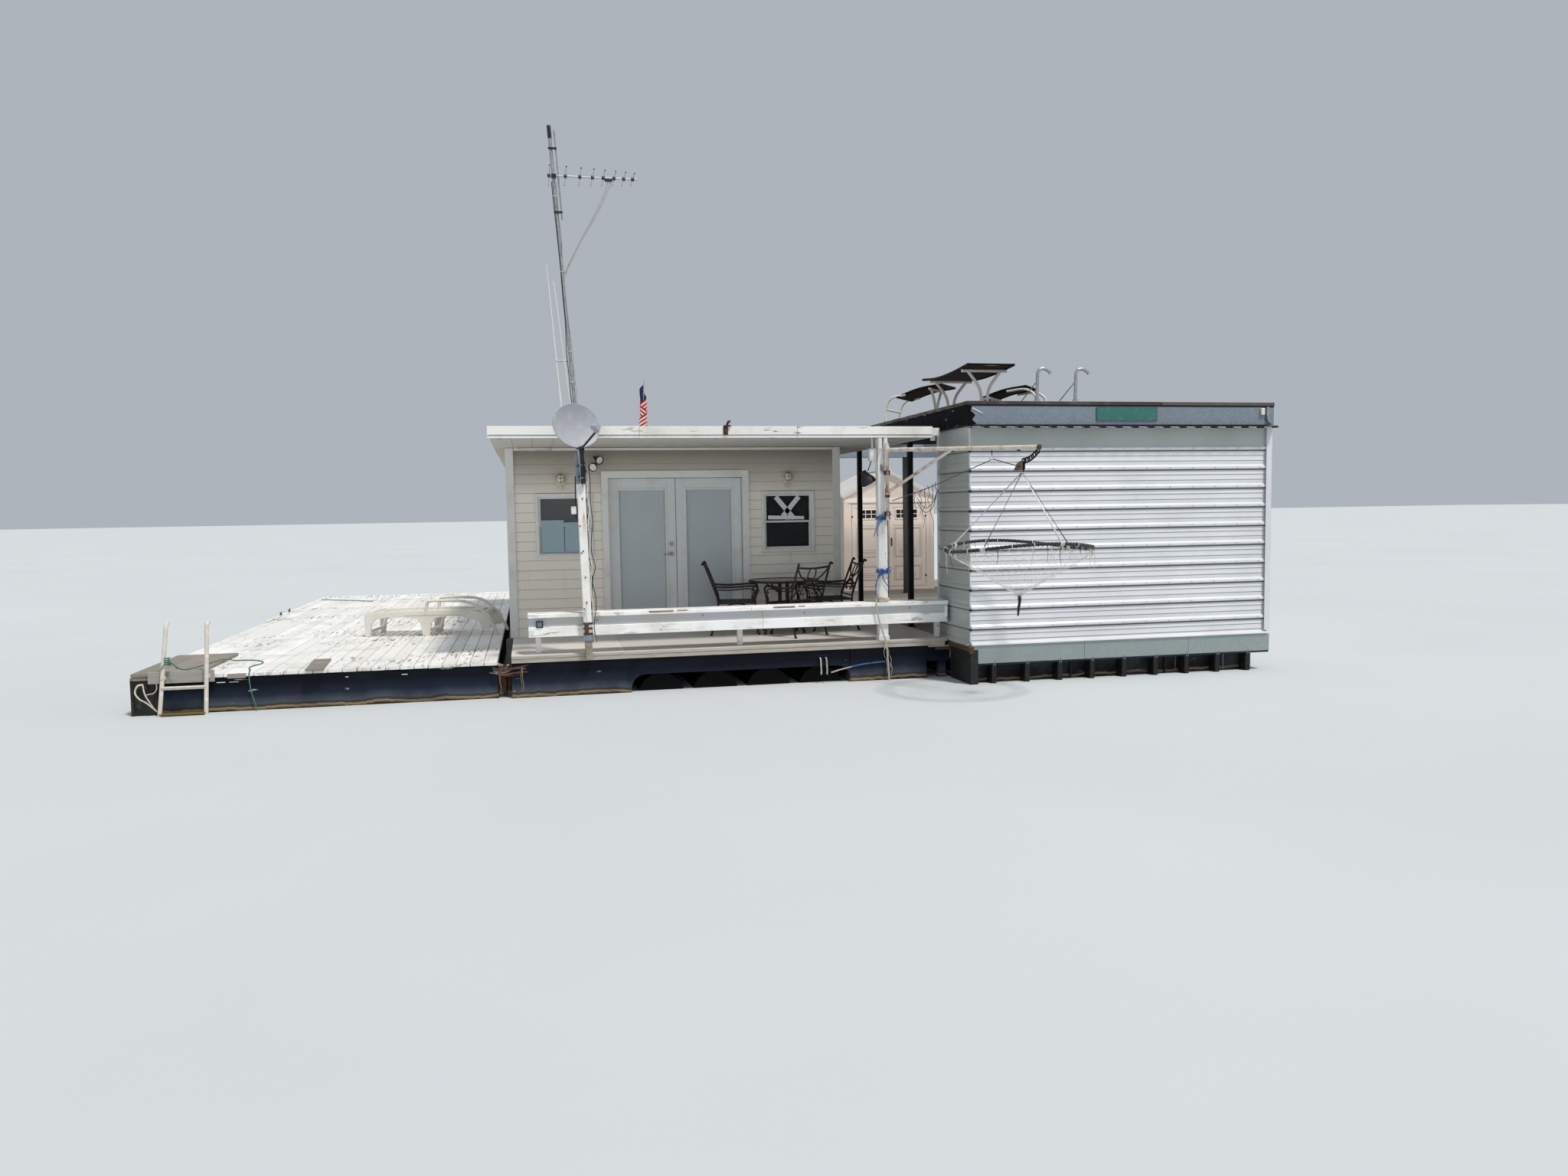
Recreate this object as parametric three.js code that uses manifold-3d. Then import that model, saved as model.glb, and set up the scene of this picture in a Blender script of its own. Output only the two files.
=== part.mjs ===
// A houseboat on a lake: a boarded sun deck, a small sided cabin with a porch, and a ribbed
// steel dock house with a roof deck, all on floats that are coupled side by side.
// Millimetres. x runs right along the front, y runs back from the porch deck's front edge,
// and z is up from the water. The whole boat is then lifted onto the bottoms of its floats.

import * as THREE from 'three';
import { mergeVertices } from 'three/addons/utils/BufferGeometryUtils.js';
import Module from 'manifold-3d';

const wasm = await Module();
wasm.setup();

// Driving dimensions
const TOUCH = 0.3; // gap between pieces that rest on each other
const DRAFT = 350; // depth of the floats below the water

const sunDeck = { x0: -4270, x1: -400, y0: 90, y1: 11390, top: 410, board: 40, boards: 25, groove: 10 };
const porch = { x0: -250, x1: 4860, y0: 0, y1: 10790, top: 470, board: 80 };
const cabin = { x0: -270, x1: 4050, y0: 1900, y1: 8000, top: 2870, wall: 96, lap: 122, lapDepth: 14 };
const cabinRoof = { x0: -420, x1: 4670, y0: -10, y1: 8350, z0: 2870, z1: 3000 };
const dock = { x0: 4900, x1: 8780, y0: -650, y1: 10790, top: 450, board: 40 };
const dockWall = { x0: 4910, x1: 8750, y0: -630, y1: 7400, z0: 450.3, z1: 2958, sheet: 22, returnEnd: 390 };
const dockRoof = { x0: 4870, x1: 8790, y0: -670, y1: 7440, z0: 2960, z1: 3200, deck: 40, plate: 50 };
const shed = { x0: 5870, x1: 7700, y0: 8190, y1: 10240, eaves: 2280, ridge: 2750, wall: 40 };
const hinge = { radius: 6.7, off: 7, knuckle: 40, plate: 26, thick: 5 };
const frenchDoor = { x0: 990, x1: 2730, z0: 500, z1: 2475, thick: 45, casing: 45, clear: 5, meet: 8 };
const windowSize = { width: 660, height: 750, sill: 1515 };

// Colours
const colours = {
  navy: 0x1c2740,
  deckPaint: 0xdedad0,
  greyBoard: 0x8b8880,
  tanTrim: 0xb9a888,
  siding: 0xe2dcc6,
  white: 0xe9e8e2,
  blackPlastic: 0x1a1b1c,
  rust: 0x6a4230,
  aluminium: 0xb9bcbd,
  galvanised: 0x8f979a,
  steelDark: 0x2c2e30,
  panelWhite: 0xe4e7e8,
  dish: 0xa3a19c,
  resin: 0xc9b8a6,
  resinRoof: 0xa89e94,
  wroughtIron: 0x35281f,
  sling: 0x5a4335,
  whitePlastic: 0xeeeae2,
  green: 0x3f7d6a,
  net: 0x4a4a44,
  flagRed: 0xa8323a,
  greenRope: 0x2f6b52,
  paleRope: 0xcfc6b2,
};

function paint(colour, roughness, metalness = 0) {
  return new THREE.MeshStandardMaterial({ color: colour, roughness, metalness });
}

// Solids

function toSolid(geometry) {
  const bare = geometry.clone();
  bare.deleteAttribute('normal');
  bare.deleteAttribute('uv');
  const merged = mergeVertices(bare, 0.001);
  const mesh = new wasm.Mesh({
    numProp: 3,
    vertProperties: Float32Array.from(merged.attributes.position.array),
    triVerts: Uint32Array.from(merged.index.array),
  });
  return new wasm.Manifold(mesh);
}

function toGeometry(solid) {
  const mesh = solid.getMesh();
  const geometry = new THREE.BufferGeometry();
  geometry.setAttribute('position', new THREE.BufferAttribute(mesh.vertProperties, 3));
  geometry.setIndex(new THREE.BufferAttribute(mesh.triVerts, 1));
  geometry.computeVertexNormals();
  return geometry;
}

function join(geometries) {
  const solids = geometries.map(toSolid);
  return toGeometry(solids.reduce((whole, next) => whole.add(next)));
}

function cut(geometry, cutters) {
  return toGeometry(cutters.reduce((left, cutter) => left.subtract(toSolid(cutter)), toSolid(geometry)));
}

function block(x0, x1, y0, y1, z0, z1) {
  const geometry = new THREE.BoxGeometry(x1 - x0, y1 - y0, z1 - z0);
  return geometry.translate((x0 + x1) / 2, (y0 + y1) / 2, (z0 + z1) / 2);
}

// An outline of (y, z) points, drawn out from x0 to x1
function alongX(outline, x0, x1) {
  const shape = new THREE.Shape(outline.map(([y, z]) => new THREE.Vector2(y, z)));
  const geometry = new THREE.ExtrudeGeometry(shape, { depth: x1 - x0, bevelEnabled: false });
  const turn = new THREE.Matrix4().makeBasis(
    new THREE.Vector3(0, 1, 0),
    new THREE.Vector3(0, 0, 1),
    new THREE.Vector3(1, 0, 0),
  );
  return geometry.applyMatrix4(turn).translate(x0, 0, 0);
}

// An outline of (x, z) points, drawn out from y0 to y1
function alongY(outline, y0, y1) {
  const shape = new THREE.Shape(outline.map(([x, z]) => new THREE.Vector2(x, z)));
  const geometry = new THREE.ExtrudeGeometry(shape, { depth: y1 - y0, bevelEnabled: false });
  return geometry.rotateX(Math.PI / 2).translate(0, y1, 0);
}

// A straight round bar between two points
function rod(from, to, radius, sides = 8) {
  const start = new THREE.Vector3(...from);
  const end = new THREE.Vector3(...to);
  const along = end.clone().sub(start);
  const geometry = new THREE.CylinderGeometry(radius, radius, along.length(), sides);
  const turn = new THREE.Quaternion().setFromUnitVectors(new THREE.Vector3(0, 1, 0), along.normalize());
  const middle = start.add(end).multiplyScalar(0.5);
  return geometry.applyQuaternion(turn).translate(middle.x, middle.y, middle.z);
}

// Straight bars through several points, each run a little past the bends
function frameRods(points, radius, sides = 4) {
  const corners = points.map((point) => new THREE.Vector3(...point));
  return corners.slice(1).map((end, i) => {
    const start = corners[i];
    const past = end.clone().sub(start).setLength(radius * 0.6);
    const from = i > 0 ? start.clone().sub(past) : start;
    const to = i < corners.length - 2 ? end.clone().add(past) : end;
    return rod(from.toArray(), to.toArray(), radius, sides);
  });
}

const boat = new THREE.Group();
boat.name = 'houseboat';

function add(name, geometry, material, parent = boat) {
  const mesh = new THREE.Mesh(geometry, material);
  mesh.name = name;
  parent.add(mesh);
  return mesh;
}

// Floats and decks

function buildSunDeck() {
  const under = sunDeck.top - sunDeck.board;
  add('sun_deck_float', block(sunDeck.x0, sunDeck.x1, sunDeck.y0, sunDeck.y1, -DRAFT, under - TOUCH),
    paint(colours.navy, 0.7));

  // Boards run front to back, with a groove between each two
  const pitch = (sunDeck.x1 - sunDeck.x0) / sunDeck.boards;
  const depth = sunDeck.board * 0.6;
  const outline = [[sunDeck.x0, under]];
  outline.push([sunDeck.x0, sunDeck.top]);
  for (let i = 1; i < sunDeck.boards; i += 1) {
    const x = sunDeck.x0 + i * pitch;
    const half = sunDeck.groove / 2;
    outline.push([x - half, sunDeck.top], [x - half, sunDeck.top - depth]);
    outline.push([x + half, sunDeck.top - depth], [x + half, sunDeck.top]);
  }
  outline.push([sunDeck.x1, sunDeck.top], [sunDeck.x1, under]);
  add('sun_deck_boards', alongY(outline, sunDeck.y0 - 15, sunDeck.y1), paint(colours.deckPaint, 0.8));

  const step = { x0: -4330, x1: -3440, y0: 55, y1: 1700, thick: 34, skirt: 110 };
  const stepTop = sunDeck.top + step.thick;
  const stepSlab = block(step.x0, step.x1, step.y0, step.y1, sunDeck.top + TOUCH, stepTop);
  const stepSkirt = block(step.x0 + 330, step.x1, step.y0 - 24, step.y0 + 10, sunDeck.top - step.skirt, stepTop);
  add('corner_step', join([stepSlab, stepSkirt]), paint(colours.greyBoard, 0.85));
}

function buildSwimLadder() {
  const ladder = { x0: -3725, x1: -3325, y: -5, top: 1000, bottom: -DRAFT + 30, tube: 21, hook: 260 };
  const pieces = [ladder.x0, ladder.x1].flatMap((x) => frameRods([
    [x - 60 * (x < -3500 ? 1 : 0.3), ladder.y - 40, ladder.bottom],
    [x, ladder.y, ladder.top],
    [x, ladder.y + ladder.hook, ladder.top - 40],
    [x, ladder.y + ladder.hook, sunDeck.top + 34 + TOUCH * 2],
  ], ladder.tube, 6));
  for (const z of [-230, 45, 300]) {
    const lean = ladder.y - 40 * (1 - (z - ladder.bottom) / (ladder.top - ladder.bottom));
    pieces.push(rod([ladder.x0 - 40, lean, z], [ladder.x1, lean, z], 18, 6));
  }
  for (const x of [ladder.x0, ladder.x1]) {
    pieces.push(block(x - 22, x + 22, ladder.y - 10, 55 - 24 - TOUCH, 330, 374));
  }
  add('swim_ladder', join(pieces), paint(colours.aluminium, 0.4, 0.9));
}

function buildCabinFloat() {
  const under = porch.top - porch.board;
  const bay = { x0: 1070, x1: 3650 };
  const right = 4600;
  const pieces = [
    block(porch.x0, bay.x0, porch.y0 + 20, porch.y1, -DRAFT, under - TOUCH),
    block(bay.x1, right, porch.y0 + 20, porch.y1, -DRAFT, under - TOUCH),
  ];
  const beam = { wide: 100, z0: 200, z1: under - 6 };
  for (const y of [porch.y0 + 30, 2640, 5260, 7880, porch.y1 - 120]) {
    pieces.push(block(bay.x0 - 10, bay.x1 + 10, y, y + beam.wide, beam.z0, beam.z1));
  }
  const nose = porch.y0 + 40;
  pieces.push(block(right - 10, dock.x0 - TOUCH, nose, nose + beam.wide, beam.z0, beam.z1));
  pieces.push(block(porch.x1 - 95, porch.x1 - 5, nose + 10, nose + beam.wide - 10, -60, beam.z0 + 20));
  add('cabin_float', join(pieces), paint(colours.navy, 0.7));

  // Rows of black drums lie front to back between the two blocks, on flat straps
  const drum = { radius: 270, count: 4, y0: 110, y1: porch.y1 - 130 };
  const pitch = (bay.x1 - bay.x0 - 60) / drum.count;
  const drums = [];
  for (let i = 0; i < drum.count; i += 1) {
    const x = bay.x0 + 30 + pitch * (i + 0.5);
    const z = 200 - TOUCH - drum.radius;
    drums.push(rod([x, drum.y0, z], [x, drum.y1, z], drum.radius, 16));
  }
  for (const y of [800, 4200, 7400, 9900]) {
    drums.push(block(bay.x0 + 6, bay.x1 - 6, y, y + 120, -300, -240));
  }
  add('float_drums', join(drums), paint(colours.blackPlastic, 0.5));

  const deck = block(porch.x0, porch.x1 - 20, porch.y0 + 18, porch.y1, under, porch.top);
  const trim = block(porch.x0, porch.x1, porch.y0, porch.y0 + 20, under, porch.top);
  add('porch_deck', join([deck, trim]), paint(colours.tanTrim, 0.8));
}

// Rusted plates and a pin that tie the sun deck's float to the cabin's
function buildCouplings() {
  const couplings = [
    ['float_coupling_front', 150],
    ['float_coupling_back', 10300],
  ];
  for (const [name, y] of couplings) {
    const gapLeft = sunDeck.x1 + TOUCH;
    const gapRight = porch.x0 - TOUCH;
    const middle = (gapLeft + gapRight) / 2;
    add(name, join([
      block(gapLeft, middle + 10, y, y + 60, 60, 300),
      block(middle - 10, gapRight, y + 50, y + 110, 60, 300),
      rod([middle, y + 30, 20], [middle, y + 30, 350], 22),
      rod([middle, y + 80, 20], [middle, y + 80, 350], 22),
    ]), paint(colours.rust, 0.9, 0.3));
  }
}

// Cabin

// The outer face of lapped boards, as (depth, height) points that stand out from zero
function lapProfile(z0, z1) {
  const points = [];
  for (let z = z0; z < z1 - 1; z += cabin.lap) {
    const top = Math.min(z + cabin.lap, z1);
    points.push([-cabin.lapDepth, z], [-2, top]);
  }
  return points;
}

function sidingWall(side, from, to) {
  const z0 = porch.top + TOUCH;
  const z1 = cabin.top - TOUCH;
  const face = cabin.lapDepth;
  const lap = lapProfile(z0, z1).map(([depth, z]) => [depth + face, z]);
  const outline = [[face + cabin.wall, z0], ...lap, [face + cabin.wall, z1]];
  const place = {
    front: () => alongX(outline.map(([d, z]) => [cabin.y0 + d, z]), from, to),
    back: () => alongX(outline.map(([d, z]) => [cabin.y1 - d, z]), from, to),
    left: () => alongY(outline.map(([d, z]) => [cabin.x0 + d, z]), from, to),
    right: () => alongY(outline.map(([d, z]) => [cabin.x1 - d, z]), from, to),
  };
  return place[side]();
}

// Windows: wall, centre along the wall
const windows = [
  { name: 'front_window_left', side: 'front', at: 425 },
  { name: 'front_window_right', side: 'front', at: 3350 },
  { name: 'left_window', side: 'left', at: 5000 },
  { name: 'right_window', side: 'right', at: 5000 },
  { name: 'back_window', side: 'back', at: 1890 },
];

// A double-hung window in its own frame: x across, y inward from the siding's face, z up
function windowGeometry() {
  const w = windowSize.width / 2;
  const h = windowSize.height;
  const casing = 28;
  const frame = cut(block(-w + TOUCH, w - TOUCH, 4, 100, TOUCH, h - TOUCH), [
    block(-w + 42, w - 42, 0, 110, 42, h - 42),
  ]);
  const flange = cut(block(-w - casing, w + casing, -16, -TOUCH, -casing, h + casing), [
    block(-w + 42, w - 42, -20, 20, 42, h - 42),
  ]);
  const lip = cut(block(-w + TOUCH, w - TOUCH, -10, 10, TOUCH, h - TOUCH), [
    block(-w + 42, w - 42, -20, 20, 42, h - 42),
  ]);
  const rail = block(-w + 40, w - 40, 20, 60, h / 2 - 20, h / 2 + 20);
  const pane = block(-w + 40, w - 40, 34, 42, 40, h - 40);
  return join([frame, flange, lip, rail, pane]);
}

const wallPlaces = {
  front: (at) => ({ position: [at, cabin.y0, windowSize.sill], turn: 0 }),
  back: (at) => ({ position: [at, cabin.y1, windowSize.sill], turn: Math.PI }),
  left: (at) => ({ position: [cabin.x0, at, windowSize.sill], turn: -Math.PI / 2 }),
  right: (at) => ({ position: [cabin.x1, at, windowSize.sill], turn: Math.PI / 2 }),
};

function windowHole(side, at) {
  const w = windowSize.width / 2;
  const z0 = windowSize.sill;
  const z1 = z0 + windowSize.height;
  const through = 300;
  const y = side === 'front' ? cabin.y0 : cabin.y1;
  const x = side === 'left' ? cabin.x0 : cabin.x1;
  if (side === 'front' || side === 'back') {
    return block(at - w, at + w, y - through, y + through, z0, z1);
  }
  return block(x - through, x + through, at - w, at + w, z0, z1);
}

function buildCabin() {
  const siding = paint(colours.siding, 0.6);
  const inner = cabin.wall + cabin.lapDepth;
  const doorHole = block(frenchDoor.x0 - 45, frenchDoor.x1 + 45, cabin.y0 - 300, cabin.y0 + 300,
    0, frenchDoor.z1 + 50);
  const walls = [
    ['cabin_front_wall', 'front', cabin.x0, cabin.x1],
    ['cabin_back_wall', 'back', cabin.x0, cabin.x1],
    ['cabin_left_wall', 'left', cabin.y0 + inner + TOUCH, cabin.y1 - inner - TOUCH],
    ['cabin_right_wall', 'right', cabin.y0 + inner + TOUCH, cabin.y1 - inner - TOUCH],
  ];
  for (const [name, side, from, to] of walls) {
    const holes = windows.filter((row) => row.side === side).map((row) => windowHole(side, row.at));
    if (side === 'front') {
      holes.push(doorHole);
    }
    add(name, cut(sidingWall(side, from, to), holes), siding);
  }

  const windowShape = windowGeometry();
  for (const row of windows) {
    const place = wallPlaces[row.side](row.at);
    const mesh = add(row.name, windowShape, paint(colours.white, 0.5));
    mesh.position.set(...place.position);
    mesh.rotation.z = place.turn;
  }

  const r = cabinRoof;
  const lip = 12;
  add('cabin_roof', join([
    block(r.x0, r.x1, r.y0, r.y1, r.z0, r.z1 - 8),
    block(r.x0 - lip, r.x1 + lip, r.y0 - lip, r.y1 + lip, r.z1 - 34, r.z1),
  ]), paint(colours.white, 0.65));
}

// Half a butt hinge: a knuckle round the pin at (x, y), and a plate from it onto a flat face
function hingeHalf(x, y, side, z, face) {
  const plateStart = Math.min(x, x + side * hinge.plate);
  const into = y > face ? -3 : 3;
  const plateY = [face + into, face - into * 1.6].sort((a, b) => a - b);
  return [
    rod([x, y, z], [x, y, z + hinge.knuckle], hinge.radius, 12),
    block(plateStart, plateStart + hinge.plate, ...plateY, z, z + hinge.knuckle),
  ];
}

function buildFrenchDoor() {
  const d = frenchDoor;
  const inner = cabin.y0 + cabin.wall + cabin.lapDepth;
  const leafBack = inner;
  const leafFront = inner - d.thick;
  const white = paint(colours.white, 0.5);
  const sillTop = d.z0 - d.clear;

  const hole = { x0: d.x0 - 45 + TOUCH, x1: d.x1 + 45 - TOUCH, z1: d.z1 + 50 - TOUCH };
  const base = porch.top + TOUCH;
  const jamb = cut(block(hole.x0, hole.x1, cabin.y0 - 10, inner, base, hole.z1), [
    block(d.x0 - d.clear, d.x1 + d.clear, cabin.y0 - 100, inner + 100, sillTop, d.z1 + d.clear),
  ]);
  const casing = cut(block(hole.x0 - d.casing, hole.x1 + d.casing, cabin.y0 - 18, cabin.y0 - TOUCH, base,
    hole.z1 + d.casing), [
    block(d.x0 - d.clear, d.x1 + d.clear, cabin.y0 - 100, inner, base - 10, d.z1 + d.clear),
  ]);
  const hingeHeights = [160, 960, 1760];
  const pinY = inner + hinge.off;
  const fixedHinges = [[d.x0 - d.clear / 2, -1], [d.x1 + d.clear / 2, 1]].flatMap(([x, side]) => (
    hingeHeights.flatMap((z) => hingeHalf(x, pinY, side, d.z0 + z, inner))
  ));
  add('door_frame', join([jamb, casing, ...fixedHinges]), white);

  // Each leaf opens into the cabin on a pin at its inner corner
  const width = (d.x1 - d.x0 - d.meet) / 2;
  const height = d.z1 - d.z0;
  const stile = 112;
  for (const [name, edge, sign] of [['door_leaf_left', d.x0, 1], ['door_leaf_right', d.x1, -1]]) {
    const span = (a, b) => (sign > 0 ? [a, b] : [-b, -a]);
    const panelHole = span(stile, width - stile);
    const ring = cut(block(...span(0, width), leafFront - leafBack, 0, 0, height), [
      block(...panelHole, -100, 100, 235, height - 130),
    ]);
    const pane = block(...span(stile - 5, width - stile + 5), -30, -15, 230, height - 125);
    const pieces = [ring, pane];
    if (sign > 0) {
      const x = width - 62;
      pieces.push(rod([x, -95, 990], [x, 50, 990], 14));
      pieces.push(rod([x, -60, 1120], [x, -20, 1120], 26));
      pieces.push(block(x - 110, x + 12, -100, -84, 980, 1000));
      pieces.push(block(x - 110, x + 12, 39, 55, 980, 1000));
    }
    for (const z of hingeHeights) {
      const start = z + hinge.knuckle + TOUCH;
      pieces.push(...hingeHalf(-sign * (d.clear / 2), hinge.off, sign, start, 0));
    }
    const leaf = add(name, join(pieces), white);
    leaf.position.set(edge, leafBack, d.z0);
  }
}

// Porch

function buildPorch() {
  const white = paint(colours.white, 0.7);
  const bench = { x0: -60, x1: 4870, deep: 260, z0: 670, z1: 930, board: 70, apron: 40 };
  const benchPieces = [
    block(bench.x0, bench.x1, 0, bench.deep, bench.z1 - bench.board, bench.z1),
    block(bench.x0, bench.x1, 0, bench.apron, bench.z0, bench.z1 - 10),
  ];
  for (const x of [20, 2330, 4780]) {
    benchPieces.push(block(x, x + 60, bench.deep - 80, bench.deep - 20, porch.top + TOUCH, bench.z1 - 10));
  }
  const postRight = { x0: 4022, x1: 4132, y0: bench.apron + TOUCH, y1: 150 };
  add('porch_bench', cut(join(benchPieces), [
    block(postRight.x0 - TOUCH, postRight.x1 + TOUCH, postRight.y0 - TOUCH, postRight.y1 + TOUCH, 0, 2000),
  ]), white);

  add('porch_post_left', join([
    block(585, 675, -90, -TOUCH, 400, 2640),
    block(575, 685, -90, -TOUCH, 2600, 2640),
  ]), white);
  add('porch_post_right', block(postRight.x0, postRight.x1, postRight.y0, postRight.y1,
    porch.top + TOUCH, cabinRoof.z0 - TOUCH), white);

  for (const [name, x] of [['porch_light_left', 390], ['porch_light_right', 3340]]) {
    add(name, join([
      block(x - 62, x + 62, cabin.y0 - 24, cabin.y0 - TOUCH, 2380, 2540),
      rod([x, cabin.y0 - 20, 2480], [x, cabin.y0 - 120, 2470], 58, 12),
    ]), paint(colours.white, 0.5));
  }
}

// Mast, television aerial and dish

function buildMast() {
  const mast = { foot: [600, -112, 2380], head: [320, -112, 6200], tube: 19 };
  const leanAt = (z) => {
    const part = (z - mast.foot[2]) / (mast.head[2] - mast.foot[2]);
    return mast.foot[0] + part * (mast.head[0] - mast.foot[0]);
  };
  const whip = { foot: [372, -112, 3150], head: [255, -112, 4730], tube: 9 };
  add('antenna_mast', join([
    rod(mast.foot, mast.head, mast.tube),
    rod(whip.foot, whip.head, whip.tube),
    rod([leanAt(3200), -112, 3200], [364, -112, 3200], 12),
    rod([leanAt(3700), -112, 3700], [328, -112, 3700], 12),
    ...[2440, 2560].map((z) => (
      block(leanAt(z) - 34, leanAt(z) + 34, -112, -90 - TOUCH, z - 14, z + 14)
    )),
  ]), paint(colours.aluminium, 0.5, 0.8));

  // Elements: place along the boom, half length
  const elements = [
    [0.02, 380],
    [0.2, 350],
    [0.36, 330],
    [0.5, 310],
    [0.62, 290],
    [0.74, 270],
    [0.85, 250],
    [0.95, 230],
  ];
  const boom = { x0: 290, x1: 1250, z: 5660, tube: 11 };
  const y = -112 - mast.tube - boom.tube - TOUCH;
  const aerial = [rod([boom.x0, y, boom.z], [boom.x1, y, boom.z], boom.tube)];
  for (const [part, half] of elements) {
    const x = boom.x0 + part * (boom.x1 - boom.x0);
    aerial.push(rod([x, y - half, boom.z], [x, y + half, boom.z], 6, 6));
  }
  const clampX = leanAt(boom.z);
  const hug = rod(mast.foot, mast.head, mast.tube + 2 * TOUCH);
  aerial.push(cut(block(clampX - 26, clampX + 26, y, -112, boom.z - 20, boom.z + 20), [hug]));
  add('tv_aerial', join(aerial), paint(colours.aluminium, 0.5, 0.8));

  buildDish(leanAt, hug);
}

function buildDish(leanAt, hug) {
  const dish = { x: 510, y: -330, z: 2970, wide: 300, high: 240, deep: 62, turn: 0.56, tilt: -0.14 };
  const steps = 5;
  const bowl = Array.from({ length: steps + 1 }, (_, i) => [i / steps, (i / steps) ** 2]);
  const front = bowl.map(([r, d]) => new THREE.Vector2(r * dish.wide, d * dish.deep));
  const rear = bowl.map(([r, d]) => new THREE.Vector2(r * dish.wide, d * dish.deep - 9));
  const reflector = new THREE.LatheGeometry([...rear, ...front.reverse()], 24);
  reflector.scale(1, 1, dish.high / dish.wide).rotateX(Math.PI);
  const holder = new THREE.Group();
  holder.position.set(dish.x, dish.y, dish.z);
  holder.rotation.set(dish.tilt, 0, dish.turn, 'ZYX');
  boat.add(holder);
  add('satellite_dish', join([reflector]), paint(colours.dish, 0.6), holder);

  // A flat plate behind the bowl, an elbow and a clamp pipe down the mast's front
  holder.updateMatrix();
  const plate = block(-60, 60, 9 + TOUCH, 34, -90, 90).applyMatrix4(holder.matrix);
  const elbow = new THREE.Vector3(0, 30, -20).applyMatrix4(holder.matrix).toArray();
  const foot = leanAt(2800);
  const clampY = -112 - 19 - 15 - TOUCH;
  add('dish_bracket', join([
    plate,
    rod([foot + 25, clampY, 2420], [foot - 8, clampY, 2900], 15),
    ...[2500, 2740].map((z) => cut(
      block(leanAt(z) - 30, leanAt(z) + 30, clampY, -112, z - 16, z + 16),
      [hug],
    )),
    ...frameRods([[foot - 6, clampY, 2885], [foot - 6, clampY - 40, 2940], elbow], 17),
  ]), paint(colours.steelDark, 0.6, 0.5));
}

// Davit with its hanging net

function buildDavit() {
  const pivot = { x: 4115, y: -20 };
  const restAngle = -1.061;
  const steel = paint(colours.white, 0.7, 0.4);
  add('davit_post', join([
    rod([pivot.x, pivot.y, 1900], [pivot.x, pivot.y, 2800], 20, 24),
    rod([pivot.x, pivot.y, 2170], [pivot.x, pivot.y, 2200 - TOUCH], 29, 12),
    ...[1960, 2440].map((z) => block(pivot.x - 24, pivot.x + 16, pivot.y, 40, z, z + 40)),
  ]), steel);

  const swing = new THREE.Group();
  swing.position.set(pivot.x, pivot.y, 0);
  swing.rotation.z = restAngle;
  boat.add(swing);
  const arm = { length: 2150, root: 2725, tip: 2650, tube: 18, brace: 985, lug: 2622 };
  const hang = 1884;
  const sleeve = (z0, z1) => cut(rod([0, 0, z0], [0, 0, z1], 30, 24), [
    rod([0, 0, z0 - 5], [0, 0, z1 + 5], 20.6, 24),
  ]);
  add('davit_arm', join([
    sleeve(2680, 2770),
    sleeve(2200, 2280),
    rod([27, 0, arm.root], [arm.length, 0, arm.tip], arm.tube),
    rod([27, 0, 2240], [arm.brace, 0, arm.root - 40], arm.tube * 0.8),
    block(hang - 22, hang + 22, -12, 12, arm.lug, arm.lug + 30),
  ]), steel, swing);

  const hoop = { radius: 827, z: 1610, tube: 13 };
  const ring = new THREE.TorusGeometry(hoop.radius, hoop.tube, 6, 28).translate(hang, 0, hoop.z);
  const bridles = [0.25, 0.75, 1.25, 1.75].map((turn) => rod(
    [hang, 0, 2410],
    [hang + hoop.radius * Math.cos(turn * Math.PI), hoop.radius * Math.sin(turn * Math.PI), hoop.z],
    5,
    6,
  ));
  add('net_hoop', join([ring, ...bridles, block(hang - 25, hang + 25, -20, 20, 2400, 2560),
    rod([hang, 0, 2550], [hang, 0, arm.lug - TOUCH], 9)]), paint(colours.net, 0.8), swing);

  // The bag's rim lies flat under the hoop, and its tail hangs below the cod end
  const rim = hoop.z - hoop.tube * Math.sin(Math.PI / 3) - TOUCH;
  const outer = [[836, rim], [836, rim - 12], [600, 1390], [330, 1190], [80, 1020], [45, 900], [60, 800], [0, 780]];
  const inner = [[0, 1040], [60, 1060], [310, 1215], [580, 1415], [812, rim]];
  const profile = [...outer.reverse(), ...inner.reverse().slice(0, -1)].map(([r, z]) => (
    new THREE.Vector2(r, z)
  ));
  profile.push(new THREE.Vector2(0, 1040));
  const bag = join([new THREE.LatheGeometry(profile, 16).rotateX(Math.PI / 2)]);
  const bagMesh = add('net_bag', bag, paint(colours.net, 0.95), swing);
  bagMesh.position.set(hang, 0, 0);
}

// Dock house

// Main ribs with two minor ones between, as (depth, height) points that stand out from zero
function ribProfile(z0, z1) {
  const pitch = 228.6;
  const points = [];
  for (let z = z0 + 60; z < z1 - 40; z += pitch) {
    points.push([0, z - 22], [-19, z - 9], [-19, z + 9], [0, z + 22]);
    for (const minor of [pitch / 3, (2 * pitch) / 3]) {
      if (z + minor + 12 < z1) {
        points.push([0, z + minor - 9], [-5, z + minor], [0, z + minor + 9]);
      }
    }
  }
  return points;
}

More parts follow.
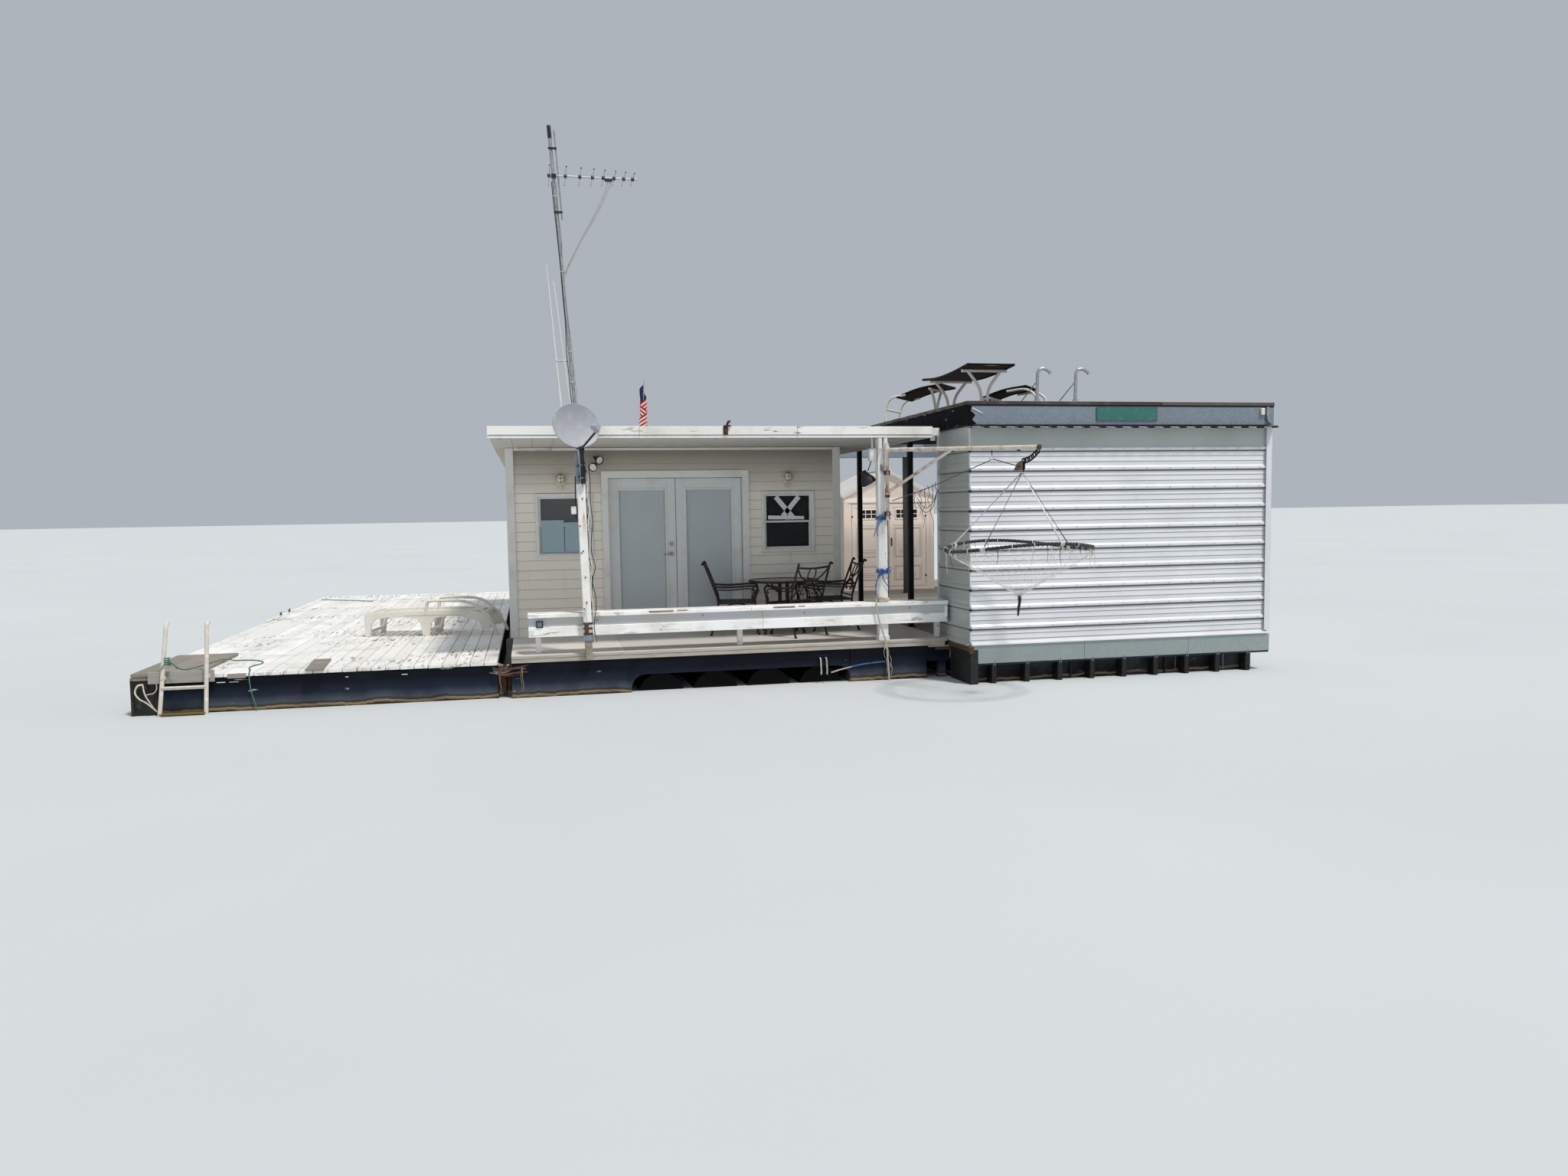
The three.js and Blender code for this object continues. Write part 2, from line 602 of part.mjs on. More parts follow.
function buildDockHouse() {
  const w = dockWall;
  const sheetPaint = paint(colours.panelWhite, 0.4, 0.2);
  const flare = 38;
  const outer = [[-flare, w.z0], [-flare, w.z0 + 12], [0, w.z0 + 34], ...ribProfile(w.z0 + 20, w.z1), [0, w.z1]];
  const outline = [[w.sheet, w.z0], ...outer, [w.sheet, w.z1]];
  add('dock_front_wall', alongX(outline.map(([d, z]) => [w.y0 + d, z]), w.x0, w.x1), sheetPaint);
  const sideStart = w.y0 + w.sheet + TOUCH;
  add('dock_right_wall', alongY(outline.map(([d, z]) => [w.x1 - d, z]), sideStart, w.y1), sheetPaint);
  add('dock_return_wall', alongY(outline.map(([d, z]) => [w.x0 + d, z]), sideStart, w.returnEnd), sheetPaint);

  const r = dockRoof;
  const fascia = cut(block(r.x0, r.x1, r.y0, r.y1, r.z0, r.z1), [
    block(r.x0 + r.plate, r.x1 - r.plate, r.y0 + r.plate, r.y1 - r.plate, r.z0 - 10, r.z1 + 10),
  ]);
  const frame = [fascia];
  for (const y of [1580, 3950, 6320]) {
    frame.push(block(r.x0 + 20, r.x1 - 20, y, y + 80, r.z0 + 60, r.z1 - 20));
  }
  // Steel posts down to the deck: x, y
  const posts = [[4960, 1620], [4960, 3990], [4960, 6360], [4960, 7360], [6830, 7360], [8650, 7360]];
  for (const [x, y] of posts) {
    frame.push(block(x - 38, x + 38, y - 38, y + 38, dock.top + TOUCH, r.z0 + 80));
  }
  frame.push(block(r.x0 + 20, r.x1 - 20, 7322, 7398, r.z0 + 20, r.z1 - 20));
  add('dock_roof_frame', join(frame), paint(colours.galvanised, 0.5, 0.6));
  add('roof_deck', block(r.x0 - 20, r.x1, r.y0 - 15, r.y1, r.z1 + TOUCH, r.z1 + r.deck),
    paint(colours.steelDark, 0.8));
  add('blank_sign', block(6450, 7230, r.y0 - 12, r.y0 - TOUCH, 3020, 3175), paint(colours.green, 0.7));
}

function buildDockFloat() {
  const under = dock.top - dock.board;
  add('dock_deck', block(dock.x0, dock.x1, dock.y0, dock.y1, under, dock.top), paint(colours.greyBoard, 0.85));
  const pieces = [
    block(dock.x0 + 20, dock.x1 - 150, dock.y0 + 150, dock.y1, -DRAFT, 230),
    block(dock.x0, dock.x1, dock.y0 + 5, dock.y1, 228, under - TOUCH),
  ];
  for (let x = 5190; x < dock.x1 - 200; x += 413.5) {
    pieces.push(block(x - 30, x + 30, dock.y0 + 10, dock.y0 + 160, -160, 240));
  }
  for (let y = dock.y0 + 560; y < dock.y1; y += 827) {
    pieces.push(block(dock.x1 - 160, dock.x1 - 10, y - 30, y + 30, -160, 240));
  }
  add('dock_float', join(pieces), paint(colours.galvanised, 0.7, 0.2));
}

// Resin shed on the back deck

function buildShed() {
  const s = shed;
  const base = dock.top + TOUCH;
  const middle = (s.x0 + s.x1) / 2;
  const gable = [[s.x0, base], [s.x1, base], [s.x1, s.eaves], [middle, s.ridge - 30], [s.x0, s.eaves]];
  const door = { x0: 6030, x1: 7540, z0: 520, z1: 2130, thick: 34, clear: 6, meet: 8 };
  const t = s.wall;
  const inside = [[s.x0 + t, base + 40], [s.x1 - t, base + 40], [s.x1 - t, s.eaves + 5],
    [middle, s.ridge - 80], [s.x0 + t, s.eaves + 5]];
  const hingeHeights = [140, 1300];
  const pinY = s.y0 - hinge.off;
  const shell = cut(alongY(gable, s.y0, s.y1), [
    alongY(inside, s.y0 + t, s.y1 - t),
    block(door.x0, door.x1, s.y0 - 10, s.y0 + t + 10, door.z0, door.z1),
  ]);
  const fixedHinges = [[door.x0 + door.clear / 2, -1], [door.x1 - door.clear / 2, 1]].flatMap(
    ([x, side]) => hingeHeights.flatMap((z) => hingeHalf(x, pinY, side, door.z0 + z, s.y0)),
  );
  add('shed_body', join([shell, ...fixedHinges]), paint(colours.resin, 0.6));

  const drop = (s.ridge - 30 - s.eaves) / (s.x1 - middle);
  const over = 60;
  const lift = 0.4;
  const roofOutline = [
    [s.x0 - over, s.eaves - drop * over + lift],
    [middle, s.ridge - 30 + lift],
    [s.x1 + over, s.eaves - drop * over + lift],
    [s.x1 + over, s.eaves - drop * over + 50],
    [middle, s.ridge + 20],
    [s.x0 - over, s.eaves - drop * over + 50],
  ];
  add('shed_roof', alongY(roofOutline, s.y0 - 60, s.y1 + 40), paint(colours.resinRoof, 0.7));

  const width = (door.x1 - door.x0 - door.meet) / 2 - door.clear;
  const height = door.z1 - door.z0 - 2 * door.clear;
  for (const [name, edge, sign] of [
    ['shed_door_left', door.x0 + door.clear, 1],
    ['shed_door_right', door.x1 - door.clear, -1],
  ]) {
    const span = (a, b) => (sign > 0 ? [a, b] : [-b, -a]);
    const panel = cut(block(...span(0, width), 0, door.thick, 0, height), [
      block(...span(110, width - 150), -5, 12, height - 330, height - 90),
      block(...span(110, width - 150), -5, 10, 120, height - 430),
    ]);
    const leafHinges = hingeHeights.flatMap((z) => (
      hingeHalf(-sign * (door.clear / 2), -hinge.off, sign, z - door.clear + hinge.knuckle + TOUCH, 0)
    ));
    const leaf = add(name, join([panel, ...leafHinges]), paint(colours.resin, 0.6));
    leaf.position.set(edge, s.y0, door.z0 + door.clear);
  }
}

// Ropes

// A rope along points chosen by hand, as one round tube
function ropeTube(points, radius) {
  const curve = new THREE.CatmullRomCurve3(points.map((point) => new THREE.Vector3(...point)));
  const sides = 8;
  const section = new THREE.Shape(Array.from({ length: sides }, (_, i) => {
    const angle = (i / sides) * 2 * Math.PI;
    return new THREE.Vector2(radius * Math.cos(angle), radius * Math.sin(angle));
  }));
  const steps = Math.min(78, Math.ceil(curve.getLength() / (radius * 4)));
  return new THREE.ExtrudeGeometry(section, { steps, extrudePath: curve, bevelEnabled: false });
}

function buildRopes() {
  // From the ladder's left rail over the step and the boards, and down the float's front
  add('deck_rope', ropeTube([
    [-3695, 0, 560], [-3672, 22, 532], [-3642, 70, 488], [-3602, 160, 459], [-3564, 330, 452.5],
    [-3522, 560, 452], [-3482, 790, 453], [-3438, 960, 459], [-3394, 1070, 440], [-3335, 1128, 420],
    [-3250, 1150, 417.8], [-3140, 1110, 417.8], [-3051, 1020, 417.8], [-2992, 890, 417.8],
    [-2980, 760, 417.8], [-3010, 640, 417.8], [-3035, 520, 417.8], [-3030, 400, 417.8],
    [-2998, 275, 419], [-2968, 180, 426], [-2956, 103, 433], [-2955, 67, 418.5],
    [-2955, 52, 383], [-2954, 52, 300], [-2938, 53, 192], [-2905, 54, 60], [-2880, 55, -60],
  ], 7), paint(colours.greenRope, 0.9));

  // From the right post over the bench's edge, and down past the deck into the water
  add('rail_rope', ropeTube([
    [4011.6, 108, 940.8], [4006, 84, 945], [3996, 58, 955], [3984, 31, 959.5], [3975, 1, 951.5],
    [3969, -21, 929], [3966, -28.5, 898], [3970, -29, 850], [3981, -29, 785], [4000, -29, 700],
    [4032, -29, 600], [4064, -29, 500], [4086, -29, 380], [4099, -29, 243], [4107, -30, 120],
    [4110, -31, 8], [4108, -32, -60],
  ], 10), paint(colours.paleRope, 0.95));
}

// Furniture

function buildTable() {
  const at = { x: 3160, y: 1400 };
  const top = porch.top + 680;
  const legs = [0, 1, 2, 3].flatMap((i) => {
    const angle = (i + 0.5) * (Math.PI / 2);
    const c = Math.cos(angle);
    const s = Math.sin(angle);
    return frameRods([
      [at.x + 70 * c, at.y + 70 * s, top - 12],
      [at.x + 70 * c, at.y + 70 * s, porch.top + 280],
      [at.x + 300 * c, at.y + 300 * s, porch.top + 20],
    ], 13);
  });
  add('patio_table', join([
    new THREE.CylinderGeometry(455, 455, 26, 24).rotateX(Math.PI / 2).translate(at.x, at.y, top - 13),
    new THREE.CylinderGeometry(85, 85, 16, 12).rotateX(Math.PI / 2).translate(at.x, at.y, porch.top + 300),
    ...legs,
    ...[0, 1, 2, 3].map((i) => {
      const angle = (i + 0.5) * (Math.PI / 2);
      const [x, y] = [at.x + 300 * Math.cos(angle), at.y + 300 * Math.sin(angle)];
      return rod([x, y, porch.top + TOUCH], [x, y, porch.top + 30], 19, 6);
    }),
  ]), paint(colours.wroughtIron, 0.5, 0.4));
}

// An armchair in its own frame: it faces -y, with its seat's middle at x = y = 0
function chairGeometry() {
  const half = 270;
  const bar = 28;
  const side = [
    [-266, 0], [-238, 0], [-216, 396], [214, 396], [316, 0], [346, 0], [262, 420], [428, 905], [400, 905],
    [302, 620], [-240, 620], [-262, 400],
  ];
  const underArm = [[-214, 424], [235, 424], [293, 592], [-208, 592]];
  const frames = [-half, half - bar].map((x) => (
    cut(alongX(side, x, x + bar), [alongX(underArm, x - 5, x + bar + 5)])
  ));
  const seat = alongX([[-235, 402], [225, 402], [225, 420], [-235, 420]], -half + 10, half - 10);
  const back = alongX([[260, 480], [277, 480], [419, 895], [402, 895]], -half + 10, half - 10);
  return join([seat, back, ...frames]);
}

function buildChairs() {
  const shape = chairGeometry();
  // Chairs: name, x, y, turn
  const rows = [
    ['patio_chair_left', 2570, 1480, Math.PI / 2 - 0.18],
    ['patio_chair_front', 3205, 1030, 3.604],
    ['patio_chair_right', 3790, 1530, -Math.PI / 2],
  ];
  for (const [name, x, y, turn] of rows) {
    const chair = add(name, shape, paint(colours.wroughtIron, 0.5, 0.4));
    chair.position.set(x, y, porch.top + TOUCH);
    chair.rotation.z = turn;
  }
}

function buildChaise() {
  const outline = [
    [-940, 0], [-860, 0], [-800, 190], [-700, 255], [-330, 265], [-200, 200], [-160, 0], [-60, 0],
    [-20, 190], [90, 262], [560, 262], [690, 190], [770, 0], [870, 0], [900, 300],
    [640, 385], [250, 345], [-900, 345],
  ];
  const chaise = add('white_chaise', alongY(outline, -330, 330), paint(colours.whitePlastic, 0.5));
  chaise.position.set(-1240, 3450, sunDeck.top + TOUCH);
  chaise.rotation.z = -0.2;
}

// A roof lounger in its own frame, its head along +x: a sling on forked posts
function loungerGeometry() {
  const half = 300;
  const sling = [[-820, 480], [-300, 440], [250, 448], [780, 485], [780, 510], [250, 473], [-300, 465], [-820, 505]];
  const forks = [-560, 560].flatMap((x) => [-1, 1].flatMap((side) => frameRods([
    [x, side * 210, 466],
    [x, side * 40, 230],
    [x, side * 40, 0],
  ], 14)));
  return join([alongY(sling, -half - 5, half + 5), ...forks]);
}

// A short one: its sling slopes, with bowed legs at the low end and forked posts at the high end
function shortLoungerGeometry() {
  const half = 300;
  const sling = [[-330, 330], [0, 430], [330, 470], [330, 495], [0, 455], [-330, 355]];
  const forks = [-1, 1].flatMap((side) => frameRods([
    [150, side * 210, 462],
    [150, side * 40, 230],
    [150, side * 40, 0],
  ], 14));
  const bows = [-1, 1].flatMap((side) => frameRods([
    [-220, side * 290, 376],
    [-420, side * 290, 330],
    [-500, side * 290, 180],
    [-500, side * 290, 0],
  ], 14));
  return join([alongY(sling, -half - 5, half + 5), ...forks, ...bows]);
}

function buildRoofFurniture() {
  const top = dockRoof.z1 + dockRoof.deck + TOUCH;
  // Loungers: name, shape, x, y, turn
  const rows = [
    ['roof_lounger_1', loungerGeometry(), 5435, 780, -Math.PI / 2],
    ['roof_lounger_2', shortLoungerGeometry(), 5490, 2440, -0.684],
    ['roof_lounger_3', shortLoungerGeometry(), 6780, 2540, -0.684],
  ];
  for (const [name, shape, x, y, turn] of rows) {
    const lounger = add(name, shape, paint(colours.sling, 0.8));
    lounger.position.set(x, y, top);
    lounger.rotation.z = turn;
  }

  const rails = [0, 480].flatMap((shift) => frameRods([
    [5760 + shift, -560, 12],
    [5770 + shift, -560, 300],
    [5810 + shift, -560, 375],
    [5880 + shift, -560, 390],
    [5930 + shift, -560, 330],
  ], 19, 6));
  const handrails = add('roof_handrails', join([block(5700, 6310, -600, -520, 0, 14), ...rails]),
    paint(colours.aluminium, 0.35, 0.9));
  handrails.position.z = top;
}

function buildFlag() {
  const foot = cabinRoof.z1 + TOUCH;
  const at = { x: 1340, y: 790 };
  add('flag', join([
    block(at.x - 40, at.x + 40, at.y - 40, at.y + 40, foot, foot + 30),
    rod([at.x, at.y, foot + 10], [at.x + 25, at.y, foot + 590], 8),
    block(at.x - 60, at.x + 24, at.y - 10, at.y + 10, foot + 90, foot + 560),
  ]), paint(colours.flagRed, 0.9));
}

buildSunDeck();
buildSwimLadder();
buildCabinFloat();
buildCouplings();
buildCabin();
buildFrenchDoor();
buildPorch();
buildMast();
buildDavit();
buildDockHouse();
buildDockFloat();
buildShed();
buildRopes();
buildTable();
buildChairs();
buildChaise();
buildRoofFurniture();
buildFlag();

// The boat stands on its floats' bottoms, with the middle of its outline at x = y = 0
boat.updateMatrixWorld(true);
const middle = new THREE.Box3().setFromObject(boat, true).getCenter(new THREE.Vector3());
boat.position.set(-middle.x, -middle.y, DRAFT);

export default boat;
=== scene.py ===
"""A houseboat on its coupled floats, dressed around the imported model.

Lengths are metres in the boat's own frame: x runs right along the front, y runs back from the porch
deck's front edge, and z is up from the water. A finished mesh is then moved by ORIGIN.
"""
import math
import random

import bmesh
import bpy
from mathutils import Matrix, Vector


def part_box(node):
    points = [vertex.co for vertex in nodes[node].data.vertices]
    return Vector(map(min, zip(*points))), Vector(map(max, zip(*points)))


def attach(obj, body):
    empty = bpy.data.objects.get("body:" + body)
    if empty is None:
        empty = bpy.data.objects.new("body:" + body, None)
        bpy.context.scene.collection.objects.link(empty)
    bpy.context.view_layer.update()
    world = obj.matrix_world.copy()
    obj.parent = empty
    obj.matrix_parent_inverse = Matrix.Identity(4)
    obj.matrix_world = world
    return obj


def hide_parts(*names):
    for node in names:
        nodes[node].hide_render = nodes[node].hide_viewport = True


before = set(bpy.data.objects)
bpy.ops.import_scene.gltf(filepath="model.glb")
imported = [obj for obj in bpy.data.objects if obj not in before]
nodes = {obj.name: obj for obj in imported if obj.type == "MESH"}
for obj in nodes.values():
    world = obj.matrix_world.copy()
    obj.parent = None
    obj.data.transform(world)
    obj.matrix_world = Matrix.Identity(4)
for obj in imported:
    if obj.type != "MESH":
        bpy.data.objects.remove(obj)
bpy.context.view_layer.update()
scene = bpy.context.scene

TURN = 2 * math.pi
DRAFT = 0.35                # depth of the floats below the water
LAP = 0.122                 # height of one lap of siding

# Tops of the decks and the roof, with the hair's breadth by which things stand clear of them
SUN_TOP, DOCK_TOP, PORCH_TOP, ROOF_DECK_TOP, CABIN_ROOF_TOP = 0.4103, 0.4503, 0.4703, 3.2403, 3.0003

deck_low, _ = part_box("porch_deck")
ORIGIN = Vector((deck_low.x + 0.25, deck_low.y, DRAFT))


def box(node):
    """A CAD node's lowest and highest corners in the boat's own frame."""
    low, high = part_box(node)
    return low - ORIGIN, high - ORIGIN


# Camera, floor and light

CAMERA_PLACE = Vector((0, -12.81, 2.05))
CAMERA_YAW, CAMERA_PITCH, CAMERA_ROLL = math.radians(12.56), math.radians(3.98), math.radians(-0.89)
CAMERA_LENS, CAMERA_SENSOR = 26.0, 36.0
FLOOR_HALF = 300.0


def place_camera():
    """The photograph's camera: it looks a little right, a little down, and leans slightly."""
    forward = Vector((math.sin(CAMERA_YAW), math.cos(CAMERA_YAW), 0))
    level = Vector((math.cos(CAMERA_YAW), -math.sin(CAMERA_YAW), 0))
    up = Vector((0, 0, 1))
    aim = math.cos(CAMERA_PITCH) * forward - math.sin(CAMERA_PITCH) * up
    top = math.sin(CAMERA_PITCH) * forward + math.cos(CAMERA_PITCH) * up
    right = math.cos(CAMERA_ROLL) * level + math.sin(CAMERA_ROLL) * top
    above = -math.sin(CAMERA_ROLL) * level + math.cos(CAMERA_ROLL) * top
    data = bpy.data.cameras.new("camera")
    data.lens = CAMERA_LENS
    data.sensor_width = CAMERA_SENSOR
    data.clip_end = 1000
    camera = bpy.data.objects.new("camera", data)
    turn = Matrix((right, above, -aim)).transposed().to_4x4()
    camera.matrix_world = Matrix.Translation(ORIGIN + CAMERA_PLACE) @ turn
    scene.collection.objects.link(camera)
    scene.camera = camera


def place_lights():
    """A soft high key from the front right, as the deck's shadows lie, a pale sky all round, and a soft fill
    under the dock house's roof for the shed behind it."""
    world = bpy.data.worlds.new("sky")
    scene.world = world
    world.use_nodes = True
    sky = world.node_tree.nodes["Background"]
    sky.inputs["Color"].default_value = colour("#dde5ee")
    sky.inputs["Strength"].default_value = 0.58
    data = bpy.data.lights.new("key", "SUN")
    data.energy = 2.75
    data.angle = math.radians(7)
    data.color = colour("#fffaf3")[:3]
    key = bpy.data.objects.new("key", data)
    key.rotation_euler = Vector((0.3, -0.46, 1)).to_track_quat("Z", "Y").to_euler()
    scene.collection.objects.link(key)
    data = bpy.data.lights.new("fill", "AREA")
    data.shape = "RECTANGLE"
    data.size, data.size_y = 2.4, 1.6
    data.energy = 62
    fill = bpy.data.objects.new("fill", data)
    fill.location = ORIGIN + Vector((6.5, 4.6, 1.9))
    fill.rotation_euler = Vector((0, -1, 0.05)).to_track_quat("Z", "Y").to_euler()
    fill.visible_camera = False
    scene.collection.objects.link(fill)
    scene.view_settings.view_transform = "Standard"


def place_floor():
    """A wide level floor at the waterline."""
    bm = bmesh.new()
    bmesh.ops.create_grid(bm, x_segments=1, y_segments=1, size=FLOOR_HALF)
    mesh = bpy.data.meshes.new("floor")
    bmesh.ops.translate(bm, verts=bm.verts, vec=(0, 0, ORIGIN.z))
    bm.to_mesh(mesh)
    bm.free()
    mesh.materials.append(studio_floor())
    floor = bpy.data.objects.new("floor", mesh)
    scene.collection.objects.link(floor)


# Materials

def colour(code):
    """An sRGB hex code as linear red, green, blue and alpha."""
    shares = [int(code[i:i + 2], 16) / 255 for i in (1, 3, 5)]
    return [s / 12.92 if s <= 0.04045 else ((s + 0.055) / 1.055) ** 2.4 for s in shares] + [1.0]


def wire(tree, node, sockets):
    """Sets or links a node's inputs. A value is a number, a list, a hex code or another node's output."""
    for key, value in sockets.items():
        if isinstance(value, bpy.types.NodeSocket):
            tree.links.new(value, node.inputs[key])
        else:
            node.inputs[key].default_value = colour(value) if isinstance(value, str) else value


def add(tree, kind, sockets=None, stops=None, **settings):
    """Adds a node with its settings and links. stops are a ramp's (place, hex code) pairs."""
    node = tree.nodes.new("ShaderNode" + kind)
    for key, value in settings.items():
        setattr(node, key, value)
    if stops:
        ramp = node.color_ramp
        while len(ramp.elements) < len(stops):
            ramp.elements.new(0.5)
        for element, (place, code) in zip(ramp.elements, stops):
            element.position = place
            element.color = colour(code)
    wire(tree, node, sockets or {})
    return node


def stains(tree, size, low, high, stretch=(1, 1, 1), detail=4.0, least=0.0, most=1.0):
    """A mask of patches about size metres across: least where the noise is under low, most over high."""
    spot = add(tree, "TexCoord").outputs["Object"]
    spread = add(tree, "Mapping", {"Vector": spot, "Scale": stretch}).outputs[0]
    noise = add(tree, "TexNoise", {"Vector": spread, "Scale": 1 / size, "Detail": detail, "Roughness": 0.62})
    return add(tree, "MapRange", {0: noise.outputs[0], 1: low, 2: high, 3: least, 4: most}).outputs[0]


def layered(tree, base, coats):
    """A base colour under coats of (mask, colour). A mask is a node's output or the settings of stains, and
    a base of two colours runs between them by each board's own tone."""
    if isinstance(base, tuple):
        coats = [(add(tree, "Attribute", attribute_name="tone").outputs["Fac"], base[1]), *coats]
        base = base[0]
    for mask, top in coats:
        mask = stains(tree, *mask) if isinstance(mask, tuple) else mask
        base = add(tree, "Mix", {0: mask, 6: base, 7: top}, data_type="RGBA").outputs[2]
    return base


def new_material(name):
    material = bpy.data.materials.new(name)
    material.use_nodes = True
    return material


def surface(material, base, coats, relief=(), roughness=0.5, metallic=0.0, **more):
    """Finishes a material: layered colour, and relief of (height, depth in metres), each over the one before.
    A height or the roughness may be the settings of stains."""
    tree = material.node_tree
    sockets = {key.replace("_", " "): value for key, value in more.items()}
    sockets["Base Color"] = layered(tree, base, coats)
    sockets["Metallic"] = metallic
    sockets["Roughness"] = stains(tree, *roughness) if isinstance(roughness, tuple) else roughness
    for height, depth in relief:
        height = stains(tree, *height) if isinstance(height, tuple) else height
        below = {"Normal": sockets["Normal"]} if "Normal" in sockets else {}
        sockets["Normal"] = add(tree, "Bump", {"Height": height, "Distance": depth, **below}).outputs[0]
    wire(tree, tree.nodes["Principled BSDF"], sockets)
    return material


def studio_floor():
    # Matt pale studio board: even, with no gloss
    return surface(new_material("pale_studio_floor"), "#c6cbce", [((6.0, 0.3, 0.8), "#ccd1d4")], (), 0.9)


def float_enamel(name, stops, cloud, scuff, share=0.71):
    # Marine enamel brushed on steel plate: chalky lower down, with scum and rust along the water
    material = new_material(name)
    tree = material.node_tree
    height = add(tree, "SeparateXYZ", {0: add(tree, "TexCoord").outputs["Object"]}).outputs[2]
    ragged = stains(tree, 0.35, 0.2, 0.8, (1, 1, 0.3))
    lifted = add(tree, "Math", {0: ragged, 1: -0.06, 2: height}, operation="MULTIPLY_ADD").outputs[0]
    level = add(tree, "MapRange", {0: lifted, 1: DRAFT - 0.08, 2: DRAFT + 0.34}).outputs[0]
    bands = add(tree, "ValToRGB", {0: level}, stops=stops).outputs[0]
    coats = [((0.5, 0.5, 0.85), cloud), ((0.09, share, share + 0.04, (0.25, 1, 2)), scuff),
             ((0.16, 0.7, 0.78, (1.6, 1, 0.5)), "#3a2418")]
    return surface(material, bands, coats, [((0.6, 0.2, 0.8), 0.012)],
                   (0.3, 0.3, 0.7, (1, 1, 1), 4.0, 0.32, 0.62), Specular_IOR_Level=0.14)


def peeling_paint(name, along, wear, bare="#8b8376", dark="#e2e0db", pale="#f5f4f0"):
    # White deck paint flaking off grey boards: bare streaks run with the grain
    material = new_material(name)
    tree = material.node_tree
    stretch = [1.0, 1.0, 1.0]
    stretch[along] = 0.14
    flakes = stains(tree, 0.035, wear - 0.06, wear, stretch, 6)
    worn = stains(tree, 0.9, 0.46, 0.62)
    chips = add(tree, "Math", {0: flakes, 1: worn}, operation="MULTIPLY").outputs[0]
    few = stains(tree, 0.03, wear + 0.1, wear + 0.13, stretch, 5)
    bald = add(tree, "Math", {0: chips, 1: few}, operation="MAXIMUM").outputs[0]
    grain = layered(tree, bare, [((0.006, 0.4, 0.65, stretch), "#6a6358")])
    return surface(material, (dark, pale), [((0.5, 0.5, 0.85), "#c9c3b4"), (bald, grain)],
                   [((0.006, 0.3, 0.7, stretch), 0.0006), (bald, -0.0015)],
                   add(tree, "MapRange", {0: bald, 3: 0.5, 4: 0.85}).outputs[0])


def weathered_board(name, dark, pale, along):
    # Bare timber left to the weather: silver grey, with dark grain lines
    stretch = [1.0, 1.0, 1.0]
    stretch[along] = 0.08
    coats = [((0.02, 0.5, 0.75, stretch, 6), dark), ((0.4, 0.5, 0.8), pale)]
    return surface(new_material(name), (dark, pale), coats, [((0.008, 0.3, 0.7, stretch), 0.0012)], 0.8)


def lap_vinyl():
    # Extruded vinyl siding: satin cream with a faint pressed grain, a painted shadow under each lap and
    # painted shade near the eaves
    material = new_material("cream_vinyl_siding")
    tree = material.node_tree
    height = add(tree, "SeparateXYZ", {0: add(tree, "TexCoord").outputs["Object"]}).outputs[2]
    rise = add(tree, "Math", {0: height, 1: DRAFT + PORCH_TOP}, operation="SUBTRACT").outputs[0]
    laps = add(tree, "Math", {0: rise, 1: LAP}, operation="DIVIDE").outputs[0]
    share = add(tree, "Math", {0: laps}, operation="FRACT").outputs[0]
    # painted shadow: a dark line along the foot of each lap
    line = add(tree, "MapRange", {0: share, 1: 0.93, 2: 0.985}).outputs[0]
    # painted shade: the siding darkens towards the eaves, where the roof shades it
    eaves_shade = add(tree, "MapRange", {0: height, 1: DRAFT + 2.25, 2: DRAFT + 2.8, 4: 0.95}).outputs[0]
    coats = [((1.3, 0.35, 0.75), "#efe9dc"), ((0.12, 0.6, 0.9, (1, 1, 0.12)), "#d6cfbf"),
             (eaves_shade, "#8f887c"), (line, "#a1988a")]
    return surface(material, "#f7f1e6", coats, [((0.012, 0.3, 0.7, (0.12, 0.12, 1)), 0.0008)])


def white_vinyl(name="white_vinyl_trim", code="#e6e5e1", roughness=0.4):
    # Extruded white vinyl: satin and even, a little grey where hands and rain reach it
    return surface(new_material(name), code, [((0.25, 0.5, 0.85), "#cfcdc6")],
                   [((0.02, 0.3, 0.7), 0.0002)], roughness)


def clear_glass(name, alpha, dark, pale):
    # Float glass: clear, with sharp reflections and a green-grey body
    return surface(new_material(name), dark, [((0.3, 0.4, 0.8), pale)], (), 0.03,
                   IOR=1.5, Alpha=alpha, Specular_IOR_Level=0.3)


def enamelled_sheet(name, dark, pale, run):
    # Coil-coated steel sheet: satin, with a little dirt run down it
    coats = [((0.8, 0.4, 0.75), dark), ((0.08, 0.66, 0.95, (1, 1, 0.35)), run),
             ((0.03, 0.78, 0.82), "#7c6a58")]
    return surface(new_material(name), pale, coats, [((0.7, 0.2, 0.8), 0.004)], 0.34, Coat_Weight=0.15)


def galvanised(name="galvanised_steel", dark="#828d98", pale="#94a0ac", bloom="#a9b3bd"):
    # Zinc coat gone dull: a faint crystal spangle, with long soft streaks of white bloom
    material = new_material(name)
    tree = material.node_tree
    spot = add(tree, "TexCoord").outputs["Object"]
    spangle = add(tree, "TexVoronoi", {"Vector": spot, "Scale": 60.0}).outputs["Color"]
    shade = add(tree, "SeparateColor", {0: spangle}).outputs[0]
    coats = [(shade, pale), ((0.9, 0.4, 0.85, (0.4, 1, 2)), dark), ((0.3, 0.6, 0.95, (0.3, 1, 2)), bloom)]
    return surface(material, dark, coats, [((0.5, 0.2, 0.8), 0.006)], 0.5, 0.5)


def rusted_steel(name="rusted_steel", sound="#4c4038", share=0.42):
    # Mild steel rusted through its paint: rough orange-brown scale over dark metal
    material = new_material(name)
    scale = layered(material.node_tree, "#472c20", [((0.03, 0.35, 0.65), "#744930")])
    return surface(material, sound, [((0.08, share, share + 0.14), scale)],
                   [((0.012, 0.3, 0.7), 0.002)], 0.85, 0.15)


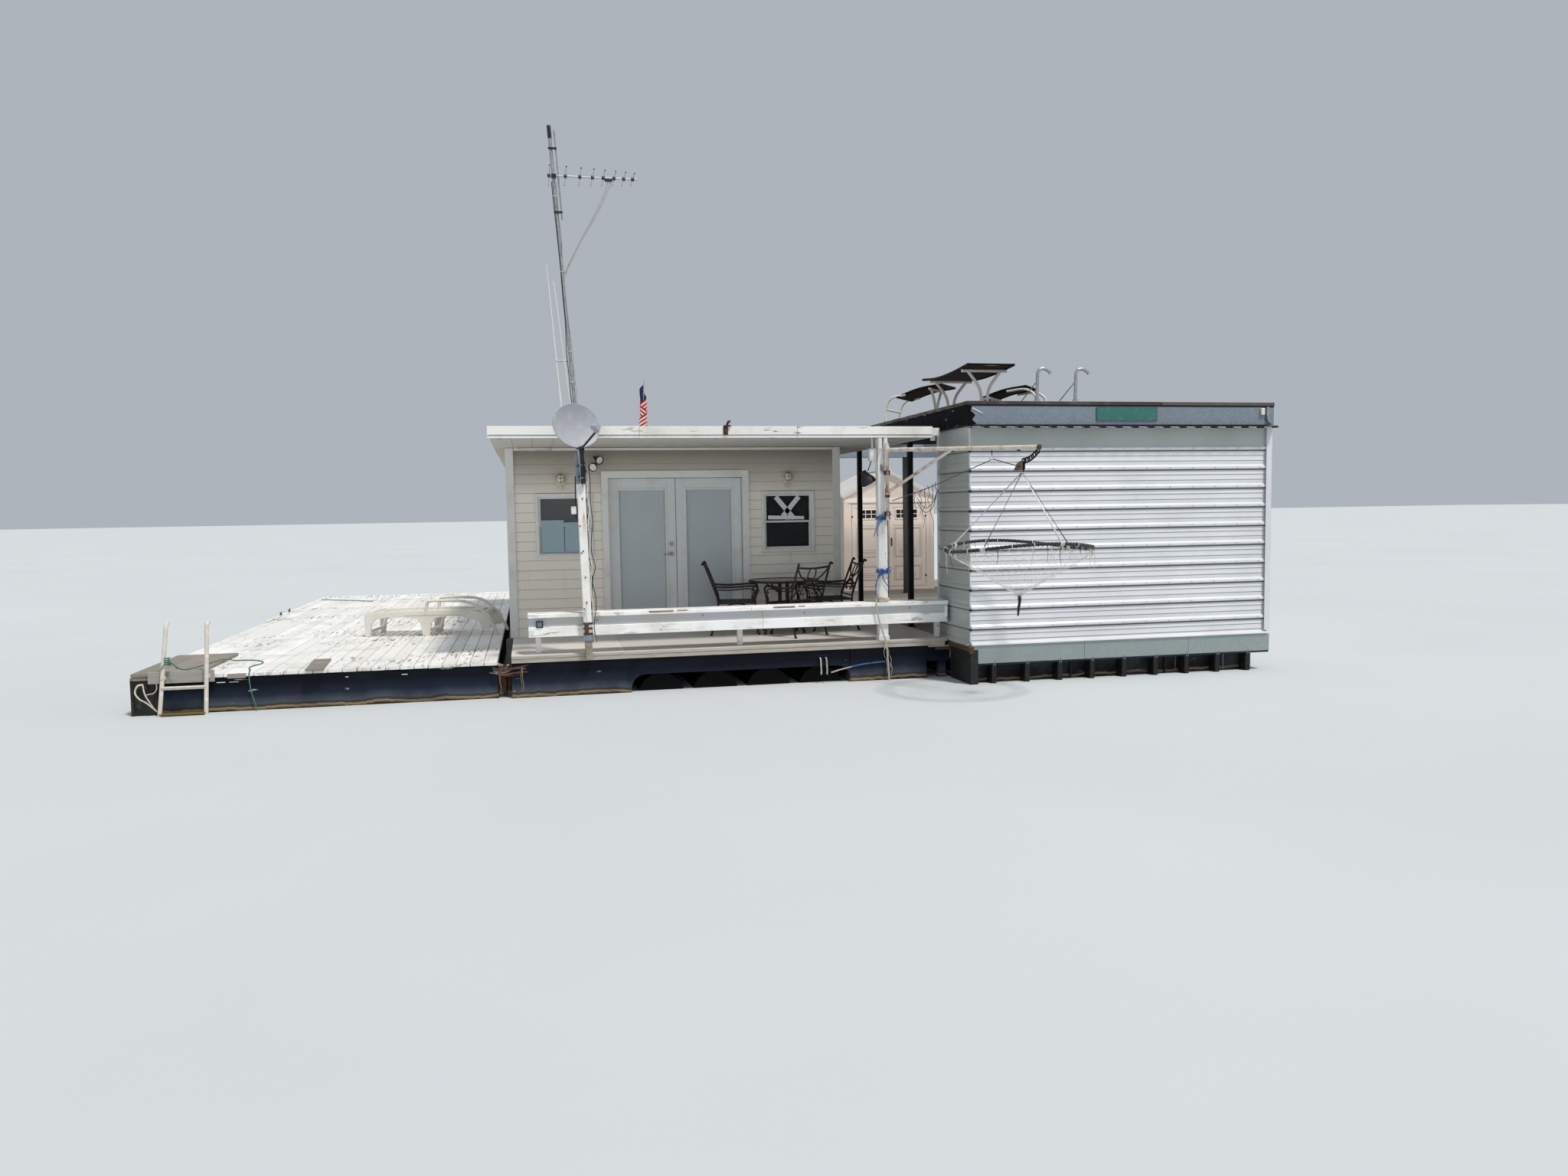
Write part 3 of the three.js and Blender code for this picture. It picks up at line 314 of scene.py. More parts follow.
def painted_pipe():
    # White paint on steel pipe, stained orange where rust bleeds from the joints
    coats = [((0.1, 0.42, 0.7), "#b9a596"), ((0.2, 0.56, 0.68), "#9c5c3a")]
    return surface(new_material("rust_stained_pipe"), "#dcd5ca", coats, [((0.02, 0.3, 0.7), 0.001)], 0.55)


def dull_aluminium():
    # Extruded aluminium, oxidised grey, with fine scratches
    return surface(new_material("dull_aluminium"), "#b4b8ba", [((0.06, 0.5, 0.75), "#8f9496")],
                   [((0.01, 0.3, 0.7), 0.0003)], (0.04, 0.3, 0.7, (1, 1, 1), 4.0, 0.3, 0.52), 0.85)


def moulded_plastic(name, dark, pale, roughness=0.5, grit=0.004, gloss=0.5):
    # Moulded plastic with a faint pebbled skin, faded unevenly by the sun
    return surface(new_material(name), dark, [((0.5, 0.35, 0.75), pale)], [((grit, 0.3, 0.7), 0.0004)],
                   roughness, Specular_IOR_Level=gloss)


def satin_paint(name, dark, pale, roughness=0.45, metallic=0.0):
    # Sprayed paint on metal: satin, with chips and dust
    return surface(new_material(name), dark, [((0.07, 0.5, 0.75), pale)], [((0.015, 0.3, 0.7), 0.0004)],
                   roughness, metallic)


def dark_membrane():
    # Torn black roof felt: rough, with white flecks where it has split
    coats = [((0.2, 0.4, 0.7), "#12151b"), ((0.05, 0.66, 0.7, (1, 0.4, 1)), "#dfe2e4")]
    return surface(new_material("torn_roof_felt"), "#07080c", coats, [((0.03, 0.3, 0.7), 0.003)], 0.85,
                   Specular_IOR_Level=0.1)


def woven(name, dark, pale, pitch=0.004, roughness=0.8):
    # Coarse woven cloth: threads cross, drawn a little coarser than life so that they show
    material = new_material(name)
    tree = material.node_tree
    spot = add(tree, "TexCoord").outputs["Object"]
    bands = [add(tree, "TexWave", {"Vector": spot, "Scale": 0.3 / pitch, "Distortion": 0.4},
                 bands_direction=axis).outputs[1] for axis in ("X", "Y")]
    weave = add(tree, "Math", {0: bands[0], 1: bands[1]}, operation="MULTIPLY").outputs[0]
    return surface(material, dark, [(weave, pale), ((0.3, 0.5, 0.8), dark)], [(weave, 0.0008)], roughness,
                   Sheen_Weight=0.05, Specular_IOR_Level=0.15)


def fibre(name, dark, pale):
    # Twisted fibre rope: matt, its strands shaded by fine fluff
    return surface(new_material(name), (dark, pale), [((0.05, 0.45, 0.75), dark)],
                   [((0.003, 0.3, 0.7), 0.0008)], 0.9, Sheen_Weight=0.3)


def plain(name, code, roughness=0.6, metallic=0.0):
    # Small fittings: one dye or paint, with a little dirt
    return surface(new_material(name), code, [((0.06, 0.55, 1.3), "#77726a")], (), roughness, metallic)


FINISH = {
    "navy": float_enamel("navy_marine_enamel", [
        (0.0, "#14130f"), (0.13, "#2b2418"), (0.19, "#978663"), (0.235, "#352e25"), (0.29, "#4a525d"),
        (0.5, "#1f2737"), (0.78, "#080c17"),
    ], "#131a28", "#c6cacc", 0.69),
    # The dock float's side: dark at the water, a pale scum band, then lighter towards the top
    "float_side": float_enamel("scuffed_float_side", [
        (0.0, "#0d0b09"), (0.15, "#231a12"), (0.21, "#8d8269"), (0.25, "#1f1812"), (0.4, "#1b1b1b"),
        (0.62, "#2b3136"), (0.85, "#4a5157"),
    ], "#4c5359", "#b4b9ba", 0.66),
    "deck_paint": peeling_paint("peeling_deck_paint", 1, 0.6, "#8b8376", "#e8e7e4", "#f9f9f8"),
    "rail_paint": peeling_paint("peeling_rail_paint", 0, 0.62, "#8a7c6e", "#efeeec", "#fafaf9"),
    # Paint for the apron's set-back upper band, darkened grey: painted shade under the seat's overhang
    "shaded_paint": peeling_paint("shade_darkened_apron_paint", 0, 0.7, "#7f7a74", "#b9bbbd", "#c6c8ca"),
    "post_paint": peeling_paint("peeling_post_paint", 2, 0.63, "#8d8478"),
    "porch_paint": peeling_paint("porch_floor_paint", 0, 0.72, "#9a958c", "#cdc7c1", "#dcd7d1"),
    "grey_board": weathered_board("weathered_grey_board", "#7f7a70", "#9a958a", 1),
    "step_board": weathered_board("pale_step_board", "#8d8a86", "#a5a29c", 0),
    "tan_board": weathered_board("weathered_tan_board", "#928b80", "#b9b2a7", 0),
    "siding": lap_vinyl(),
    "trim": white_vinyl(),
    "frame": white_vinyl("white_window_vinyl", "#e9e9e6", 0.35),
    "door": white_vinyl("pale_door_enamel", "#dde1e1", 0.35),
    "glass": clear_glass("window_glass", 0.12, "#aebcc0", "#c6d0d2"),
    "dim_glass": clear_glass("shaded_window_glass", 0.1, "#3c4549", "#586266"),
    "table_glass": clear_glass("table_glass", 0.5, "#aeb5b3", "#c2c8c5"),
    "blind": moulded_plastic("closed_blind_slats", "#d9e1e5", "#e2e8ec", 0.6),
    "sheet": enamelled_sheet("white_ribbed_sheet", "#cdcfd4", "#dddfe3", "#b3b6b6"),
    # The ribbed sheet darkened to paint shade, keeping its dirt runs: on the return wall and the eaves band
    "shaded_sheet": enamelled_sheet("shade_darkened_ribbed_sheet", "#a7ada8", "#b9bebb", "#7d837c"),
    # Painted shadow lines under the wall's ribs: dark, fainter, and darker on the shaded return wall
    "rib_shadow": plain("painted_shadow_under_ribs", "#575c60"),
    "faint_rib_shadow": plain("faint_painted_rib_shadow", "#a3a8ab"),
    "shaded_rib_shadow": plain("painted_rib_shadow_on_shaded_wall", "#6f746f"),
    "zinc": galvanised(),
    "float_zinc": galvanised("grey_float_paint", "#98a3a2", "#a5b0af", "#b3bdbb"),
    "rust": rusted_steel(),
    "pipe": painted_pipe(),
    "aluminium": dull_aluminium(),
    "ladder_tube": satin_paint("chalky_ladder_tube", "#d6cec2", "#f1eeea", 0.45),
    "algae_tread": plain("algae_on_tread", "#6d6038"),
    # Black plastic drums, made darker than their plastic: painted shade in the bay under the floats
    "black_drum": moulded_plastic("black_polyethylene", "#050505", "#0a0a0b", 0.6, gloss=0.12),
    "resin": moulded_plastic("beige_shed_resin", "#d3c5ba", "#ddd0c6", 0.55),
    # Dark resin for the shed doors' panel grooves: painted shade in the recesses
    "groove_shade_resin": moulded_plastic("shed_groove_painted_shade", "#8f8177", "#9b8d83", 0.6),
    "resin_roof": moulded_plastic("grey_shed_roof", "#c9c6c3", "#dddad7", 0.6),
    "white_resin": moulded_plastic("white_chair_resin", "#dad6cc", "#e6e3db", 0.42),
    "iron": satin_paint("brown_powder_coat", "#1b1411", "#2f241e", 0.45),
    "dark_steel": satin_paint("dark_bracket_paint", "#26282b", "#43464a", 0.5, 0.3),
    "dish": satin_paint("grey_dish_enamel", "#a6a8b0", "#b6b8bf", 0.5),
    "felt": dark_membrane(),
    "deck_edge": weathered_board("dark_roof_decking", "#3b352f", "#6b6258", 0),
    "sling": woven("brown_sling_weave", "#150f0d", "#30251f", 0.006),
    "green_plate": satin_paint("faded_green_plate", "#2f6f66", "#52807c", 0.6),
    "twine": fibre("grey_net_twine", "#8e8f8a", "#d8d8d2"),
    "white_cord": fibre("white_bridle_cord", "#c9c7c0", "#f3f1ec"),
    "green_rope": fibre("green_twisted_rope", "#1f4a3a", "#5b9a7c"),
    "pale_rope": fibre("frayed_pale_rope", "#a79d8a", "#e2dccb"),
    "rusty_rope": fibre("rust_soaked_rope", "#4a3325", "#9a7d63"),
    "blue_rope": fibre("blue_twisted_rope", "#1c4280", "#3a74bd"),
    "black": plain("black_rubber", "#161616", 0.6),
    "steel": plain("bright_steel", "#9b9da0", 0.3, 0.8),
    "bare_post": weathered_board("rotten_post_foot", "#5c5044", "#b5ab9b", 2),
    "fascia_paint": peeling_paint("peeling_fascia_paint", 0, 0.66, "#8a7c6e", "#e9e8e4", "#f7f6f3"),
    # White soffit darkened to grey: painted shade under the eaves
    "soffit": white_vinyl("shade_greyed_soffit_panel", "#c3c0b8", 0.6),
    "roof_coat": moulded_plastic("white_roof_coating", "#cfcfcb", "#dedddb", 0.7, 0.01),
    "frosted": plain("frosted_lamp_glass", "#e9e6d8", 0.3),
    "cream_fitting": plain("cream_lamp_enamel", "#d8d0b8", 0.5),
    "brass": plain("aged_brass", "#8a7446", 0.4, 0.8),
    "block_rust": rusted_steel("brown_scaled_steel", "#7d655c", 0.56),
    "black_scale": rusted_steel("black_scaled_chain", "#191716", 0.6),
    "dark_scale": rusted_steel("dark_scaled_steel", "#2b2523", 0.54),
    "blue_grey_line": fibre("blue_grey_line", "#3a4656", "#5f6f80"),
    "black_cord": fibre("black_wound_cord", "#141516", "#2e3033"),
    "black_steel": satin_paint("black_post_paint", "#121314", "#26282b", 0.5, 0.2),
    "dock_board": weathered_board("weathered_dock_board", "#7f7a70", "#9a958a", 0),
    "white_tube": satin_paint("white_tube_enamel", "#dedcd6", "#efede8", 0.35),
    "shed_trim": moulded_plastic("white_shed_trim", "#d9d4cf", "#e8e4e0", 0.5),
    "flag_red": woven("red_flag_cloth", "#a80c18", "#cf1b2a", 0.003),
    "flag_white": woven("white_flag_cloth", "#cfccc8", "#e6e3df", 0.003),
    "flag_blue": woven("navy_flag_cloth", "#1c2748", "#2b3a66", 0.003),
    "curtain": plain("dark_lined_curtain", "#33201f", 0.9),
    "dark_room": plain("unlit_room_screen", "#0c0c10", 0.9),
    "paper": plain("plain_window_paper", "#a0b6c0", 0.8),
    "tape": plain("cloth_tape", "#e9eeee", 0.7),
    "white_fitting": plain("white_fitting_plastic", "#e3e1da", 0.45),
}


# Mesh making

def blank():
    """An empty mesh whose faces can carry a tone: a shade of their own, from 0 to 1."""
    bm = bmesh.new()
    bm.faces.layers.float.new("tone")
    return bm


def placed(spot=(0, 0, 0), **turns):
    """A place for a part: turned about each axis named, the last one first, and moved to a spot."""
    place = Matrix.Translation(spot)
    for axis, angle in turns.items():
        place = place @ Matrix.Rotation(angle, 4, axis)
    return place


def near(middle, half):
    """The span that reaches half to each side of a middle."""
    return middle - half, middle + half


def join(bm, part, material=0, tone=0.5, turn=None):
    """Adds a small mesh to a piece, turned first if it has a turn. No material leaves each face its own."""
    layer = part.faces.layers.float.new("tone")
    for face in part.faces:
        if material is not None:
            face.material_index = material
        face[layer] = tone
    if turn is not None:
        bmesh.ops.transform(part, matrix=turn, verts=part.verts)
    mesh = bpy.data.meshes.new("part")
    part.to_mesh(mesh)
    part.free()
    bm.from_mesh(mesh)
    bpy.data.meshes.remove(mesh)


def slab(bm, x, y, z, material=0, tone=0.5, edge=0.0, turn=None, segments=1):
    """A block between two places along each axis, with its edges rounded over."""
    spans = [sorted(pair) for pair in (x, y, z)]
    middle = Vector([(low + high) / 2 for low, high in spans])
    size = [high - low for low, high in spans]
    part = bmesh.new()
    bmesh.ops.create_cube(part, size=1, matrix=placed(middle) @ Matrix.Diagonal((*size, 1)))
    if edge:
        bmesh.ops.bevel(part, geom=part.edges[:], offset=edge, segments=segments, affect="EDGES", profile=0.5,
                        material=-1)
    join(bm, part, material, tone, turn)


def pole(bm, start, end, radius, material=0, tone=0.5, sides=12, tip=None, turn=None):
    """A straight round bar, or a cone if its tip has another radius."""
    start, end = Vector(start), Vector(end)
    along = end - start
    stand = placed((start + end) / 2) @ along.to_track_quat("Z", "Y").to_matrix().to_4x4()
    part = bmesh.new()
    bmesh.ops.create_cone(part, cap_ends=True, segments=sides, radius1=radius,
                          radius2=radius if tip is None else tip, depth=along.length, matrix=stand)
    join(bm, part, material, tone, turn)


def smooth_path(points, steps):
    """Points on a smooth curve through the given ones, steps to each stretch."""
    points = [Vector(p) for p in points]
    ends = [2 * points[0] - points[1], *points, 2 * points[-1] - points[-2]]
    path = []
    for a, b, c, d in zip(ends, ends[1:], ends[2:], ends[3:]):
        for i in range(steps):
            t = i / steps
            path.append(0.5 * (2 * b + (c - a) * t + (2 * a - 5 * b + 4 * c - d) * t * t
                               + (3 * b - a - 3 * c + d) * t * t * t))
    return path + [points[-1]]


def rounded(points, reach, steps=4):
    """The same bends, with each corner eased over its reach."""
    points = [Vector(p) for p in points]
    path = [points[0]]
    for before, corner, after in zip(points, points[1:], points[2:]):
        start = corner + (before - corner).normalized() * min(reach, (before - corner).length / 2)
        end = corner + (after - corner).normalized() * min(reach, (after - corner).length / 2)
        for i in range(steps + 1):
            t = i / steps
            path.append(start.lerp(corner, t).lerp(corner.lerp(end, t), t))
    return path + [points[-1]]


def path_frames(path, twist=0.0, side=None):
    """A frame at each point of a path, its z along it, turned on by twist radians a metre."""
    frames = []
    travelled = 0.0
    for i, point in enumerate(path):
        along = (path[min(i + 1, len(path) - 1)] - path[max(i - 1, 0)]).normalized()
        side = Vector(side) if side is not None else along.orthogonal()
        side = (side - along * side.dot(along)).normalized()
        if i:
            travelled += (point - path[i - 1]).length
        turn = Matrix((side, along.cross(side), along)).transposed().to_4x4()
        frames.append(Matrix.Translation(point) @ turn @ Matrix.Rotation(twist * travelled, 4, "Z"))
    return frames


def sweep(part, frames, sides, radii, lobes=0, lobe=0.0, oval=(1, 1)):
    """A closed skin drawn through the frames. Lobes give it strands, as on a rope."""
    ring = bmesh.ops.create_circle(part, cap_ends=True, segments=sides, radius=1.0)["verts"]
    for vert in ring:
        angle = math.atan2(vert.co.y, vert.co.x)
        vert.co *= 1 + lobe * (math.cos(lobes * angle) - 1)
        vert.co.x *= oval[0]
        vert.co.y *= oval[1]
    bmesh.ops.transform(part, matrix=frames[0] @ Matrix.Scale(radii[0], 4), verts=ring)
    face = part.faces[:]
    for before, after, start, end in zip(frames, frames[1:], radii, radii[1:]):
        face = bmesh.ops.extrude_discrete_faces(part, faces=face)["faces"]
        step = after @ Matrix.Scale(end / start, 4) @ before.inverted()
        bmesh.ops.transform(part, matrix=step, verts=face[0].verts)
    bmesh.ops.holes_fill(part, edges=[edge for edge in part.edges if edge.is_boundary], sides=0)
    bmesh.ops.recalc_face_normals(part, faces=part.faces)


def tube(bm, points, radius, material=0, tone=0.5, sides=8, smooth=0, tip=None, oval=(1, 1), side=None,
         twist=0.0, lobes=0, lobe=0.0, turn=None):
    """A bent round bar through several points, straight between them unless smooth steps are given."""
    path = smooth_path(points, smooth) if smooth else [Vector(p) for p in points]
    last = radius if tip is None else tip
    radii = [radius + (last - radius) * i / (len(path) - 1) for i in range(len(path))]
    part = bmesh.new()
    sweep(part, path_frames(path, twist, side), sides, radii, lobes, lobe, oval)
    join(bm, part, material, tone, turn)
    return path


def hoop(bm, middle, radius, thick, material=0, tone=0.5, steps=32, sides=8, turn=None):
    """A ring about z."""
    part = bmesh.new()
    place = placed(Vector(middle) + Vector((radius, 0, 0)), X=TURN / 4)
    ring = bmesh.ops.create_circle(part, cap_ends=False, segments=sides, radius=thick, matrix=place)["verts"]
    geom = ring + list({edge for vert in ring for edge in vert.link_edges})
    bmesh.ops.spin(part, geom=geom, axis=(0, 0, 1), cent=middle, steps=steps, angle=TURN, use_merge=True)
    bmesh.ops.remove_doubles(part, verts=part.verts, dist=1e-6)
    bmesh.ops.recalc_face_normals(part, faces=part.faces)
    join(bm, part, material, tone, turn)


def lathe(bm, profile, material=0, tone=0.5, steps=24, turn=None):
    """A round shape: (radius, height) points spun about z."""
    part = bmesh.new()
    verts = [part.verts.new((radius, 0, height)) for radius, height in profile]
    edges = [part.edges.new(pair) for pair in zip(verts, verts[1:])]
    bmesh.ops.spin(part, geom=verts + edges, axis=(0, 0, 1), cent=(0, 0, 0), steps=steps, angle=TURN,
                   use_merge=True)
    bmesh.ops.remove_doubles(part, verts=part.verts, dist=1e-5)
    bmesh.ops.recalc_face_normals(part, faces=part.faces)
    join(bm, part, material, tone, turn)


def plate(bm, outline, depth, material=0, tone=0.5, edge=0.0, turn=None):
    """A flat outline of (x, z) points, drawn back along y by depth."""
    part = bmesh.new()
    face = part.faces.new([part.verts.new((x, 0, z)) for x, z in outline])
    drawn = bmesh.ops.extrude_face_region(part, geom=[face])["geom"]
    moved = [v for v in drawn if isinstance(v, bmesh.types.BMVert)]
    bmesh.ops.translate(part, verts=moved, vec=(0, depth, 0))
    bmesh.ops.recalc_face_normals(part, faces=part.faces)
    if edge:
        bmesh.ops.bevel(part, geom=part.edges[:], offset=edge, segments=1, affect="EDGES", profile=0.5,
                        material=-1)
    join(bm, part, material, tone, turn)


def frame_ring(bm, x, z, y, width, material=0, tone=0.5, edge=0.002, turn=None):
    """Four bars round an opening: the outer span in x and z, the depth in y, and the bars' width."""
    slab(bm, x, y, (z[0], z[0] + width), material, tone, edge, turn)
    slab(bm, x, y, (z[1] - width, z[1]), material, tone, edge, turn)
    for start in (x[0], x[1] - width):
        slab(bm, (start, start + width), y, (z[0] + width, z[1] - width), material, tone, edge, turn)


def piece(name, bm, finishes, body="boat", replaces=(), sharp=35, turn=None):
    """Makes the finished mesh an object that rides on a body."""
    mesh = bpy.data.meshes.new(name)
    if turn is not None:
        bmesh.ops.transform(bm, matrix=turn, verts=bm.verts)
    bmesh.ops.translate(bm, verts=bm.verts, vec=ORIGIN)
    bm.to_mesh(mesh)
    bm.free()
    for finish in finishes:
        mesh.materials.append(FINISH[finish])
    mesh.shade_smooth()
    mesh.set_sharp_from_angle(angle=math.radians(sharp))
    made = bpy.data.objects.new(name, mesh)
    scene.collection.objects.link(made)
    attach(made, body)
    if replaces:
        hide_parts(*replaces)
    return made


NODE_FINISH = {
    "cabin_float": "navy", "float_drums": "black_drum", "float_coupling_front": "rust",
    "float_coupling_back": "rust", "cabin_front_wall": "siding", "cabin_back_wall": "siding",
    "cabin_left_wall": "siding", "cabin_right_wall": "siding", "door_frame": "frame",
    "dish_bracket": "dark_steel", "dock_right_wall": "sheet", "shed_body": "resin", "shed_roof": "resin_roof",
}


def paint_nodes():
    """Finishes the CAD nodes that no piece replaces."""
    for name, finish in NODE_FINISH.items():
        for place in nodes[name].material_slots:
            place.material = FINISH[finish]


# Ropes: their routes are the CAD's own, from the knot at the top to the water

chance = random.Random(7)

DECK_ROPE = [
    (-3.695, 0, 0.56), (-3.672, 0.022, 0.532), (-3.642, 0.07, 0.488), (-3.602, 0.16, 0.459),
    (-3.564, 0.33, 0.4525), (-3.522, 0.56, 0.452), (-3.482, 0.79, 0.453), (-3.438, 0.96, 0.459),
    (-3.394, 1.07, 0.44), (-3.335, 1.128, 0.42), (-3.25, 1.15, 0.4178), (-3.14, 1.11, 0.4178),
    (-3.051, 1.02, 0.4178), (-2.992, 0.89, 0.4178), (-2.98, 0.76, 0.4178), (-3.01, 0.64, 0.4178),
    (-3.035, 0.52, 0.4178), (-3.03, 0.4, 0.4178), (-2.998, 0.275, 0.419), (-2.968, 0.18, 0.426),
    (-2.956, 0.103, 0.433), (-2.955, 0.067, 0.4185), (-2.955, 0.052, 0.383), (-2.954, 0.052, 0.3),
    (-2.938, 0.053, 0.192), (-2.905, 0.054, 0.06), (-2.88, 0.055, -0.06),
]
RAIL_ROPE = [
    (4.0116, 0.108, 0.9408), (4.006, 0.084, 0.945), (3.996, 0.058, 0.955), (3.984, 0.031, 0.9595),
    (3.975, 0.001, 0.9515), (3.969, -0.021, 0.929), (3.966, -0.0285, 0.898), (3.97, -0.029, 0.85),
    (3.981, -0.029, 0.785), (4, -0.029, 0.7), (4.032, -0.029, 0.6), (4.064, -0.029, 0.5),
    (4.086, -0.029, 0.38), (4.099, -0.029, 0.243), (4.107, -0.03, 0.12), (4.11, -0.031, 0.008),
    (4.108, -0.032, -0.06),
]


def lay_rope(name, node, points, radius, finish):
    """A laid rope of three strands, along its route."""
    bm = blank()
    path = tube(bm, points, radius, sides=12, smooth=10, twist=TURN / (radius * 9), lobes=3, lobe=0.12)
    made = piece(name, bm, [finish], replaces=[node], sharp=80)


# Floats and decks

SUN_DECK_LEFT = -4.1        # where the photograph shows its edge


def dress_sun_deck():
    """Painted boards of three lengths each, their front ends a little out of line."""
    low, high = box("sun_deck_boards")
    low.x = SUN_DECK_LEFT
    bm = blank()
    slab(bm, (SUN_DECK_LEFT, -0.4), (0.09, 11.39), (-DRAFT, 0.3697), edge=0.008)
    for start, end in ((-3.285, -3.2), (-3.16, -3.07), (-2.0, -1.97), (-1.42, -1.36)):
        slab(bm, (start, end), (0.0888, 0.0902), (0.31, 0.318), 1, edge=0.0003)
    piece("sun_deck_hull", bm, ["navy", "white_fitting"], replaces=["sun_deck_float"])

    bm = blank()
    count, gap = 25, 0.004
    pitch = (high.x - low.x) / count
    for i in range(count):
        left = low.x + i * pitch
        stops = [low.y + chance.uniform(-0.008, 0.006), chance.uniform(3, 4.4), chance.uniform(7, 8.4),
                 high.y]
        for start, end in zip(stops, stops[1:]):
            top = high.z + chance.uniform(-0.003, 0.001)
            slab(bm, (left + gap, left + pitch - gap), (start, end - 0.003), (low.z, top), 0, chance.random(),
                 0.003)
    piece("painted_deck_boards", bm, ["deck_paint"], replaces=["sun_deck_boards"])

    bm = blank()
    edge = low.x + 0.05
    slab(bm, (low.x, edge), (6.2, high.y), (high.z, high.z + 0.018), 0, 0.9, 0.004)
    slab(bm, (edge, high.x), (high.y - 0.05, high.y), (high.z, high.z + 0.018), 0, 0.8, 0.004)
    piece("deck_edge_strips", bm, ["deck_paint"])

    bm = blank()
    for y in (7.25, 7.93):
        slab(bm, (-4.09, -4.06), near(y, 0.04), (0.428, 0.44), edge=0.003)
        for side in (-1, 1):
            tube(bm, [(-4.075, y + side * 0.02, 0.44), (-4.075, y + side * 0.025, 0.465),
                      (-4.075, y + side * 0.08, 0.474)], 0.009, smooth=4, tip=0.006)
    tube(bm, [(-4.03, 10.78, 0.42), (-3.5, 10.42, 0.418), (-2.98, 9.95, 0.42)], 0.009, 1, smooth=5)
    slab(bm, (-2.37, -2.185), (0.3, 1.18), (0.412, 0.432), 2, 0.2, 0.004, placed((0, -0.17, 0), Z=0.07))
    slab(bm, (-3.17, -2.99), (0.058, 0.073), (0.355, 0.405), 2, 0.9, 0.003)
    piece("sun_deck_fittings", bm, ["black", "aluminium", "grey_board"])


def dress_corner_step():
    """A grey step of three boards over the rusted corner, with a board hung down in front."""
    bm = blank()
    for start, end, tone in ((-4.098, -3.86, 0.3), (-3.857, -3.65, 0.6), (-3.647, -3.44, 0.45)):
        slab(bm, (start, end), (0.055, 1.7), (SUN_TOP, 0.444), 0, tone, 0.004)
    slab(bm, (-3.93, -3.29), (0.031, 0.054), (0.335, 0.46), 1, 0.7, 0.003)
    piece("grey_corner_step", bm, ["grey_board", "step_board"], replaces=["corner_step"])

    bm = blank()
    slab(bm, (-4.09, -3.86), (0.083, 0.0895), (-0.05, 0.4), 1, edge=0.002)
    for start, end in ((-4.112, -4.082), (-3.885, -3.86)):
        slab(bm, (start, end), (0.07, 0.0895), (-0.1, 0.4), edge=0.003)
    slab(bm, (-4.11, -3.86), (0.066, 0.0895), (0.375, 0.402), 2, edge=0.004)
    slab(bm, (-4.07, -3.95), (0.06, 0.0895), (0.3, 0.345), edge=0.004)
    pole(bm, (-4.06, 0.045, 0.3), (-3.94, 0.05, 0.29), 0.012)
    piece("rusted_corner_frame", bm, ["dark_scale", "black", "bare_post"])

    bm = blank()
    loops = [
        [(-3.98, 0.05, 0.33), (-4.03, 0.04, 0.32), (-4.055, 0.03, 0.25), (-4.015, 0.025, 0.185),
         (-3.96, 0.02, 0.15), (-3.906, 0.02, 0.1), (-3.852, 0.02, 0.045), (-3.79, 0.015, 0.0)],
        [(-3.982, 0.05, 0.32), (-3.965, 0.03, 0.24), (-3.928, 0.02, 0.165), (-3.884, 0.02, 0.09),
         (-3.84, 0.02, 0.03)],
        [(-3.852, 0.04, 0.335), (-3.846, 0.03, 0.289), (-3.873, 0.025, 0.243), (-3.95, 0.03, 0.225)],
    ]
    for i, points in enumerate(loops):
        tube(bm, points, 0.0125 - 0.003 * i, 0, 0.8, 8, 6, 0.005, twist=90, lobes=3, lobe=0.12)
    piece("frayed_corner_lashing", bm, ["pale_rope"], sharp=80)


def dress_ladder():
    """Two straight rails held on by two brackets, with flat treads that algae covers near the water."""
    bm = blank()

    def rail(side, z):
        foot, lean = (-3.847, 0.104) if side < 0 else (-3.383, 0.045)
        return Vector((foot + lean * (z + 0.32), -0.045 + 0.03 * (z + 0.32), z))

    for side in (-1, 1):
        top = rail(side, 0.955)
        tube(bm, rounded([rail(side, -0.32), top, top + Vector((0, 0.05, 0.008))], 0.03, 5), 0.0215, sides=16)
        pole(bm, top + Vector((0, 0.05, 0.008)), top + Vector((0, 0.062, 0.008)), 0.018, 1, sides=16)
        fix = rail(side, 0.4)
        slab(bm, near(fix.x, 0.024), (fix.y + 0.018, 0.0305), (0.38, 0.42), edge=0.004)
        pole(bm, (fix.x, fix.y - 0.028, 0.4), (fix.x, fix.y - 0.018, 0.4), 0.012, sides=6)
    for z in (-0.262, 0.01, 0.288):
        start, end = rail(-1, z), rail(1, z)
        finish = 2 if z < 0.1 else 0
        pole(bm, start, end, 0.015, finish)
        slab(bm, (start.x, end.x), near(start.y, 0.03), (z + 0.006, z + 0.02), finish, edge=0.004, segments=2)
    piece("straight_rail_ladder", bm, ["ladder_tube", "black", "algae_tread"], replaces=["swim_ladder"])

    bm = blank()
    turns = 4
    points = [Vector((-3.7195 + 0.027 * math.cos(a), -0.0205 + 0.027 * math.sin(a), 0.53 + 0.0021 * i)) for i,
              a in enumerate(TURN * step / 10 for step in range(10 * turns + 1))]
    tube(bm, points, 0.0068, 0, 0.6, lobes=3, lobe=0.12, twist=90)
    for reach in (0.05, -0.045):
        tube(bm, [(-3.7, -0.03, 0.55), (-3.7 + reach, -0.055, 0.54), (-3.7 + reach * 1.6, -0.05, 0.49)],
             0.0066, 0, 0.3, 8, 5, 0.004)
    piece("green_knot", bm, ["green_rope"], sharp=80)


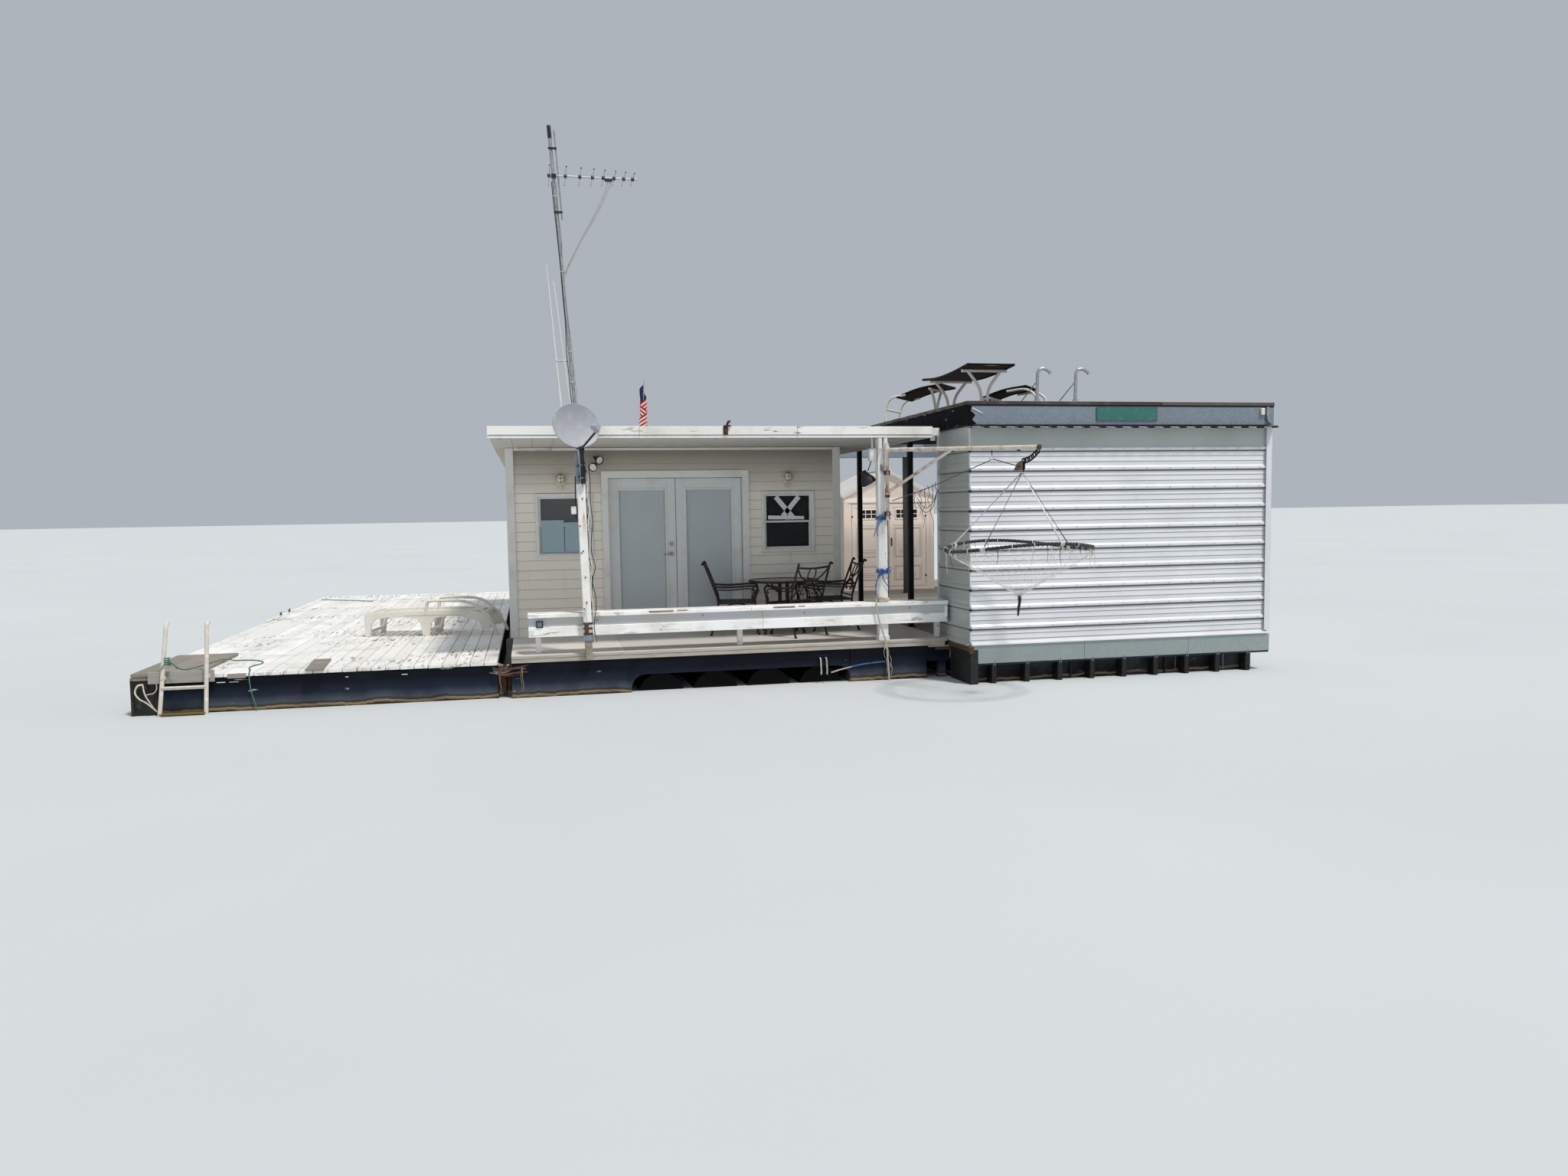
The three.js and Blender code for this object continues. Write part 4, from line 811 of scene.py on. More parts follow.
def dress_cabin_float():
    """Bay corners, a line cleat, a loose hose line and the broken end of the trim board."""
    bm = blank()
    for x, side in ((1.07, 1), (3.65, -1)):
        arc = [(x + side * 0.16 * (1 - math.sin(a)), 0.04 + 0.16 * math.cos(a))
               for a in (TURN / 4 * i / 8 for i in range(9))]
        plate(bm, [(x, 0.201), *arc][::side], 0.012, edge=0.002, turn=placed((0, 0.022, 0)))
    for x in (-0.2, 1.05, 3.66, 4.58):
        slab(bm, near(x, 0.012), (0.014, 0.021), (-0.2, 0.385), edge=0.003)
    for x in (3.28, 3.35):
        tube(bm, rounded([(x, 0.03, 0.3), (x, -0.012, 0.29), (x + 0.006, -0.02, 0.1),
                          (x + 0.012, 0.03, 0.12)], 0.03), 0.009, 1)
    slab(bm, (3.25, 3.39), (0.022, 0.031), (0.27, 0.33), edge=0.003)
    piece("float_bay_fittings", bm, ["navy", "twine"])

    bm = blank()
    tube(bm, [(3.41, 0.008, 0.12), (3.52, 0.006, 0.15), (3.66, 0.004, 0.18)], 0.011, 0, 0.9, 10, 5, lobes=3,
         lobe=0.1, twist=70)
    tube(bm, [(3.66, 0.004, 0.18), (3.8, 0.004, 0.203), (3.95, 0.004, 0.216), (4.07, 0.006, 0.222)], 0.012, 1,
         0.9, 10, 5, lobes=3, lobe=0.1, twist=70)
    piece("blue_tie_line", bm, ["pale_rope", "blue_rope"], sharp=80)

    bm = blank()
    slab(bm, (4.71, 4.89), (-0.002, 0.03), (0.335, 0.372), 0, 0.2, 0.004)
    slab(bm, (4.62, 4.885), (0.002, 0.02), (0.372, 0.388), 1, 0.9, 0.003)
    piece("broken_trim_end", bm, ["rust", "tan_board"])


def dress_couplings():
    """Frayed ends and rusty chain in the gap between the floats."""
    bm = blank()
    for i in range(9):
        y = chance.uniform(0.1, 0.34)
        drop = chance.uniform(0.02, 0.09)
        tube(bm, [(-0.41, y, 0.366), (-0.36, y + 0.02, 0.375 - drop), (-0.31, y - 0.02, 0.37 - drop),
                  (-0.262, y + 0.01, 0.385)], 0.007, 0, chance.random(), 6, 4)
    for x in (-0.375, -0.28):
        for i in range(7):
            z = 0.33 - 0.042 * i
            turn = placed((x, 0.105, z), Z=TURN / 4 * (i % 2), X=TURN / 4) @ Matrix.Diagonal((0.6, 1, 1, 1))
            hoop(bm, (0, 0, 0), 0.024, 0.006, 1, steps=12, sides=6, turn=turn)
    for foot in (-0.372, -0.148, -0.135):
        drop = [(foot + chance.uniform(-0.012, 0.012), 0.018 + chance.uniform(-0.006, 0.006),
                 0.345 - 0.055 * k) for k in range(6)]
        tube(bm, drop, 0.007, 3, chance.random(), 6, 5, 0.004, twist=60, lobes=3, lobe=0.12)
    for i in range(7):
        z = 0.35 - 0.012 * i
        tube(bm, [(-0.42 + chance.uniform(-0.04, 0.02), 0.03, z), (-0.33, 0.012, z - 0.02),
                  (-0.22, 0.014, z + chance.uniform(-0.02, 0.02)),
                  (-0.1 + chance.uniform(-0.03, 0.05), 0.018, z + chance.uniform(0, 0.03))], 0.006,
             3 if i % 2 else 1, chance.random(), 6, 5, 0.003)
    slab(bm, (-0.298, -0.2505), (0.004, 0.09), (0.385, 0.66), 2, edge=0.01, segments=2)
    piece("coupling_chain_and_fender", bm, ["pale_rope", "rust", "black", "rusty_rope"])


def dress_porch_deck():
    """Painted plywood sheets, with a nosing and a lower trim board along the front."""
    low, high = box("porch_deck")
    bm = blank()
    columns, rows = 4, 9
    wide, deep = (high.x - 0.02 - low.x) / columns, (high.y - 0.0205) / rows
    for i in range(columns):
        for j in range(rows):
            slab(bm, (low.x + i * wide, low.x + (i + 1) * wide - 0.002),
                 (0.0205 + j * deep, 0.0205 + (j + 1) * deep - 0.002),
                 (low.z, high.z - chance.uniform(0, 0.0015)), 0, chance.random(), 0.0015)
    slab(bm, (low.x, high.x), (0, 0.0205), (0.436, high.z), 1, 0.9, 0.004)
    slab(bm, (low.x, high.x - 0.03), (0.005, 0.0205), (low.z, 0.435), 1, 0.8, 0.003)
    slab(bm, (high.x - 0.02, high.x), (0.02, 2.0), (0.436, high.z), 0, 0.8, 0.003)
    piece("painted_porch_floor", bm, ["porch_paint", "tan_board"], replaces=["porch_deck"])


# Cabin

def dress_cabin_corners():
    """White corner posts over the ends of the siding, and a strip under the eaves."""
    bm = blank()
    low, high = Vector((-0.27, 1.9, 0.4705)), Vector((4.05, 8.0, 2.8685))
    for x, out in ((low.x, -1), (high.x, 1)):
        for y, back in ((low.y, -1), (high.y, 1)):
            slab(bm, (x + out * 0.016, x - out * 0.085), (y + back * 0.016, y - back * 0.001),
                 (low.z, high.z), edge=0.003)
            slab(bm, (x + out * 0.016, x - out * 0.001), (y - back * 0.001, y - back * 0.085),
                 (low.z, high.z), edge=0.003)
    slab(bm, (low.x + 0.09, high.x - 0.09), (1.888, 1.901), (2.835, high.z), edge=0.003)
    slab(bm, (low.x + 0.09, high.x - 0.09), (7.999, 8.012), (2.835, high.z), edge=0.003)
    piece("cabin_corner_posts", bm, ["trim"])


# Plain sheets against the lower pane: spans across it and up it
PAPERS = [((-0.29, -0.006), (0.03, 0.44)), ((0.002, 0.285), (0.03, 0.41))]


def dress_window(name, node, at, dressing):
    """A double-hung vinyl window. x runs across it, y inward from the siding, and z up from its sill."""
    w, h = 0.33, 0.75
    bm = blank()
    frame_ring(bm, (-w - 0.028, w + 0.028), (-0.028, h + 0.028), (-0.016, -0.001), 0.034, edge=0.004)
    frame_ring(bm, (-w, w), (0, h), (-0.008, 0.1), 0.016)
    frame_ring(bm, (-w + 0.016, w - 0.016), (h / 2 - 0.014, h - 0.016), (0.012, 0.034), 0.022)
    frame_ring(bm, (-w + 0.016, w - 0.016), (0.016, h / 2 + 0.014), (0.038, 0.06), 0.024)
    slab(bm, (-w - 0.03, w + 0.03), (-0.03, 0.0), (-0.03, -0.006), edge=0.005)
    slab(bm, (-0.03, 0.03), (0.03, 0.06), (h / 2 + 0.014, h / 2 + 0.026), edge=0.003)
    piece(name, bm, ["frame"], replaces=[node], turn=at)

    bm = blank()
    slab(bm, (-w + 0.034, w - 0.034), (0.021, 0.025), (h / 2 + 0.004, h - 0.034))
    slab(bm, (-w + 0.034, w - 0.034), (0.047, 0.051), (0.036, h / 2 - 0.006))
    piece(name + "_glass", bm, ["dim_glass" if dressing == "tape" else "glass"], turn=at)

    bm = blank()
    if dressing == "papers":
        slab(bm, (-w + 0.032, w - 0.032), (0.084, 0.088), (0.03, h - 0.03), 1)
        for x, z in PAPERS:
            slab(bm, x, (0.0095, 0.011), z, edge=0.0003)
    elif dressing == "tape":
        slab(bm, (-w + 0.032, w - 0.032), (0.084, 0.088), (0.03, h - 0.03), 2)
        for foot, head in (((0.081, 0.41), (-0.164, 0.7)), ((-0.07, 0.44), (0.151, 0.7))):
            start, end = Vector((foot[0], 0, foot[1])), Vector((head[0], 0, head[1]))
            along = end - start
            lean = placed(Y=math.atan2(along.x, along.z))
            slab(bm, (-0.032, 0.032), (0.0185, 0.0205), (0, along.length), turn=placed(start) @ lean)
        plate(bm, [(-0.27, 0.405), (0.22, 0.398), (0.22, 0.44), (-0.27, 0.455)], 0.002,
              turn=placed((0, 0.0165, 0)))
    else:
        slab(bm, (-w + 0.032, w - 0.032), (0.084, 0.088), (0.03, h - 0.03), 2)
        for i in range(16):
            z = h - 0.05 - 0.022 * i
            slab(bm, (-w + 0.035, w - 0.035), (0.07, 0.0725), (z - 0.021, z))
    backs = {"papers": ["paper", "curtain"], "tape": ["tape", "curtain", "dark_room"],
             "blind": ["blind", "curtain", "dark_room"]}[dressing]
    piece(name + "_dressing", bm, backs, turn=at)


def dress_windows():
    """Five windows on one sill height: name, CAD node, place, and what hangs behind the glass."""
    sill = 1.515
    rows = [
        ("left_front_window", "front_window_left", 0.425, 1.9, 0, "papers"),
        ("right_front_window", "front_window_right", 3.35, 1.9, 0, "tape"),
        ("left_side_window", "left_window", -0.27, 5.0, -TURN / 4, "blind"),
        ("right_side_window", "right_window", 4.05, 5.0, TURN / 4, "blind"),
        ("rear_window", "back_window", 1.89, 8.0, TURN / 2, "blind"),
    ]
    for name, node, x, y, angle, dressing in rows:
        dress_window(name, node, placed((x, y, sill), Z=angle), dressing)


def dress_door_leaf(side, edge, sign):
    """A steel-faced leaf with one tall light, a closed blind behind the glass, and its hinges. sign is the
    way it reaches from its hinged edge."""
    wide, high, stile, thick = 0.866, 1.975, 0.112, 0.045
    foot, head = 0.235, 1.845
    bm = blank()

    def across(start, end):
        return (sign * start, sign * end)

    slab(bm, across(0, stile), (-thick, 0), (0, high), edge=0.003)
    slab(bm, across(wide - stile, wide), (-thick, 0), (0, high), edge=0.003)
    slab(bm, across(stile, wide - stile), (-thick, 0), (0, foot), edge=0.0015)
    slab(bm, across(stile, wide - stile), (-thick, 0), (head, high), edge=0.0015)
    inner = sorted(across(stile - 0.006, wide - stile + 0.006))
    for y in ((-thick - 0.006, -0.031), (-0.012, 0.005)):
        frame_ring(bm, inner, (foot - 0.006, head + 0.006), y, 0.03, edge=0.005)
    count = 62
    drop = (head - foot - 0.05) / count
    for i in range(count):
        z = foot + 0.025 + drop * i
        slab(bm, (inner[0] + 0.026, inner[1] - 0.026), (-0.0195, -0.0175), (z, z + drop * 1.08), 1)
    for z in (0.16, 0.96, 1.76):
        start = z + 0.0403
        pole(bm, (-sign * 0.0025, 0.007, start), (-sign * 0.0025, 0.007, start + 0.04), 0.0066, 2)
        slab(bm, across(-0.0025, 0.0235), (-0.002, 0.0042), (start, start + 0.04), 2, edge=0.001)
    if sign > 0:
        x = wide - 0.062
        for out, y in ((-1, -thick), (1, 0.0)):
            pole(bm, (x, y, 0.99), (x, y + out * 0.012, 0.99), 0.032, 2, sides=24)
            pole(bm, (x, y, 0.99), (x, y + out * 0.05, 0.99), 0.011, 2, sides=16)
            tube(bm, rounded([(x, y + out * 0.046, 0.99), (x - 0.05, y + out * 0.05, 0.99),
                              (x - 0.11, y + out * 0.042, 0.984)], 0.02), 0.009, 2, sides=12, tip=0.007)
            pole(bm, (x, y, 1.12), (x, y + out * 0.016, 1.12), 0.029, 2, sides=24)
            slab(bm, near(x, 0.006), (y + out * 0.014, y + out * 0.026), (1.106, 1.134), 2, edge=0.002)
    else:
        slab(bm, across(wide - 0.001, wide + 0.003), (-0.03, -0.015), (0.02, high - 0.02))
    at = placed((edge, 2.01, 0.5))
    name, body = side + "_french_door", side + "_door"
    piece(name, bm, ["door", "blind", "steel"], body, ["door_leaf_" + side], turn=at)
    bm = blank()
    slab(bm, (inner[0] + 0.02, inner[1] - 0.02), (-0.03, -0.026), (foot + 0.012, head - 0.012))
    piece(name + "_glass", bm, ["glass"], body, turn=at)


# Porch

def dress_bench():
    """A long seat of two boards that overhangs a set-back apron, with a second apron board proud of it."""
    bm = blank()
    x0, x1 = -0.06, 4.87
    front, rear = (-0.015, 0.148), (0.154, 0.26)
    for x, y, tone in (((x0, 2.46), front, 0.9), ((x0, 2.46), rear, 0.7), ((2.463, 4.0215), front, 0.9),
                       ((4.1325, x1), front, 0.9), ((2.463, x1), rear, 0.7)):
        slab(bm, x, y, (0.885, 0.93), 0, tone, 0.005)
    slab(bm, (4.0215, 4.1325), (-0.015, 0.0395), (0.885, 0.93), 0, 0.9, 0.004)
    for start, end, tone in ((x0 + 0.004, 2.6, 0.8), (2.603, x1 - 0.004, 0.95)):
        # the set-back upper band takes the darkened paint: painted shade under the overhang
        slab(bm, (start, end), (0.03, 0.04), (0.775, 0.885), 1, tone, 0.003)
        slab(bm, (start, end), (0.008, 0.032), (0.67, 0.783), 0, tone, 0.004)
    slab(bm, (x1 - 0.03, x1 - 0.004), (0.0, 0.24), (0.67, 0.884), 0, 0.9, 0.004)
    for x in (0.02, 2.33, 4.77):
        slab(bm, (x, x + 0.06), (0.18, 0.24), (PORCH_TOP, 0.885), 0, 0.5, 0.004)
        slab(bm, (x + 0.01, x + 0.05), (0.04, 0.24), (0.82, 0.885), 0, 0.4, 0.003)
    for start, end, drop in ((1.28, 1.56, 0.012), (1.6, 1.72, 0.006), (2.72, 2.98, 0.014),
                             (3.02, 3.1, 0.006)):
        slab(bm, (start, end), (-0.0165, -0.0145), (0.92 - drop, 0.926), 2, 0.3, 0.0008)
    piece("painted_porch_bench", bm, ["rail_paint", "shaded_paint", "bare_post"], replaces=["porch_bench"])

    bm = blank()
    frame_ring(bm, (0.03, 0.105), (0.775, 0.85), (0.002, 0.03), 0.011)
    slab(bm, (0.039, 0.096), (0.01, 0.028), (0.784, 0.841), 1)
    slab(bm, (-0.052, 0.004), (0.0045, 0.008), (0.695, 0.75), 2, edge=0.001)
    for x, z in ((0.7, 0.84), (1.9, 0.85), (3.1, 0.84), (4.4, 0.85)):
        pole(bm, (x, 0.03, z), (x, 0.0265, z), 0.008, 3, sides=8)
    piece("bench_lamp_and_plate", bm, ["dark_steel", "glass", "white_fitting", "rust"])


# The right post's span in x and y
POST_X, POST_Y = (4.022, 4.132), (0.0403, 0.15)


def tie(bm, low, high, turns, thick, tone, ends):
    """Cord wound tight round the right post between two heights, with two loose ends."""
    gap = thick * 1.05
    left, right = POST_X[0] - gap, POST_X[1] + gap
    front, back = POST_Y[0] - gap, POST_Y[1] + gap
    corners = [(left, front), (right, front), (right, back), (left, back)]
    count = 4 * turns
    points = [(*corners[i % 4], low + (high - low) * i / count) for i in range(count + 1)]
    first = Vector(points[0]) + Vector(ends[0])
    last = Vector(points[-1]) + Vector(ends[1])
    tube(bm, rounded([first, *points, last], 0.02, 3), thick, 0, tone, 6)


# The left post leans: sideways metres for each metre up
LEAN = Matrix(((1, 0, -0.022, -0.021), (0, 1, 0, 0), (0, 0, 1, 0), (0, 0, 0, 1)))


def dress_posts():
    """The left post stands proud of the bench on a rotten foot; the right post carries the davit."""
    bm = blank()
    slab(bm, (0.585, 0.675), (-0.09, -0.0003), (0.62, 2.39), 0, 0.9, 0.005)
    slab(bm, (0.6, 0.675), (-0.085, -0.0003), (2.39, 2.6), 1, 0.2, 0.005)
    slab(bm, (0.59, 0.67), (-0.082, -0.0003), (0.4, 0.62), 1, 0.3, 0.008)
    slab(bm, (0.575, 0.685), (-0.09, -0.0003), (2.6, 2.64), 2, edge=0.004)
    piece("left_porch_post", bm, ["post_paint", "bare_post", "zinc"], replaces=["porch_post_left"],
          turn=LEAN)

    bm = blank()
    for z in (0.7, 0.76, 0.815):
        slab(bm, (0.578, 0.682), (-0.098, -0.0915), near(z, 0.012), edge=0.003)
        for x in (0.584, 0.676):
            pole(bm, (x, -0.112, z), (x, -0.0915, z), 0.008, sides=6)
    slab(bm, (0.592, 0.64), (-0.108, -0.0985), (0.695, 0.82), edge=0.004)
    slab(bm, (0.58, 0.68), (-0.096, -0.0905), (0.622, 0.685), 1, edge=0.003)
    for x, z in ((0.63, 1.05), (0.63, 1.33), (0.62, 1.62), (0.64, 2.2)):
        pole(bm, (x, -0.0985, z), (x, -0.09, z), 0.009, sides=8)
    slab(bm, (0.578, 0.618), (-0.1, -0.0905), (2.36, 2.7), 1, edge=0.004)
    slab(bm, (0.622, 0.688), (-0.1, -0.0905), (2.38, 2.6), 2, edge=0.004)
    pole(bm, (0.655, -0.125, 2.36), (0.655, -0.125, 2.76), 0.024, 2, sides=20)
    for z in (2.42, 2.56):
        slab(bm, (0.615, 0.695), (-0.155, -0.1), (z, z + 0.016), 1, edge=0.003)
    for z in (0.98, 1.6, 1.9):
        pole(bm, (0.6, -0.096, z), (0.6, -0.088, z), 0.008, sides=8)
    piece("post_clamp_and_sleeve", bm, ["rust", "zinc", "dark_steel"], turn=LEAN)

    bm = blank()
    for i, (sway, tone) in enumerate(((0.0, 0), (0.012, 1), (0.024, 2), (0.034, 0))):
        points = []
        for j in range(13):
            z = 2.56 - 0.16 * j
            points.append((0.684 + sway + chance.uniform(-0.02, 0.026), -0.05 - 0.012 * i, z))
        points[-1] = (0.682 + sway, -0.05, 0.6)
        tube(bm, points, 0.0045, tone, 0.5, 6, 4)
    for z in (2.35, 1.85, 1.35, 0.95):
        slab(bm, (0.6755, 0.732), (-0.082, -0.03), (z, z + 0.012), 1, edge=0.002)
    tube(bm, rounded([(0.575, -0.05, 2.45), (0.56, -0.05, 2.1), (0.565, -0.05, 1.98)], 0.05), 0.006)
    slab(bm, (0.5, 0.583), (-0.07, -0.02), (2.02, 2.13), 3, edge=0.006)
    frame_ring(bm, (0.498, 0.5825), (2.018, 2.132), (-0.078, -0.07), 0.012)
    piece("post_cables_and_box", bm, ["black", "twine", "white_fitting", "trim"],
          turn=LEAN)

    bm = blank()
    slab(bm, POST_X, POST_Y, (PORCH_TOP, 2.8697), 0, 0.9, 0.005)
    slab(bm, (4.012, 4.142), (0.03, 0.16), (PORCH_TOP, 0.53), 0, 0.6, 0.004)
    piece("right_porch_post", bm, ["post_paint"], replaces=["porch_post_right"])

    bm = blank()
    for x in (4.035, 4.105):
        pole(bm, (x, 0.012, 2.74), (x, 0.012, 2.866), 0.026, sides=16)
        pole(bm, (x, 0.012, 2.748), (x, 0.012, 2.76), 0.029, sides=16)
    slab(bm, (3.925, 4.018), (0.06, 0.14), (2.6, 2.75), edge=0.012, segments=2)
    pole(bm, (3.97, 0.1, 2.752), (3.97, 0.1, 2.869), 0.012)
    lathe(bm, [(0, 0.1), (0.03, 0.1), (0.045, 0.05), (0.085, -0.02), (0.09, -0.07), (0.08, -0.07), (0, 0)], 1,
          steps=20, turn=placed((3.93, 0.2, 2.4), Y=-0.5))
    tube(bm, [(3.96, 0.12, 2.6), (3.955, 0.16, 2.55), (3.94, 0.19, 2.49)], 0.006, 1, smooth=4)
    tube(bm, [(4.142, 0.06, z) for z in (2.72, 2.1, 1.5, 0.96)], 0.006, 1)
    for z in (2.5, 2.2, 1.7, 1.5, 1.1):
        slab(bm, (4.1325, 4.15), (0.05, 0.07), (z, z + 0.01), 1, edge=0.002)
    piece("post_top_conduits_and_lamp", bm, ["trim", "black"])

    bm = blank()
    tie(bm, 1.905, 1.945, 4, 0.0055, 0.8, ((-0.05, 0.02, -0.2), (0.02, -0.02, 0.02)))
    tie(bm, 1.27, 1.315, 4, 0.0055, 0.6, ((-0.045, 0.0, -0.15), (-0.03, -0.02, 0.03)))
    for z in (1.93, 1.295):
        for reach, rise, drop in ((-0.09, 0.0, 0.0), (-0.075, 0.03, -0.05), (0.075, 0.035, -0.02),
                                  (0.1, 0.05, 0.03)):
            tube(bm, [(4.085, 0.026, z), (4.085 + reach * 0.5, 0.008, z + rise),
                      (4.085 + reach, 0.012, z + drop)], 0.006, 0, 0.4, 8, 5, 0.0035)
        for reach in (-0.055, 0.05):
            tube(bm, [(4.085, 0.026, z), (4.085 + reach, 0.006, z + 0.03),
                      (4.085 + reach * 1.3, 0.006, z - 0.005), (4.085 + reach * 0.5, 0.012, z - 0.02),
                      (4.085, 0.024, z)], 0.006, 0, 0.7, 8, 5)
        slab(bm, (4.068, 4.104), (0.006, 0.034), near(z, 0.017), 0, 0.5, 0.009, segments=2)
    tube(bm, [(4.06, 0.02, 1.9), (4.02, 0.01, 1.86), (3.995, 0.012, 1.79), (4.0, 0.014, 1.72)], 0.006, 0, 0.3,
         8, 5, 0.004)
    tube(bm, [(4.05, 0.02, 1.27), (3.99, 0.01, 1.2), (3.97, 0.012, 1.08), (3.975, 0.014, 0.99)], 0.006, 0,
         0.3, 8, 5, 0.004)
    tube(bm, [(4.06, 0.026, 1.28), (4.07, 0.02, 1.2), (4.11, 0.02, 1.14), (4.15, 0.02, 1.08)], 0.0055, 0, 0.2,
         8, 4)
    piece("blue_post_ties", bm, ["blue_rope"])

    bm = blank()
    tie(bm, 0.942, 0.985, 3, 0.0095, 0.7, ((0.0, -0.02, 0.004), (0.04, -0.012, 0.0)))
    for x, z in ((4.035, 0.43), (4.06, 0.3), (4.09, 0.2), (4.1, 0.1)):
        tube(bm, [(x + 0.03, -0.028, z + 0.1), (x + 0.05, -0.034, z + 0.04), (x + 0.035, -0.03, z - 0.05)],
             0.0035, 0, 0.9, 6, 4, 0.0015)
        tube(bm, [(x + 0.01, -0.04, z + 0.12), (x - 0.015, -0.044, z + 0.05), (x, -0.04, z - 0.03)], 0.003, 0,
             1.0, 6, 4, 0.0015)
    piece("pale_post_knot", bm, ["pale_rope"])


def dress_lights():
    """Round jar lights with a cast cage, and a pair of floodlights by the mast."""
    for side, x in (("left", 0.39), ("right", 3.34)):
        bm = blank()
        out = placed((x, 1.876, 2.48), X=TURN / 4)
        slab(bm, near(x, 0.055), (1.876, 1.8997), (2.39, 2.54), edge=0.008, segments=2)
        lathe(bm, [(0, 0), (0.056, 0), (0.058, 0.018), (0.05, 0.026), (0, 0.026)], turn=out)
        lathe(bm, [(0, 0.02), (0.044, 0.024), (0.052, 0.05), (0.048, 0.082), (0.028, 0.105), (0, 0.112)], 1,
              turn=out)
        hoop(bm, (0, 0, 0.062), 0.054, 0.004, 2, turn=out)
        for angle in (0, TURN / 4):
            cage = [(0.056 * math.cos(t), 0, 0.03 + 0.09 * math.sin(t))
                    for t in (TURN / 2 * i / 10 for i in range(11))]
            tube(bm, cage, 0.0035, 2, sides=6, turn=out @ placed(Z=angle))
        slab(bm, near(x, 0.02), (1.856, 1.878), (2.335, 2.392), edge=0.004)
        piece(side + "_jar_light", bm, ["cream_fitting", "frosted", "brass"],
              replaces=["porch_light_" + side])

    bm = blank()
    for x, z, aim in ((0.845, 2.73, 0.5), (0.82, 2.64, -0.35)):
        lathe(bm, [(0, 0), (0.04, 0), (0.04, 0.015), (0, 0.015)], 1, turn=placed((x, 1.9, z), X=TURN / 4))
        tube(bm, [(x, 1.885, z), (x, 1.85, z), (x + 0.01 * aim, 1.83, z + 0.005)], 0.012)
        head = placed((x, 1.82, z), Z=aim, X=TURN / 4 + 0.35)
        lathe(bm, [(0, -0.05), (0.022, -0.045), (0.03, 0), (0.052, 0.05), (0.055, 0.085), (0.049, 0.085),
                   (0.046, 0.06), (0, 0.055)], turn=head)
        lathe(bm, [(0, 0.07), (0.046, 0.07), (0.046, 0.074), (0, 0.078)], 2, turn=head)
    piece("porch_floodlights", bm, ["iron", "cream_fitting", "frosted"])

    bm = blank()
    tube(bm, [(-0.3, 0.05, 2.862), (-0.15, 0.5, 2.8), (0.0, 0.95, 2.785), (0.15, 1.4, 2.815),
              (0.28, 1.86, 2.85)], 0.005, 0, 1.0, 6, 8)
    slab(bm, (-0.31, -0.29), (0.03, 0.06), (2.85, 2.8695), edge=0.003)
    slab(bm, (0.27, 0.29), (1.845, 1.885), (2.835, 2.855), edge=0.003)
    piece("soffit_wire", bm, ["twine"])


